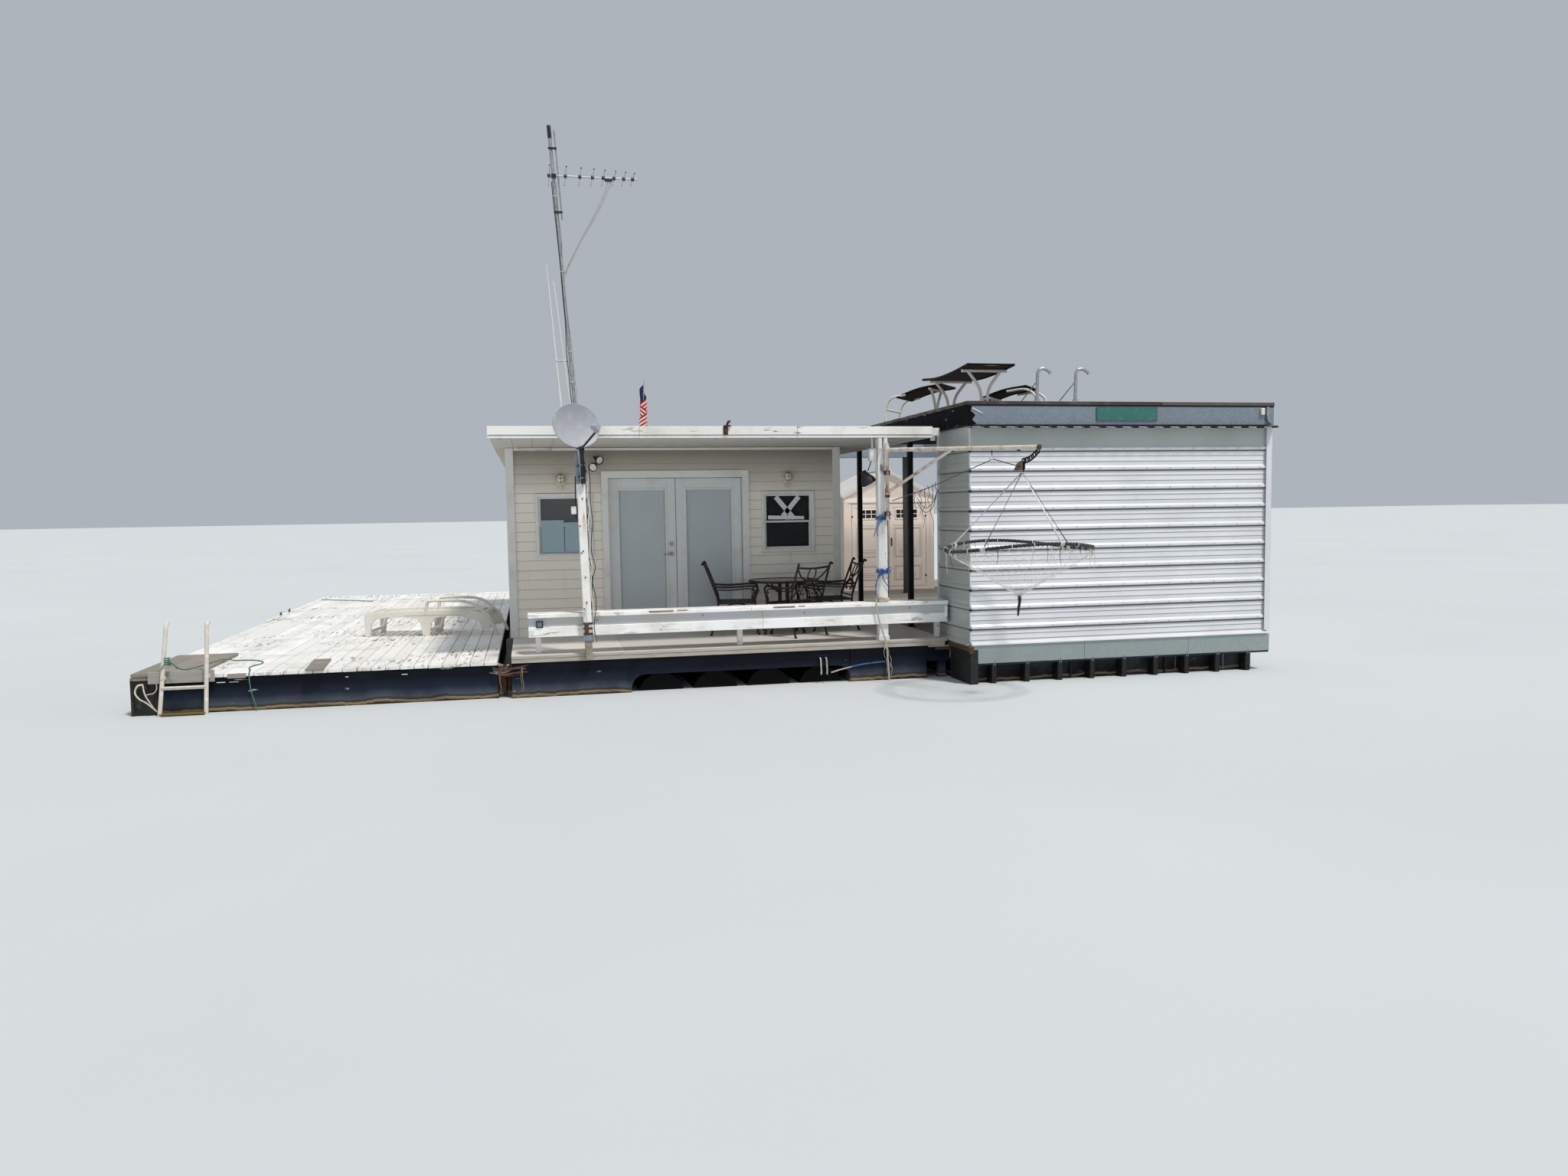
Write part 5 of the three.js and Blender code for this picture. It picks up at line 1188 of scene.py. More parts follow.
def dress_roof():
    """A low roof: coated sheets on top, soffit panels below, and peeling two-step fascia boards."""
    x0, x1, y0, y1 = -0.42, 4.67, -0.01, 8.35
    bm = blank()
    slab(bm, (x0 + 0.012, x1 - 0.012), (y0 + 0.012, y1 - 0.012), (2.882, 2.982), 1)
    panels = 22
    wide = (x1 - x0 - 0.024) / panels
    for i in range(panels):
        start = x0 + 0.012 + i * wide
        slab(bm, (start + 0.001, start + wide - 0.002), (y0 + 0.012, y1 - 0.012), (2.873, 2.883), 1,
             chance.random(), 0.002)
    sheets = 8
    deep = (y1 - y0) / sheets
    for i in range(sheets):
        slab(bm, (x0 + 0.004, x1 - 0.004), (y0 + 0.004 + i * deep, y0 + (i + 1) * deep - 0.004),
             (2.98, 2.996 - 0.003 * (i % 2)), 2, chance.random(), 0.003)
        slab(bm, (x0 + 0.006, x1 - 0.006), (y0 + i * deep - 0.03 if i else y0 + 0.01, y0 + i * deep + 0.05),
             (2.99, 2.999), 2, 0.9, 0.002)

    def fascia(x, y, stops):
        """Two boards down one edge: the lower one set back."""
        along_x = abs(x[1] - x[0]) > 1
        for start, end in zip(stops, stops[1:]):
            for z, out, tone in (((2.905, 3.0), 0.012, chance.random()), ((2.87, 2.9), 0.002, 0.8)):
                if along_x:
                    front = (y[0] - out, y[0] + 0.012) if y[0] < 1 else (y[0] - 0.012, y[0] + out)
                    slab(bm, (start, end - 0.003), front, z, 0, tone, 0.004)
                else:
                    front = (x[0] - out, x[0] + 0.012) if x[0] < 1 else (x[0] - 0.012, x[0] + out)
                    slab(bm, front, (start, end - 0.003), z, 0, tone, 0.004)

    fascia((x0, x1), (y0, y0), [x0 - 0.012, 1.22, 3.04, x1 + 0.015])
    fascia((x0, x1), (y1, y1), [x0 - 0.012, 1.9, x1 + 0.015])
    fascia((x0, x0), (y0, y1), [y0, 2.6, 5.4, y1])
    fascia((x1, x1), (y0, y1), [y0, 3.1, 6.0, y1])
    piece("fascia_soffit_and_roofing", bm, ["fascia_paint", "soffit", "roof_coat"], replaces=["cabin_roof"])

    bm = blank()
    profile = [(0.014, 0.09), (0.014, 0.0), (0.075, 0.0), (0.09, 0.02), (0.108, 0.045), (0.108, 0.09),
               (0.098, 0.09), (0.098, 0.05), (0.07, 0.01), (0.024, 0.01), (0.024, 0.09)]
    plate(bm, profile, 8.3, turn=placed((x1, 0.02, 2.895)))
    slab(bm, (x1 + 0.014, x1 + 0.108), (0.008, 0.02), (2.893, 2.985), edge=0.003)
    pole(bm, (x1 + 0.055, 0.09, 2.84), (x1 + 0.055, 0.09, 2.897), 0.032, sides=16)
    piece("roof_gutter", bm, ["trim"])

    bm = blank()
    slab(bm, (2.17, 2.225), (-0.034, -0.0225), (2.9, 3.0), edge=0.003)
    slab(bm, (2.18, 2.26), (-0.05, 0.02), (3.0, 3.012), edge=0.003)
    tube(bm, rounded([(2.215, -0.03, 3.01), (2.225, -0.04, 3.05), (2.25, -0.03, 3.055)], 0.02), 0.014, 1)
    pole(bm, (2.2, -0.046, 2.95), (2.2, -0.034, 2.95), 0.012, sides=6)
    piece("fascia_bracket", bm, ["rust", "dark_steel"])


# Mast, aerial and dish

def dress_mast():
    """Jointed aluminium tube with its whip, clamps and taped coaxial cables."""
    foot, head = Vector((0.57, -0.112, 2.38)), Vector((0.32, -0.112, 6.2))

    def at(z):
        return foot.lerp(head, (z - foot.z) / (head.z - foot.z))

    bm = blank()
    pole(bm, foot, head, 0.0185, sides=20)
    for z in (3.6, 4.9):
        pole(bm, at(z - 0.06), at(z + 0.06), 0.0225, sides=20)
    pole(bm, at(6.06), at(6.19), 0.021, 2, sides=20)
    side = Vector((0.052, 0.0, 0))
    pole(bm, at(5.2) + side, at(6.15) + side, 0.008)
    for z in (5.28, 5.95):
        slab(bm, (at(z).x - 0.03, at(z).x + 0.062), (-0.14, -0.1315), near(z, 0.012), 2, edge=0.002)
    whip_foot, whip_head = Vector((0.372, -0.112, 3.15)), Vector((0.255, -0.112, 4.73))
    pole(bm, whip_foot, whip_head, 0.009, 1, tip=0.004)
    pole(bm, whip_foot, whip_foot.lerp(whip_head, 0.14), 0.014, 1)
    pole(bm, (0.47, -0.118, 3.2), (0.325, -0.118, 4.55), 0.005, 1)
    for z, reach in ((3.2, 0.372), (3.7, 0.33)):
        pole(bm, (at(z).x, -0.112, z), (reach, -0.112, z), 0.011)
    for z in (2.44, 2.56):
        slab(bm, near(at(z).x, 0.034), (-0.112, -0.0903), near(z, 0.014), 2, edge=0.002)
        for out in (-0.027, 0.027):
            pole(bm, (at(z).x + out, -0.145, z), (at(z).x + out, -0.1, z), 0.004, 2, sides=6)
    slab(bm, near(at(3.46).x, 0.026), (-0.139, -0.0905), (3.45, 3.475), edge=0.004)
    piece("jointed_mast", bm, ["aluminium", "white_fitting", "dark_steel"], replaces=["antenna_mast"])

    bm = blank()
    for sway, finish in ((-0.024, 0), (0.023, 1)):
        points = [at(z) + Vector((sway + chance.uniform(-0.012, 0.014), -0.016, 0))
                  for z in (5.6, 5.3, 5.0, 4.7, 4.4, 4.1, 3.8, 3.5, 3.25)]
        tube(bm, [*points, (0.54, -0.136, 3.0), (0.58, -0.136, 2.66), (0.6, -0.1, 2.4)], 0.0045, finish, 0.3,
             6, 5)
    for sway in (0.0, 0.028):
        tube(bm, [(0.93 + sway, -0.143, 5.645), (0.925 + sway, -0.143, 5.58), (0.8 + sway * 0.8, -0.143, 5.3),
                  (0.62 + sway * 0.5, -0.143, 4.98), (0.46 + sway * 0.4, -0.14, 4.66), (0.425, -0.137, 4.5)],
             0.005, 1, 0.3, 6, 6)
    for z in (5.45, 4.65, 3.8):
        slab(bm, near(at(z).x, 0.026), (-0.135, -0.091), near(z, 0.006), 1, edge=0.003)
    piece("mast_cables", bm, ["black", "twine"])

    # Aerial elements: place along the boom, half length
    elements = [(0.02, 0.38), (0.2, 0.35), (0.36, 0.33), (0.5, 0.31), (0.62, 0.29), (0.74, 0.27),
                (0.85, 0.25), (0.95, 0.23)]
    bm = blank()
    y, z = -0.1423, 5.66
    pole(bm, (0.29, y, z), (1.25, y, z), 0.0105, sides=16)
    for part, half in elements:
        x = 0.29 + part * 0.96
        slab(bm, near(x, 0.016), near(y, 0.022), near(z, 0.016), 1, edge=0.003)
        pole(bm, (x, y - half, z), (x, y + half, z), 0.0055, sides=8)
        for end in (-half, half):
            pole(bm, (x, y + end * 0.99, z), (x, y + end, z), 0.0075, 1, sides=8)
    slab(bm, (0.333, 0.385), (y - 0.014, -0.094), near(z, 0.02), 1, edge=0.002)
    slab(bm, (0.9, 0.98), near(y, 0.02), (z - 0.035, z - 0.01), 1, edge=0.004)
    piece("boom_aerial", bm, ["aluminium", "dark_steel"], replaces=["tv_aerial"])


def dress_dish():
    """A pressed oval dish with a rolled rim, and its feed arm."""
    stand = placed((0.486, -0.345, 2.97), Z=0.56, X=-0.14)
    bowl = [(i / 10, (i / 10) ** 2 * 0.062) for i in range(11)]
    reach = 0.296
    front = [(r * reach, d) for r, d in bowl]
    rear = [(r * reach, d - 0.004) for r, d in reversed(bowl)]
    rim = [(0.3, 0.06), (0.3, 0.052), (reach, 0.054)]
    bm = blank()
    lathe(bm, [*front, *rim, *rear[1:]], steps=64, turn=stand @ Matrix.Diagonal((1, 1, 0.8,
                                                                                 1)) @ placed(X=TURN / 4))
    piece("oval_dish", bm, ["dish"], replaces=["satellite_dish"], sharp=50)

    bm = blank()
    tube(bm, rounded([(0, 0.03, -0.1), (0, 0.0, -0.232), (0, -0.12, -0.25), (0, -0.4, -0.13)], 0.05, 5),
         0.012, oval=(1, 1.5))
    slab(bm, (-0.018, 0.018), (-0.43, -0.37), (-0.145, -0.1), 1, edge=0.006)
    lathe(bm, [(0, -0.05), (0.028, -0.05), (0.028, 0.02), (0.034, 0.03), (0.034, 0.05), (0, 0.056)], 1,
          steps=20, turn=placed((0, -0.4, -0.085), X=-TURN / 4 + 0.25))
    slab(bm, (-0.09, 0.09), (0.0095, 0.014), (-0.1, 0.1), edge=0.002)
    for x in (-0.06, 0.06):
        for z in (-0.07, 0.07):
            pole(bm, (x, 0.006, z), (x, 0.022, z), 0.008, 2, sides=6)
    piece("dish_feed_arm", bm, ["dark_steel", "dish", "steel"], turn=stand)


# Davit and its net: metres along the arm from the pivot, which swings with the davit's body

PIVOT, REST_ANGLE = (4.115, -0.02), 1.061
SWING = placed((*PIVOT, 0), Z=-REST_ANGLE)
HANG, HOOP_HIGH, HOOP_WIDE = 1.884, 1.61, 0.765
APEX = HANG + 0.045


def link(bm, middle, turn, size, thick, material):
    """One chain link, long way up."""
    hoop(bm, (0, 0, 0), size, thick, material, steps=12, sides=6,
         turn=placed(middle, Z=turn, X=TURN / 4) @ Matrix.Diagonal((0.62, 1, 1, 1)))


def dress_davit():
    """The upright pipe on the post, and the swinging arm with its sleeves, brace and chain."""
    bm = blank()
    pole(bm, (*PIVOT, 1.9), (*PIVOT, 2.8), 0.0198, sides=32)
    pole(bm, (*PIVOT, 2.8), (*PIVOT, 2.806), 0.014, sides=32)
    pole(bm, (*PIVOT, 2.17), (*PIVOT, 2.1997), 0.0285, 1, sides=32)
    for z in (1.96, 2.44):
        slab(bm, (4.091, 4.131), (-0.012, 0.04), (z, z + 0.04), 1, edge=0.003)
        frame_ring(bm, (4.088, 4.142), (z - 0.004, z + 0.044), (-0.046, 0.038), 0.005, 1, edge=0.001)
    piece("davit_upright", bm, ["pipe", "rust"], replaces=["davit_post"])

    bm = blank()
    for z0, z1 in ((2.68, 2.77), (2.2, 2.28)):
        ring = [(0.0206, z0), (0.03, z0), (0.0305, (z0 + z1) / 2), (0.03, z1), (0.0206, z1), (0.0206, z0)]
        lathe(bm, ring, steps=32)
    pole(bm, (0.03, 0, 2.725), (2.15, 0, 2.65), 0.024, sides=24)
    pole(bm, (0.03, 0, 2.24), (0.985, 0, 2.685), 0.0175, sides=20)
    pole(bm, (2.13, 0, 2.6507), (2.155, 0, 2.65), 0.027, 1)
    slab(bm, (0.94, 1.02), (-0.006, 0.006), (2.655, 2.7), 1, edge=0.003)
    slab(bm, near(HANG, 0.022), (-0.008, 0.008), (2.622, 2.652), 1, edge=0.004)
    piece("davit_swing_arm", bm, ["pipe", "rust"], "davit", ["davit_arm"], turn=SWING)

    bm = blank()
    for i in range(9):
        share = i / 8
        link(bm, (2.13 - 0.19 * share, 0, 2.614 - 0.1 * share - 0.022 * math.sin(math.pi * share)),
             TURN / 4 * i, 0.026, 0.009, 0)
    block = placed((APEX - 0.01, 0, 2.47))
    cheek = [(-0.085, -0.052), (-0.045, 0.022), (0.0, 0.048), (0.032, 0.04), (0.03, -0.042)]
    for y in (-0.026, 0.018):
        plate(bm, cheek, 0.008, 1, edge=0.003, turn=block @ placed((0, y, 0)))
    lathe(bm, [(0, -0.017), (0.038, -0.017), (0.03, 0), (0.038, 0.017), (0, 0.017)],
          turn=block @ placed((-0.012, 0, -0.01), X=TURN / 4))
    pole(bm, (-0.012, -0.034, -0.01), (-0.012, 0.034, -0.01), 0.008, turn=block)
    tube(bm, [(APEX + 0.005, 0, 2.51), (APEX + 0.02, 0, 2.46), (APEX + 0.012, 0, 2.41),
              (APEX - 0.01, 0, 2.39), (APEX - 0.018, 0, 2.41)], 0.011, smooth=5, tip=0.007)
    piece("rusted_block_and_chain", bm, ["black_scale", "block_rust"], "davit",
          turn=SWING)

    bm = blank()
    tube(bm, [(HANG - 0.03, 0, 2.47), (1.57, 0, 2.545), (1.53, 0, 2.545)], 0.0052, 0, 0.2)
    tube(bm, [(1.53, 0, 2.545), (1.1, 0.008, 2.415), (0.6, 0.02, 2.262), (0.05, 0.03, 2.13)], 0.0052, 0, 0.2,
         8, 4)
    tube(bm, [(1.53, 0, 2.67), (1.532, 0.002, 2.63), (1.53, 0, 2.588)], 0.005, 1, smooth=3)
    for reach, drop, foot in ((0.42, 0.22, 2.22), (0.5, 0.3, 2.25), (0.56, 0.46, 2.27), (0.62, 0.26, 2.29),
                              (0.68, 0.54, 2.31), (0.74, 0.3, 2.33)):
        points = [(reach + chance.uniform(-0.025, 0.025), 0.014 + chance.uniform(-0.01, 0.01),
                   foot - drop * k / 5) for k in range(6)]
        tube(bm, points, 0.0042, 1, 0.4, 6, 4, 0.002)
    for dip in (0.0, 0.05):
        tube(bm, [(0.45, 0.012, 2.16 - dip), (0.56, 0.02, 2.04 - dip), (0.68, 0.02, 2.1 - dip),
                  (0.76, 0.01, 2.24)], 0.0038, 1, 0.3, 6, 5)
    piece("hoist_line_and_threads", bm, ["blue_grey_line", "black"], "davit", turn=SWING)

    bm = blank()
    hoop(bm, (0, 0, 0), 0.026, 0.0075, steps=20, turn=placed((1.53, 0, 2.566), X=TURN / 4))
    piece("pale_line_ring", bm, ["white_fitting"], "davit", turn=SWING)


def dress_net():
    """A bowed hoop wound with dark cord, pale bridles, and a thin knotted net gathered to a dark tail."""
    rim = placed((HANG, 0, HOOP_HIGH))

    def on_hoop(around, out=0.0, up=0.0):
        """A place on the hoop, which sags a little at two sides."""
        across = math.cos(around - REST_ANGLE)
        return Vector(((HOOP_WIDE + out) * math.cos(around), (HOOP_WIDE + out) * math.sin(around),
                       0.055 - 0.085 * across * across + up))

    bm = blank()
    core = [on_hoop(TURN * i / 96) for i in range(97)]
    tube(bm, core, 0.016, turn=rim)
    coil = []
    steps, winds = 896, 112
    for i in range(steps + 1):
        wind = TURN * winds * i / steps
        coil.append(on_hoop(TURN * i / steps, 0.015 * math.cos(wind), 0.015 * math.sin(wind)))
    tube(bm, coil, 0.0065, 0, 0.4, 5, turn=rim)
    for i in range(18):
        around = TURN * i / 18 + chance.uniform(-0.1, 0.1)
        out = placed(on_hoop(around), Z=around, X=TURN / 4)
        hoop(bm, (0, 0, 0), 0.022, 0.0045, 1, 0.9, 12, 6, turn=rim @ out)
    for i in range(22):
        around = TURN * i / 22 + chance.uniform(-0.1, 0.1)
        drop, swing = chance.uniform(0.05, 0.24), chance.uniform(-0.03, 0.03)
        points = [on_hoop(around, 0.004, -0.014), on_hoop(around + swing, 0.012, -0.014 - drop * 0.5),
                  on_hoop(around - swing, 0.0, -0.014 - drop)]
        tube(bm, points, 0.0048, 1 if i % 3 else 0, 0.8, 6, 4, 0.002, turn=rim)
    piece("wound_net_hoop", bm, ["black_cord", "pale_rope"], "davit", ["net_hoop"], turn=SWING)

    bm = blank()
    for around in (1.422, 3.342, 4.878, 5.925):
        spot = on_hoop(around) + Vector((HANG, 0, HOOP_HIGH))
        shade = 1 if around in (1.422, 4.878) else 0
        tube(bm, [(APEX, 0, 2.4), spot + Vector((0, 0, 0.012))], 0.0095 - 0.002 * shade, shade, 0.9, 9,
             lobes=3, lobe=0.12, twist=60)
        for reach in (-0.016, 0.0, 0.016):
            hoop(bm, (0, 0, 0), 0.021, 0.0055, 0, 0.9, 12, 6,
                 turn=placed(spot, Z=around + reach) @ placed((0, reach, 0), X=TURN / 4))
        tube(bm, [spot, spot + Vector((0.01, 0.01, -0.06)), spot + Vector((-0.005, 0.015, -0.13))], 0.005, 0,
             0.8, 6, 4, 0.003)
    hoop(bm, (APEX, 0, 2.396), 0.016, 0.007, 0, 0.6, 12, 6)
    piece("net_bridles", bm, ["white_cord", "blue_grey_line"], "davit", turn=SWING)

    # The net's profile: radius and height, from the hoop down to the gathered end
    profile = [(0.757, 1.602), (0.735, 1.55), (0.67, 1.49), (0.575, 1.435), (0.465, 1.37), (0.37, 1.315),
               (0.28, 1.26), (0.19, 1.205), (0.115, 1.16), (0.06, 1.125), (0.03, 1.1)]
    cells = 44
    rows = 24
    path = smooth_path([(r, 0, z) for r, z in profile], 6)
    bm = blank()
    knots = []
    for j in range(rows + 1):
        spot = path[round(j * (len(path) - 1) / rows)]
        ring = []
        for i in range(cells):
            around = TURN * (i + 0.5 * (j % 2)) / cells
            fold = 0.05 * math.sin(4 * around + 1) + 0.035 * math.sin(11 * around + 0.2 * j)
            pull = 1 + fold * min(j, rows - j) / 8
            lift = on_hoop(around).z * max(0, 1 - j / 8) ** 2
            ring.append(Vector((HANG + spot.x * pull * math.cos(around), spot.x * pull * math.sin(around),
                                spot.z + lift + chance.uniform(-0.006, 0.006))))
        knots.append(ring)
    for j in range(rows):
        shift = j % 2
        for i in range(cells):
            for to in (i + shift, i + shift - 1):
                pole(bm, knots[j][i], knots[j + 1][to % cells], 0.0012, 0, 0.9, 3)
    piece("knotted_net", bm, ["twine"], "davit", ["net_bag"], turn=SWING)

    bm = blank()
    tail = [(HANG, 0, 1.115), (HANG + 0.01, 0, 1.05), (HANG - 0.002, 0, 0.97), (HANG - 0.012, 0, 0.882)]
    tube(bm, tail, 0.025, 0, 0.3, 12, 6, 0.011, lobes=5, lobe=0.15, twist=20)
    for i in range(20):
        around = TURN * i / 20
        reach = chance.uniform(0.03, 0.085)
        high = chance.uniform(0.0, 0.03)
        tube(bm, [(HANG, 0, 1.1), (HANG + reach * 0.6 * math.cos(around), reach * 0.6 * math.sin(around),
                                   1.115 + high), (HANG + reach * math.cos(around), reach * math.sin(around),
                                                   1.07 + high)], 0.0042, 1, 0.9, 6, 4, 0.0015)
    piece("gathered_net_end", bm, ["black_cord", "white_cord"], "davit", turn=SWING)


# Dock house

def dress_dock_frame():
    """Galvanised channels round the roof, cross beams, and black steel posts at the open side."""
    x0, x1, y0, y1, z0, z1 = 4.87, 8.79, -0.67, 7.44, 2.96, 3.2
    bm = blank()
    for x, y in (((x0, x1), (y0, y0 + 0.006)), ((x0, x1), (y1 - 0.006, y1)),
                 ((x0, x0 + 0.006), (y0 + 0.006, y1 - 0.006)), ((x1 - 0.006, x1), (y0 + 0.006, y1 - 0.006))):
        slab(bm, x, y, (z0 + 0.012, z1 - 0.012), 0, chance.random(), 0.002)
    for z in ((z0 + 0.012, z0 + 0.018), (z1 - 0.018, z1 - 0.012)):
        slab(bm, (x0, x1), (y0, y0 + 0.06), z, edge=0.001)
        slab(bm, (x0, x1), (y1 - 0.06, y1), z, edge=0.001)
        slab(bm, (x0, x0 + 0.06), (y0 + 0.06, y1 - 0.06), z, edge=0.001)
        slab(bm, (x1 - 0.06, x1), (y0 + 0.06, y1 - 0.06), z, edge=0.001)
    for y in (1.58, 3.95, 6.32):
        slab(bm, (x0 + 0.02, x1 - 0.02), (y, y + 0.08), (z0 + 0.06, z1 - 0.02), edge=0.004)
    slab(bm, (x0 + 0.02, x1 - 0.02), (7.322, 7.398), (z0 + 0.02, z1 - 0.02), edge=0.004)
    for i in range(5):
        x = x0 + 0.65 + i * 0.66
        slab(bm, (x, x + 0.045), (y0 + 0.06, y1 - 0.06), (z0 + 0.11, z1 - 0.02), edge=0.003)
    for x, y in ((4.96, 1.62), (4.96, 3.99), (4.96, 6.36), (4.96, 7.36), (6.83, 7.36), (8.65, 7.36)):
        slab(bm, near(x, 0.034), near(y, 0.034), (DOCK_TOP, z0 + 0.08), 1, edge=0.006)
        slab(bm, near(x, 0.06), near(y, 0.06), (DOCK_TOP, 0.462), 1, edge=0.002)
    slab(bm, (x0 - 0.006, x0 - 0.0005), (y0, 6.9), (z0 + 0.004, z1), 2, edge=0.002)
    # a black strip along the top of the front channel: painted shadow in the gap under the deck boards
    slab(bm, (x0, x1), (y0 - 0.004, y0 + 0.002), (z1 - 0.014, z1), 1)
    piece("galvanised_roof_frame", bm, ["zinc", "black_steel", "felt"], replaces=["dock_roof_frame"])

    bm = blank()
    # The roof sheet's corrugated edge is drawn black, painted shade on its underside and its high flats'
    # rims; the low flats' rims are white
    pitch, count = 0.206, 19
    edge = [(0.0, 0.0), (0.11, 0.0), (0.125, 0.018), (0.19, 0.018), (0.206, 0.0)]
    for i in range(count):
        start = placed((x0 + 0.003 + i * pitch, y0 - 0.1, z0 - 0.024))
        outline = edge + [(x, z + 0.003) for x, z in reversed(edge)]
        plate(bm, outline, 0.118, 1, 0.9, turn=start)
        slab(bm, (0.006, 0.104), (-0.003, 0.0005), (-0.0005, 0.006), 0, 0.9, turn=start)
        slab(bm, (0.128, 0.187), (-0.003, 0.0005), (0.0175, 0.0215), 1, turn=start)
    # a black strip under the fascia: painted shadow in the gap above the wall
    slab(bm, (x0 + 0.01, x1 - 0.01), (y0 + 0.002, y0 + 0.03), (z0 - 0.006, z0 + 0.005), 1)
    slab(bm, (8.6, 8.65), (y0 - 0.03, y0 - 0.001), (3.09, 3.17), 2, edge=0.006)
    tube(bm, rounded([(8.69, y0 - 0.02, 3.19), (8.69, y0 - 0.02, 3.03), (8.74, y0 - 0.02, 2.985)], 0.03),
         0.014, 3)
    slab(bm, (8.67, 8.71), (y0 - 0.03, y0 - 0.001), (3.1, 3.115), 3, edge=0.002)
    flap = placed((4.96, 0, 3.14), Y=0.45)
    slab(bm, (-0.05, 0.09), (y0 - 0.007, y0 - 0.003), (-0.006, 0.006), 2, edge=0.001, turn=flap)
    plate(bm, [(x0 - 0.004, z0 - 0.002), (x0 + 0.1, z0 + 0.02), (x0 + 0.045, z0 + 0.07),
               (x0 + 0.085, z0 + 0.12), (x0 + 0.03, z0 + 0.17), (x0 + 0.05, z1), (x0 - 0.004, z1)], 0.003, 4,
          turn=placed((0, y0 - 0.0035, 0)))
    piece("fascia_edge_and_bracket", bm, ["sheet", "black", "white_fitting", "aluminium", "felt"])

    low, high = box("roof_deck")
    bm = blank()
    rows = 57
    deep = (high.y - low.y) / rows
    for j in range(rows):
        split = chance.uniform(6.3, 7.4)
        y = low.y + j * deep
        for start, end in ((low.x, split), (split + 0.003, high.x)):
            slab(bm, (start + chance.uniform(0, 0.008), end), (y + 0.003, y + deep - 0.003),
                 (low.z, high.z - chance.uniform(0, 0.002)), 0, chance.random(), 0.003)
    piece("roof_deck_boards", bm, ["deck_edge"], replaces=["roof_deck"])

    low, high = box("blank_sign")
    bm = blank()
    slab(bm, (low.x, high.x), (low.y, high.y), (low.z, high.z), edge=0.002)
    frame_ring(bm, (low.x, high.x), (low.z, high.z), (low.y - 0.002, low.y), 0.008, edge=0.001)
    for x in (low.x + 0.03, high.x - 0.03):
        for z in (low.z + 0.03, high.z - 0.03):
            pole(bm, (x, low.y - 0.005, z), (x, low.y, z), 0.008, 1, sides=8)
    piece("bare_green_plate", bm, ["green_plate", "steel"], replaces=["blank_sign"])


def dress_dock_float():
    """A steel float: smooth upper plates over a black seam, and a lower side set back between black ribs."""
    x0, x1, y0, y1, seam, high = 4.9, 8.78, -0.65, 10.788, 0.228, 0.4095
    bm = blank()
    slab(bm, (x0 + 0.02, x1 - 0.15), (y0 + 0.15, y1), (-DRAFT, seam + 0.002))
    slab(bm, (x0 + 0.004, x1 - 0.004), (y0 + 0.012, y1 - 0.004), (seam, high), 1)
    for start, end in ((x0, 6.32), (6.3225, 7.68), (7.6825, x1)):
        slab(bm, (start, end), (y0 - 0.001, y0 + 0.013), (seam + 0.01, high + 0.038), 1, edge=0.002)
    for i in range(6):
        start = y0 + 0.014 + i * 1.904
        for x in ((x0, x0 + 0.006), (x1 - 0.006, x1)):
            slab(bm, x, (start, start + 1.902), (seam + 0.01, high), 1, edge=0.002)
    slab(bm, (x0 + 0.002, x1 - 0.002), (y0 + 0.003, y0 + 0.06), (seam - 0.012, seam + 0.011), 2, edge=0.003)
    slab(bm, (x1 - 0.06, x1 - 0.003), (y0 + 0.06, y1 - 0.01), (seam - 0.012, seam + 0.011), 2, edge=0.003)
    for i in range(9):
        x = 5.19 + 0.4135 * i
        slab(bm, near(x, 0.03), (y0 + 0.01, y0 + 0.155), (-0.16, seam), 2, edge=0.006)
        tube(bm, [(x - 0.012, y0 + 0.008, seam - 0.02), (x - 0.01, y0 - 0.002, seam + 0.022),
                  (x + 0.01, y0 - 0.002, seam + 0.022), (x + 0.012, y0 + 0.008, seam - 0.02)], 0.005, 3,
             smooth=4)
    for x in (6.21, 7.45):
        slab(bm, near(x, 0.008), (y0 + 0.125, y0 + 0.152), (-0.2, seam), 2, edge=0.003)
    for x in (4.945, 5.6, 6.1, 6.86, 7.6, 8.25, 8.6):
        slab(bm, near(x, 0.004), (y0 + 0.1475, y0 + 0.1505), (-0.25, seam), 3)
    for i in range(13):
        y = y0 + 0.56 + 0.827 * i
        slab(bm, (x1 - 0.155, x1 - 0.01), near(y, 0.03), (-0.16, seam), 2, edge=0.006)
    piece("ribbed_dock_float", bm, ["float_side", "float_zinc", "black_steel", "zinc"],
          replaces=["dock_float"])

    bm = blank()
    # Black sheets at the dock float's left front corner: partly a rubber mat, partly painted shade in the gap
    # between the floats
    slab(bm, (4.892, 4.8995), (-0.645, -0.02), (-0.3, 0.398), edge=0.002)
    slab(bm, (4.892, 4.985), (-0.66, -0.652), (-0.3, 0.4), edge=0.002)
    slab(bm, (4.868, 4.8995), (-0.66, 0.02), (0.385, 0.42), 1, edge=0.006)
    slab(bm, (4.872, 4.93), (-0.672, -0.6515), (0.36, 0.44), 1, edge=0.008)
    piece("dock_corner_mat_and_gap_shade", bm, ["black", "rust"])


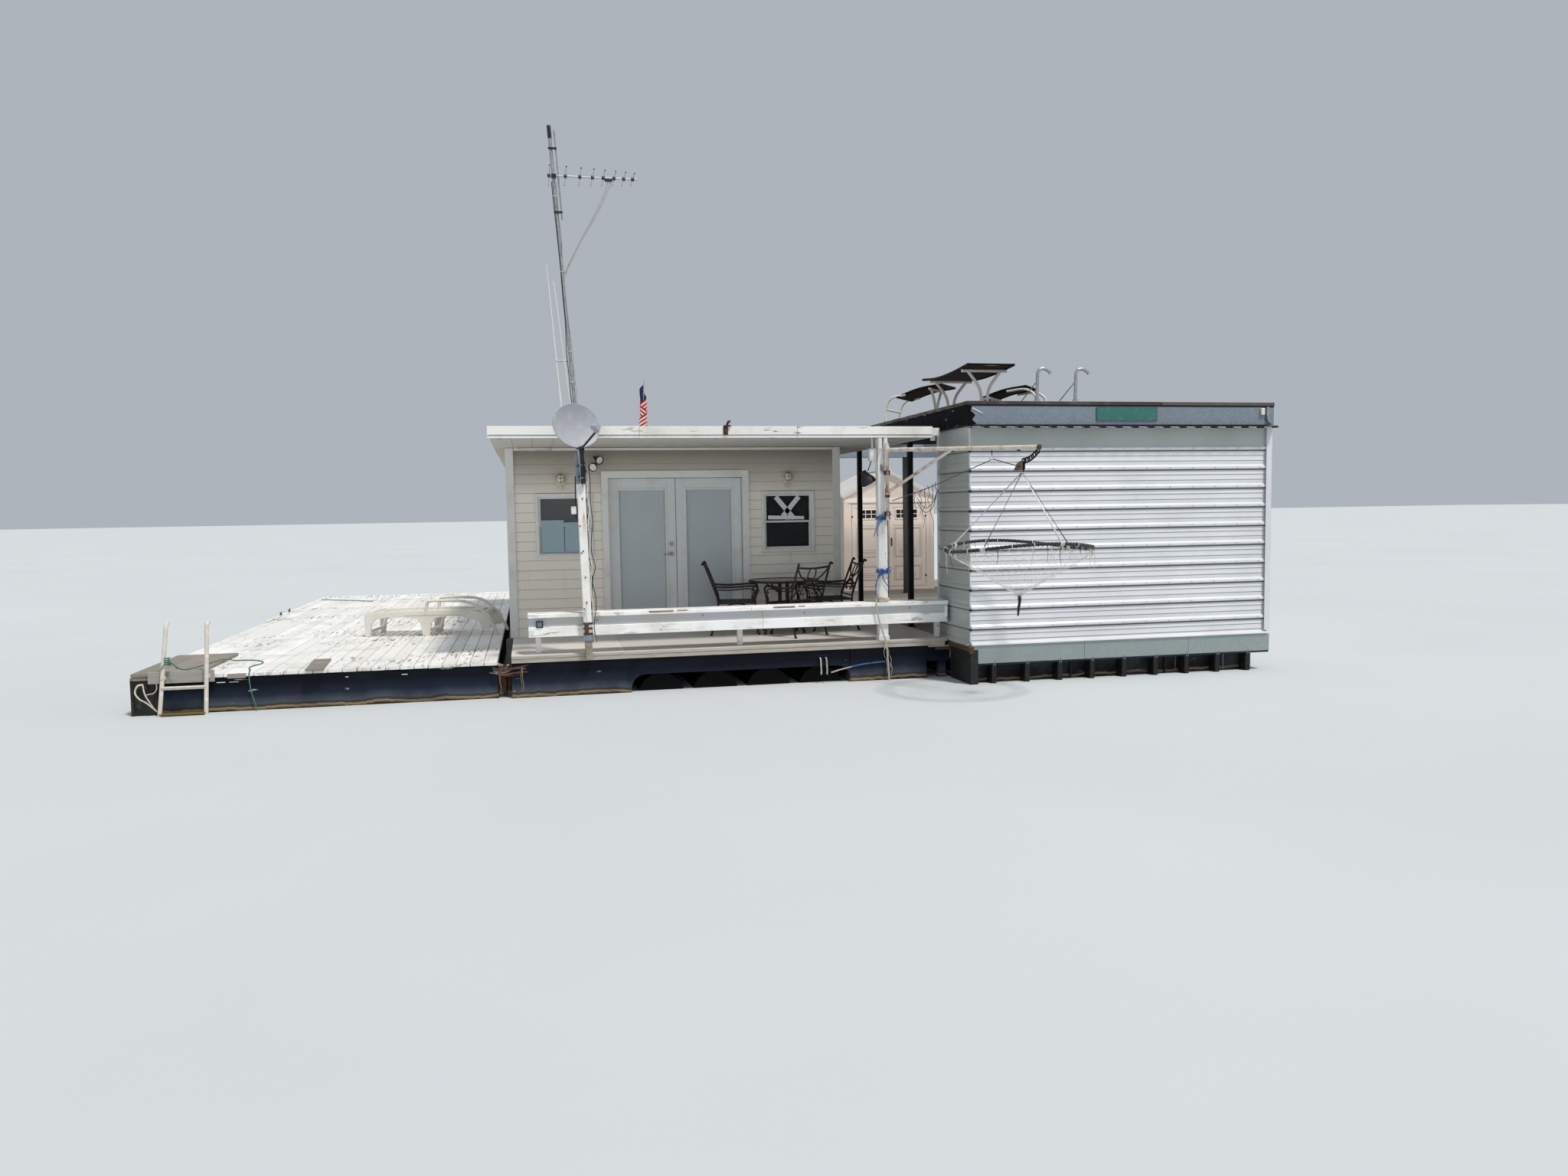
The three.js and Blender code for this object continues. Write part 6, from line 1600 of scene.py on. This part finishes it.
def dress_dock_walls():
    """Ribbed sheets with a low rib pair between main ribs and a painted shadow line under each, corner trims
    and screws.
    """
    low, high, first, pitch = DOCK_TOP, 2.958, 0.635, 0.227

    def sheet(bm, length, turn):
        outline = [(0.022, low), (-0.038, low), (-0.036, low + 0.012), (0, low + 0.04)]
        for i in range(-1, 10):
            z = first + pitch * i
            if i >= 0:
                outline += [(0, z), (-0.019, z + 0.008), (-0.019, z + 0.03), (0, z + 0.055)]
                # painted shadow under each main rib
                slab(bm, (-0.0015, 0), (0, length), (z - 0.015, z - 0.001), 1, turn=turn)
            for rise in (0.1, 0.163) if i < 9 else ():
                outline += [(0, z + rise), (-0.004, z + rise + 0.003), (-0.004, z + rise + 0.014),
                            (0, z + rise + 0.022)]
                # a fainter painted shadow under each low rib
                slab(bm, (-0.0008, 0), (0, length), (z + rise - 0.006, z + rise), 2, turn=turn)
        outline += [(0, high), (0.022, high)]
        plate(bm, outline, length, turn=turn)

    bm = blank()
    sheet(bm, 3.84, placed((8.75, -0.63, 0), Z=TURN / 4))
    # painted shadow of the eaves: a darkened flat strip across the top of the front wall
    slab(bm, (4.912, 8.7), (-0.6312, -0.63), (2.7, 2.957), 3)
    piece("front_ribbed_wall", bm, ["sheet", "rib_shadow", "faint_rib_shadow", "shaded_sheet"],
          replaces=["dock_front_wall"])
    bm = blank()
    # the return wall stands in shade: drawn in the darkened sheet, with darker painted rib shadows
    sheet(bm, 0.9977, placed((4.91, -0.6077, 0)))
    piece("return_ribbed_wall", bm, ["shaded_sheet", "shaded_rib_shadow", "shaded_sheet"], replaces=["dock_return_wall"])

    bm = blank()
    slab(bm, (8.7, 8.775), (-0.665, -0.657), (0.49, 2.956), edge=0.002)
    slab(bm, (8.752, 8.776), (-0.66, -0.58), (0.49, 2.956), edge=0.002)
    slab(bm, (4.9, 4.911), (-0.632, -0.6), (0.49, 2.956), edge=0.002)
    slab(bm, (8.752, 8.776), (7.34, 7.41), (0.49, 2.956), edge=0.002)
    slab(bm, (4.886, 4.933), (0.385, 0.4), (0.47, 2.956), edge=0.002)
    piece("sheet_corner_trims", bm, ["sheet"])

    bm = blank()
    for k in range(10):
        z = first + pitch * k
        for i in range(13):
            x = 5.02 + i * 0.3
            pole(bm, (x, -0.6535, z + 0.019), (x, -0.6485, z + 0.019), 0.0055, sides=6)
        for i in range(26):
            y = -0.5 + i * 0.31
            pole(bm, (8.7685, y, z - 0.105), (8.7735, y, z - 0.105), 0.0055, sides=6)
        slab(bm, (4.893, 4.913), (-0.652, -0.61), (z - 0.018, z + 0.008), 1, edge=0.002)
    piece("sheet_screws", bm, ["steel", "black"])

    low, high = box("dock_deck")
    bm = blank()
    rows = 78
    deep = (high.y - low.y) / rows
    for j in range(rows):
        y = low.y + j * deep
        slab(bm, (low.x, high.x), (y + 0.003, y + deep - 0.003), (low.z, high.z - chance.uniform(0, 0.002)),
             0, chance.random(), 0.003)
    piece("dock_deck_boards", bm, ["dock_board"], replaces=["dock_deck"])


# Loungers: (along, height) runs of the slings' edges, and of the short ones' bowed legs
LONG_SLING = [(-0.82, 0, 0.4925), (-0.3, 0, 0.4525), (0.25, 0, 0.4605), (0.78, 0, 0.4975)]
SHORT_SLING = [(-0.33, 0, 0.3425), (0, 0, 0.4425), (0.33, 0, 0.4825)]
BOW = [(-0.2, 0.374), (-0.42, 0.33), (-0.5, 0.18), (-0.5, 0)]
RIGHT_BOW = [(0.05, 0.425), (0.3, 0.44), (0.44, 0.36), (0.48, 0.2), (0.48, 0)]


def dress_lounger(name, node, x, y, angle, line, forks, bow=()):
    """A brown sling with hemmed edges on white tube. Each fork is a pair of posts under the sling's middle
    that spread out to hold a cross bar; a short lounger also stands on two bowed legs."""
    at = placed((x, y, ROOF_DECK_TOP), Z=angle)
    half = 0.29
    line = smooth_path(line, 6)
    part = bmesh.new()
    bmesh.ops.create_grid(part, x_segments=len(line) - 1, y_segments=8, size=1)
    for vert in part.verts:
        spot = line[round((vert.co.x + 1) / 2 * (len(line) - 1))]
        across = vert.co.y
        vert.co = Vector((spot.x, across * half, spot.z - 0.014 * (1 - across * across)))
    bmesh.ops.recalc_face_normals(part, faces=part.faces)
    bmesh.ops.solidify(part, geom=part.faces[:], thickness=0.0018)
    bmesh.ops.recalc_face_normals(part, faces=part.faces)
    bm = blank()
    join(bm, part)
    made = piece(name + "_sling", bm, ["sling"], turn=at, sharp=60)

    bm = blank()
    for side in (-half, half):
        tube(bm, [(p.x, side, p.z) for p in line], 0.014, 1, sides=10, oval=(1, 1.3))
    for end in (0, -1):
        tube(bm, [(line[end].x, -half, line[end].z), (line[end].x, half, line[end].z)], 0.0125, 1, sides=10)
    for place in forks:
        level = min(line, key=lambda p: abs(p.x - place)).z - 0.03
        tube(bm, [(place, -half, level), (place, half, level)], 0.018, sides=12)
        for side in (-1, 1):
            tube(bm, rounded([(place, side * 0.215, level), (place, side * 0.04, 0.23),
                              (place, side * 0.04, 0)], 0.12, 6), 0.019, sides=12)
        pole(bm, (place, 0, 0.0), (place, 0, 0.008), 0.068, sides=20)
        slab(bm, near(place, 0.008), (-0.04, 0.04), (0.1, 0.125), edge=0.003)
    if bow:
        for side in (-half, half):
            tube(bm, [(x, side, z) for x, z in bow], 0.0175, 0, 0.5, 12, 6)
            pole(bm, (bow[-1][0], side, 0.0), (bow[-1][0], side, 0.014), 0.022, 2)
        tube(bm, [(bow[-2][0], -half, bow[-2][1]), (bow[-2][0], half, bow[-2][1])], 0.0125, sides=10)
    piece(name + "_tubes", bm, ["white_tube", "sling", "black"], replaces=[node], turn=at)


def dress_roof_rails():
    """Two hooked handrails with thin braces, and a foot plate."""
    bm = blank()
    y, top = -0.56, ROOF_DECK_TOP
    slab(bm, (5.7, 6.31), (-0.6, -0.52), (top, top + 0.01), edge=0.002)
    for x in (5.76, 6.24):
        tube(bm, rounded([(x, y, top + 0.008), (x + 0.008, y, top + 0.36), (x + 0.07, y, top + 0.395),
                          (x + 0.15, y, top + 0.36), (x + 0.17, y, top + 0.33)], 0.06, 5), 0.0185, sides=16)
        tube(bm, [(x - 0.09, y + 0.28, top + 0.006), (x, y, top + 0.24)], 0.006)
        pole(bm, (x, y, top + 0.008), (x, y, top + 0.03), 0.032, sides=20)
        for dx in (-0.03, 0.03):
            pole(bm, (x + dx, y, top + 0.008), (x + dx, y, top + 0.018), 0.007, 1, sides=6)
    piece("hooked_handrails", bm, ["aluminium", "steel"], replaces=["roof_handrails"])


# Shed

def dress_shed():
    """Moulded resin trims on the shed, and two panelled doors with small barred lights."""
    x0, x1, y0, eaves, ridge = 5.87, 7.70, 8.19, 2.28, 2.72
    middle = (x0 + x1) / 2
    bm = blank()
    for x in (x0, x1 - 0.09):
        slab(bm, (x, x + 0.09), (y0 - 0.012, y0 - 0.0005), (0.455, eaves - 0.02), edge=0.005)
    slab(bm, (x0, x1), (y0 - 0.014, y0 - 0.0005), (DOCK_TOP, 0.51), edge=0.004)
    slab(bm, (x0 + 0.02, x1 - 0.02), (y0 - 0.016, y0 - 0.0005), (2.15, 2.23), 1, edge=0.005)
    drop = (ridge - eaves) / (x1 - middle)
    for side in (-1, 1):
        for lift, wide, out in ((-0.03, 0.05, 0.05), (-0.1, 0.02, 0.014)):
            points = [(middle, ridge + lift), (middle + side * (x1 - middle + 0.03),
                                               eaves - drop * 0.03 + lift),
                      (middle + side * (x1 - middle + 0.03), eaves - drop * 0.03 + lift + wide),
                      (middle, ridge + lift + wide)]
            plate(bm, points[::side], out, 1, 0.9, turn=placed((0, y0 - out - 0.0006, 0)))
    for i in range(9):
        z = 0.62 + 0.19 * i
        for x, out in ((x0, -1), (x1, 1)):
            slab(bm, (x, x + out * 0.006), (y0 + 0.1, 10.14), (z, z + 0.16), edge=0.003)
    piece("shed_trims", bm, ["resin", "shed_trim"])

    bm = blank()
    count = 14
    length = math.hypot(x1 - middle + 0.06, ridge - eaves + drop * 0.06)
    for side in (-1, 1):
        for i in range(count):
            share = (i + 0.5) / count
            x = middle + side * (x1 - middle + 0.06) * share
            z = 2.77 - (0.49 + drop * 0.06) * share
            slab(bm, (-length / count / 2, length / count / 2), (y0 - 0.06, 10.28), (0.0, 0.006), 0,
                 chance.random(), 0.002, placed((x, 0, z - 0.002), Y=side * math.atan(drop)))
    slab(bm, near(middle, 0.05), (y0 - 0.065, 10.285), (2.765, 2.782), 0, 0.8, 0.004)
    piece("shed_roof_shingles", bm, ["resin_roof"])

    wide, high = 0.745, 1.598
    for side, edge, sign in (("left", 6.036, 1), ("right", 7.534, -1)):
        def across(start, end):
            return sorted((sign * start, sign * end))

        bm = blank()
        slab(bm, across(0, wide), (0.008, 0.034), (0, high), edge=0.003)
        frame_ring(bm, across(0, wide), (0, high), (0, 0.009), 0.075, edge=0.004)
        slab(bm, across(0.075, wide - 0.075), (0, 0.009), (1.18, 1.26), edge=0.003)
        slab(bm, across(0.075, wide - 0.075), (0, 0.009), (0.44, 0.52), edge=0.003)
        # panel outlines and lines take the dark groove resin: painted shade in the recesses
        for z in ((0.1, 0.41), (0.55, 1.15)):
            for inset in (0.02, 0.05):
                frame_ring(bm, across(0.075 + inset, wide - 0.075 - inset),
                           (z[0] + inset * 0.6, z[1] - inset * 0.6), (0.003, 0.0095), 0.008, 4)
            for i in range(3):
                line = z[0] + 0.08 + 0.035 * i
                slab(bm, across(0.2, wide - 0.2), (0.003, 0.009), (line, line + 0.008), 4, edge=0.002)
        light = across(0.16, wide - 0.12)
        frame_ring(bm, light, (1.3, 1.5), (-0.006, 0.01), 0.022, 1, edge=0.003)
        slab(bm, (light[0] + 0.02, light[1] - 0.02), (0.004, 0.0085), (1.32, 1.48), 2)
        for i in (1, 2, 3):
            x = light[0] + (light[1] - light[0]) * i / 4
            slab(bm, near(x, 0.006), (-0.003, 0.006), (1.32, 1.48), 1, edge=0.001)
        slab(bm, light, (-0.003, 0.006), (1.394, 1.406), 1, edge=0.001)
        for z in (0.14, 1.3):
            start = z - 0.006 + 0.0403
            pole(bm, (-sign * 0.003, -0.007, start), (-sign * 0.003, -0.007, start + 0.04), 0.0066, 3)
            slab(bm, across(-0.003, 0.023), (-0.0045, 0.002), (start, start + 0.04), 3, edge=0.001)
        slab(bm, across(wide - 0.055, wide - 0.025), (-0.018, 0.001), (0.78, 0.94), 3, edge=0.006)
        piece(side + "_shed_leaf", bm, ["resin", "shed_trim", "dark_room", "dark_steel", "groove_shade_resin"],
              side + "_shed_door", ["shed_door_" + side], turn=placed((edge, y0, 0.526)))


# Furniture

def dress_chair(name, node, x, y, angle):
    """A cast patio armchair: bowed legs with hooked feet, double arm rails that scroll down in front, and a
    leaning back whose straps meet in a ring."""
    at = placed((x, y, PORCH_TOP), Z=angle)
    bm = blank()

    def lean(h):
        """How far back the chair's back stands at a height."""
        return 0.252 + max(0, h - 0.45) * 0.27 + max(0, h - 0.6) * 0.13

    for side in (-1, 1):
        s = side * 0.254
        tube(bm, [(s, 0.352, 0.012), (s, 0.334, 0.01), (s, 0.318, 0.07), (s, 0.27, 0.24), (s, 0.247, 0.42),
                  (s, lean(0.55), 0.55), (s, lean(0.72), 0.72), (s, lean(0.89), 0.89),
                  (s * 1.02, 0.421, 0.912), (s * 1.05, 0.437, 0.905)], 0.0135, 0, 0.5, 10, 5)
        lathe(bm, [(0, -0.018), (0.014, -0.01), (0.018, 0), (0.014, 0.01), (0, 0.018)], steps=12,
              turn=placed((s * 1.05, 0.435, 0.903)))
        tube(bm, [(s, lean(0.63), 0.615), (s, 0.1, 0.606), (s, -0.14, 0.618), (s, -0.236, 0.612),
                  (s, -0.262, 0.565), (s, -0.236, 0.5), (s, -0.222, 0.42), (s, -0.242, 0.22),
                  (s, -0.25, 0.05), (s, -0.262, 0.012), (s, -0.278, 0.016)], 0.0135, 0, 0.5, 10, 5)
        tube(bm, [(s, lean(0.58), 0.575), (s, 0.1, 0.57), (s, -0.12, 0.586), (s, -0.195, 0.575),
                  (s, -0.212, 0.545), (s, -0.2, 0.525), (s, -0.185, 0.535)], 0.0085, 0, 0.5, 8, 5)
        tube(bm, [(s, -0.19, 0.42), (s, -0.195, 0.47), (s, -0.225, 0.515)], 0.008, 0, 0.5, 8, 4)
        tube(bm, [(s, -0.24, 0.24), (s, -0.08, 0.345), (s, 0.1, 0.345), (s, 0.268, 0.25)], 0.008, 0, 0.5, 8,
             5)
    for y1 in (-0.226, 0.24):
        tube(bm, [(-0.254, y1, 0.408), (0.254, y1, 0.408)], 0.012)
    for side in (-0.254, 0.254):
        tube(bm, [(side, -0.226, 0.408), (side, 0.24, 0.408)], 0.012)
    for i in range(9):
        x1 = -0.2 + 0.05 * i
        slab(bm, near(x1, 0.014), (-0.226, 0.238), (0.406, 0.411), edge=0.0015)
    for i in range(7):
        y1 = -0.18 + 0.06 * i
        slab(bm, (-0.25, 0.25), near(y1, 0.012), (0.4115, 0.416), edge=0.0015)

    def back(points, thick):
        """A bar in the leaning back, from (across, height) points."""
        tube(bm, [(a, lean(h), h) for a, h in points], thick, 0, 0.5, 8, 5)

    back([(-0.254, 0.865), (-0.12, 0.852), (0, 0.848), (0.12, 0.852), (0.254, 0.865)], 0.0125)
    back([(-0.25, 0.855), (-0.17, 0.755), (-0.07, 0.7), (0, 0.69), (0.07, 0.7), (0.17, 0.755), (0.25, 0.855)],
         0.0105)
    back([(-0.25, 0.47), (-0.17, 0.585), (-0.07, 0.645), (0, 0.655), (0.07, 0.645), (0.17, 0.585),
          (0.25, 0.47)], 0.0105)
    for side in (-1, 1):
        back([(side * 0.045, 0.84), (side * 0.06, 0.76), (side * 0.03, 0.705)], 0.008)
        back([(side * 0.02, 0.65), (side * 0.09, 0.6), (side * 0.12, 0.545), (side * 0.085, 0.52),
              (side * 0.065, 0.545)], 0.0085)
    back([(-0.25, 0.455), (0.25, 0.455)], 0.01)
    boss = placed((0, lean(0.672) - 0.012, 0.672), X=TURN / 4 - 0.35)
    hoop(bm, (0, 0, 0), 0.045, 0.009, steps=20, turn=boss @ Matrix.Diagonal((1.3, 1, 1, 1)))
    piece(name, bm, ["iron"], replaces=[node], turn=at)


def dress_table():
    """A round glass top in a thick dark rim, on four rods gathered round a small shelf, with spread feet."""
    at = placed((3.16, 1.4, 0))
    bm = blank()
    lathe(bm, [(0.42, 1.126), (0.446, 1.122), (0.455, 1.132), (0.455, 1.142), (0.447, 1.15), (0.43, 1.15),
               (0.42, 1.145), (0.42, 1.126)], steps=64)
    lathe(bm, [(0.0, 1.139), (0.422, 1.139), (0.422, 1.145), (0.0, 1.145)], 1, steps=64)
    hoop(bm, (0, 0, 1.13), 0.3, 0.008, steps=36, sides=6)
    lathe(bm, [(0, 0.76), (0.08, 0.76), (0.088, 0.768), (0.08, 0.777), (0, 0.777)])
    for i in range(4):
        turn = placed(Z=TURN * (i + 0.5) / 4)
        slab(bm, (0.03, 0.425), (-0.012, 0.012), (1.122, 1.138), edge=0.003, turn=turn)
        tube(bm, rounded([(0.07, 0, 1.13), (0.07, 0, 0.75), (0.3, 0, 0.5)], 0.12, 6), 0.0135, sides=10,
             turn=turn)
        tube(bm, [(0.078, 0, 0.98), (0.16, 0, 1.03), (0.24, 0, 1.075), (0.3, 0, 1.124)], 0.009, 0, 0.5, 8, 5,
             turn=turn)
        pole(bm, (0.3, 0, PORCH_TOP), (0.3, 0, 0.505), 0.019, turn=turn)
    piece("round_glass_table", bm, ["iron", "table_glass"], replaces=["patio_table"],
          turn=at)


def dress_chaise():
    """A moulded white lounge: slatted bed, arched side frames, and swept arms at the head."""
    at = placed((-1.24, 3.45, SUN_TOP), Z=-0.2)
    bm = blank()
    arch = [(-0.94, 0), (-0.87, 0), (-0.85, 0.17), (-0.79, 0.235), (-0.6, 0.262), (-0.36, 0.262),
            (-0.24, 0.235), (-0.19, 0.17), (-0.165, 0), (-0.07, 0), (-0.045, 0.17), (0.02, 0.245),
            (0.2, 0.268), (0.45, 0.25), (0.6, 0.19), (0.64, 0.09), (0.755, 0.09), (0.77, 0.21), (0.72, 0.3),
            (0.5, 0.335), (0.1, 0.345), (-0.4, 0.345), (-0.88, 0.33), (-0.94, 0.29)]
    sweep_arm = [(-0.115, 0.3), (-0.095, 0.44), (-0.05, 0.475), (0.2, 0.475), (0.4, 0.462), (0.55, 0.41),
                 (0.68, 0.29), (0.79, 0.12), (0.845, 0.0)]
    for side in (-1, 1):
        plate(bm, arch, 0.04, edge=0.006, turn=placed((0, side * 0.31 - 0.02, 0)))
        tube(bm, [(x, side * 0.31, z) for x, z in sweep_arm], 0.02, 0, 0.5, 12, 5, oval=(1.7, 1),
             side=(0, 1, 0))
    for i in range(15):
        x = -0.9 + 0.1 * i
        z = 0.325 - 0.03 * math.sin(math.pi * (x + 0.9) / 1.5)
        slab(bm, (x, x + 0.075), (-0.292, 0.292), (z, z + 0.016), edge=0.005)
    slab(bm, (-0.93, -0.89), (-0.3, 0.3), (0.28, 0.33), edge=0.008)
    slab(bm, (0.62, 0.66), (-0.3, 0.3), (0.24, 0.32), edge=0.008)
    for x in (-0.9, -0.12):
        slab(bm, (x, x + 0.02), (-0.3, 0.3), (0.05, 0.09), edge=0.006)
    for side in (-1, 1):
        slab(bm, (-0.4, 0.46), (side * 0.331, side * 0.336), (0.285, 0.315), edge=0.002)
    piece("moulded_white_chaise", bm, ["white_resin"], replaces=["white_chaise"], turn=at)


def dress_flag():
    """A small striped flag hanging limp in folds from its stick, its lower corner on the roof."""
    foot = Vector((1.34, 0.79, CABIN_ROOF_TOP))
    top = foot + Vector((0.025, 0, 0.59))
    bm = blank()
    slab(bm, (1.3, 1.38), (0.75, 0.83), (foot.z, foot.z + 0.03), 1, edge=0.004)
    pole(bm, foot + Vector((0, 0, 0.01)), top, 0.006)
    lathe(bm, [(0, -0.008), (0.009, 0), (0, 0.008)], steps=12, turn=placed(top))
    piece("flag_stick", bm, ["tan_board", "zinc"], replaces=["flag"])

    fly, hoist, stripes = 0.457, 0.305, 13
    folds, steps = 5, 20
    part = bmesh.new()
    bmesh.ops.create_grid(part, x_segments=folds * steps, y_segments=stripes * 2, size=1)
    for vert in part.verts:
        u, v = (vert.co.x + 1) / 2, (1 - vert.co.y) / 2
        swing = (0.03 + 0.017 * u) * (math.cos(folds * math.pi * u) - 1 + 0.85 * min(1, 3 * u))
        x = top.x + 0.003 + swing - 0.016 * u - 0.003 * math.sin(9 * v + 5 * u)
        y = 0.796 - 0.03 * u + 0.002 * math.sin(7 * v + 9 * u)
        z = top.z - 0.015 - v * hoist - 0.43 * u
        laid = max(0, foot.z + 0.004 + 0.006 * u - z)
        vert.co = Vector((x, y - laid, z + laid))
    for face in part.faces:
        face.normal_update()
    bmesh.ops.recalc_face_normals(part, faces=part.faces)
    for i, face in enumerate(part.faces):
        column, row = i % (folds * steps), i // (folds * steps)
        from_top = stripes * 2 - 1 - row
        face.material_index = 2 if column < 0.4 * folds * steps and from_top < 14 else (from_top // 2) % 2
    bmesh.ops.solidify(part, geom=part.faces[:], thickness=0.0006)
    bm = blank()
    join(bm, part, None)
    cloth = piece("limp_striped_flag", bm, ["flag_red", "flag_white", "flag_blue"],
                  sharp=60)


place_camera()
place_lights()
place_floor()
paint_nodes()
lay_rope("green_deck_rope", "deck_rope", DECK_ROPE, 0.007, "green_rope")
lay_rope("pale_rail_rope", "rail_rope", RAIL_ROPE, 0.01, "pale_rope")
dress_sun_deck()
dress_corner_step()
dress_ladder()
dress_cabin_float()
dress_couplings()
dress_porch_deck()
dress_cabin_corners()
dress_windows()
dress_door_leaf("left", 0.99, 1)
dress_door_leaf("right", 2.73, -1)
dress_bench()
dress_posts()
dress_lights()
dress_roof()
dress_mast()
dress_dish()
dress_davit()
dress_net()
dress_dock_frame()
dress_dock_float()
dress_dock_walls()
dress_lounger("long_lounger", "roof_lounger_1", 5.435, 0.78, -TURN / 4, LONG_SLING, (-0.56, 0.56))
dress_lounger("left_short_lounger", "roof_lounger_2", 5.49, 2.44, -0.684, SHORT_SLING, (0.15,), BOW)
dress_lounger("right_short_lounger", "roof_lounger_3", 6.78, 2.54, -0.684, SHORT_SLING, (-0.2,), RIGHT_BOW)
dress_roof_rails()
dress_shed()
for side, x, y, angle in (("left", 2.57, 1.48, TURN / 4 - 0.18), ("front", 3.205, 1.03, 3.604),
                          ("right", 3.79, 1.53, -TURN / 4)):
    dress_chair(f"iron_armchair_{side}", f"patio_chair_{side}", x, y, angle)
dress_table()
dress_chaise()
dress_flag()
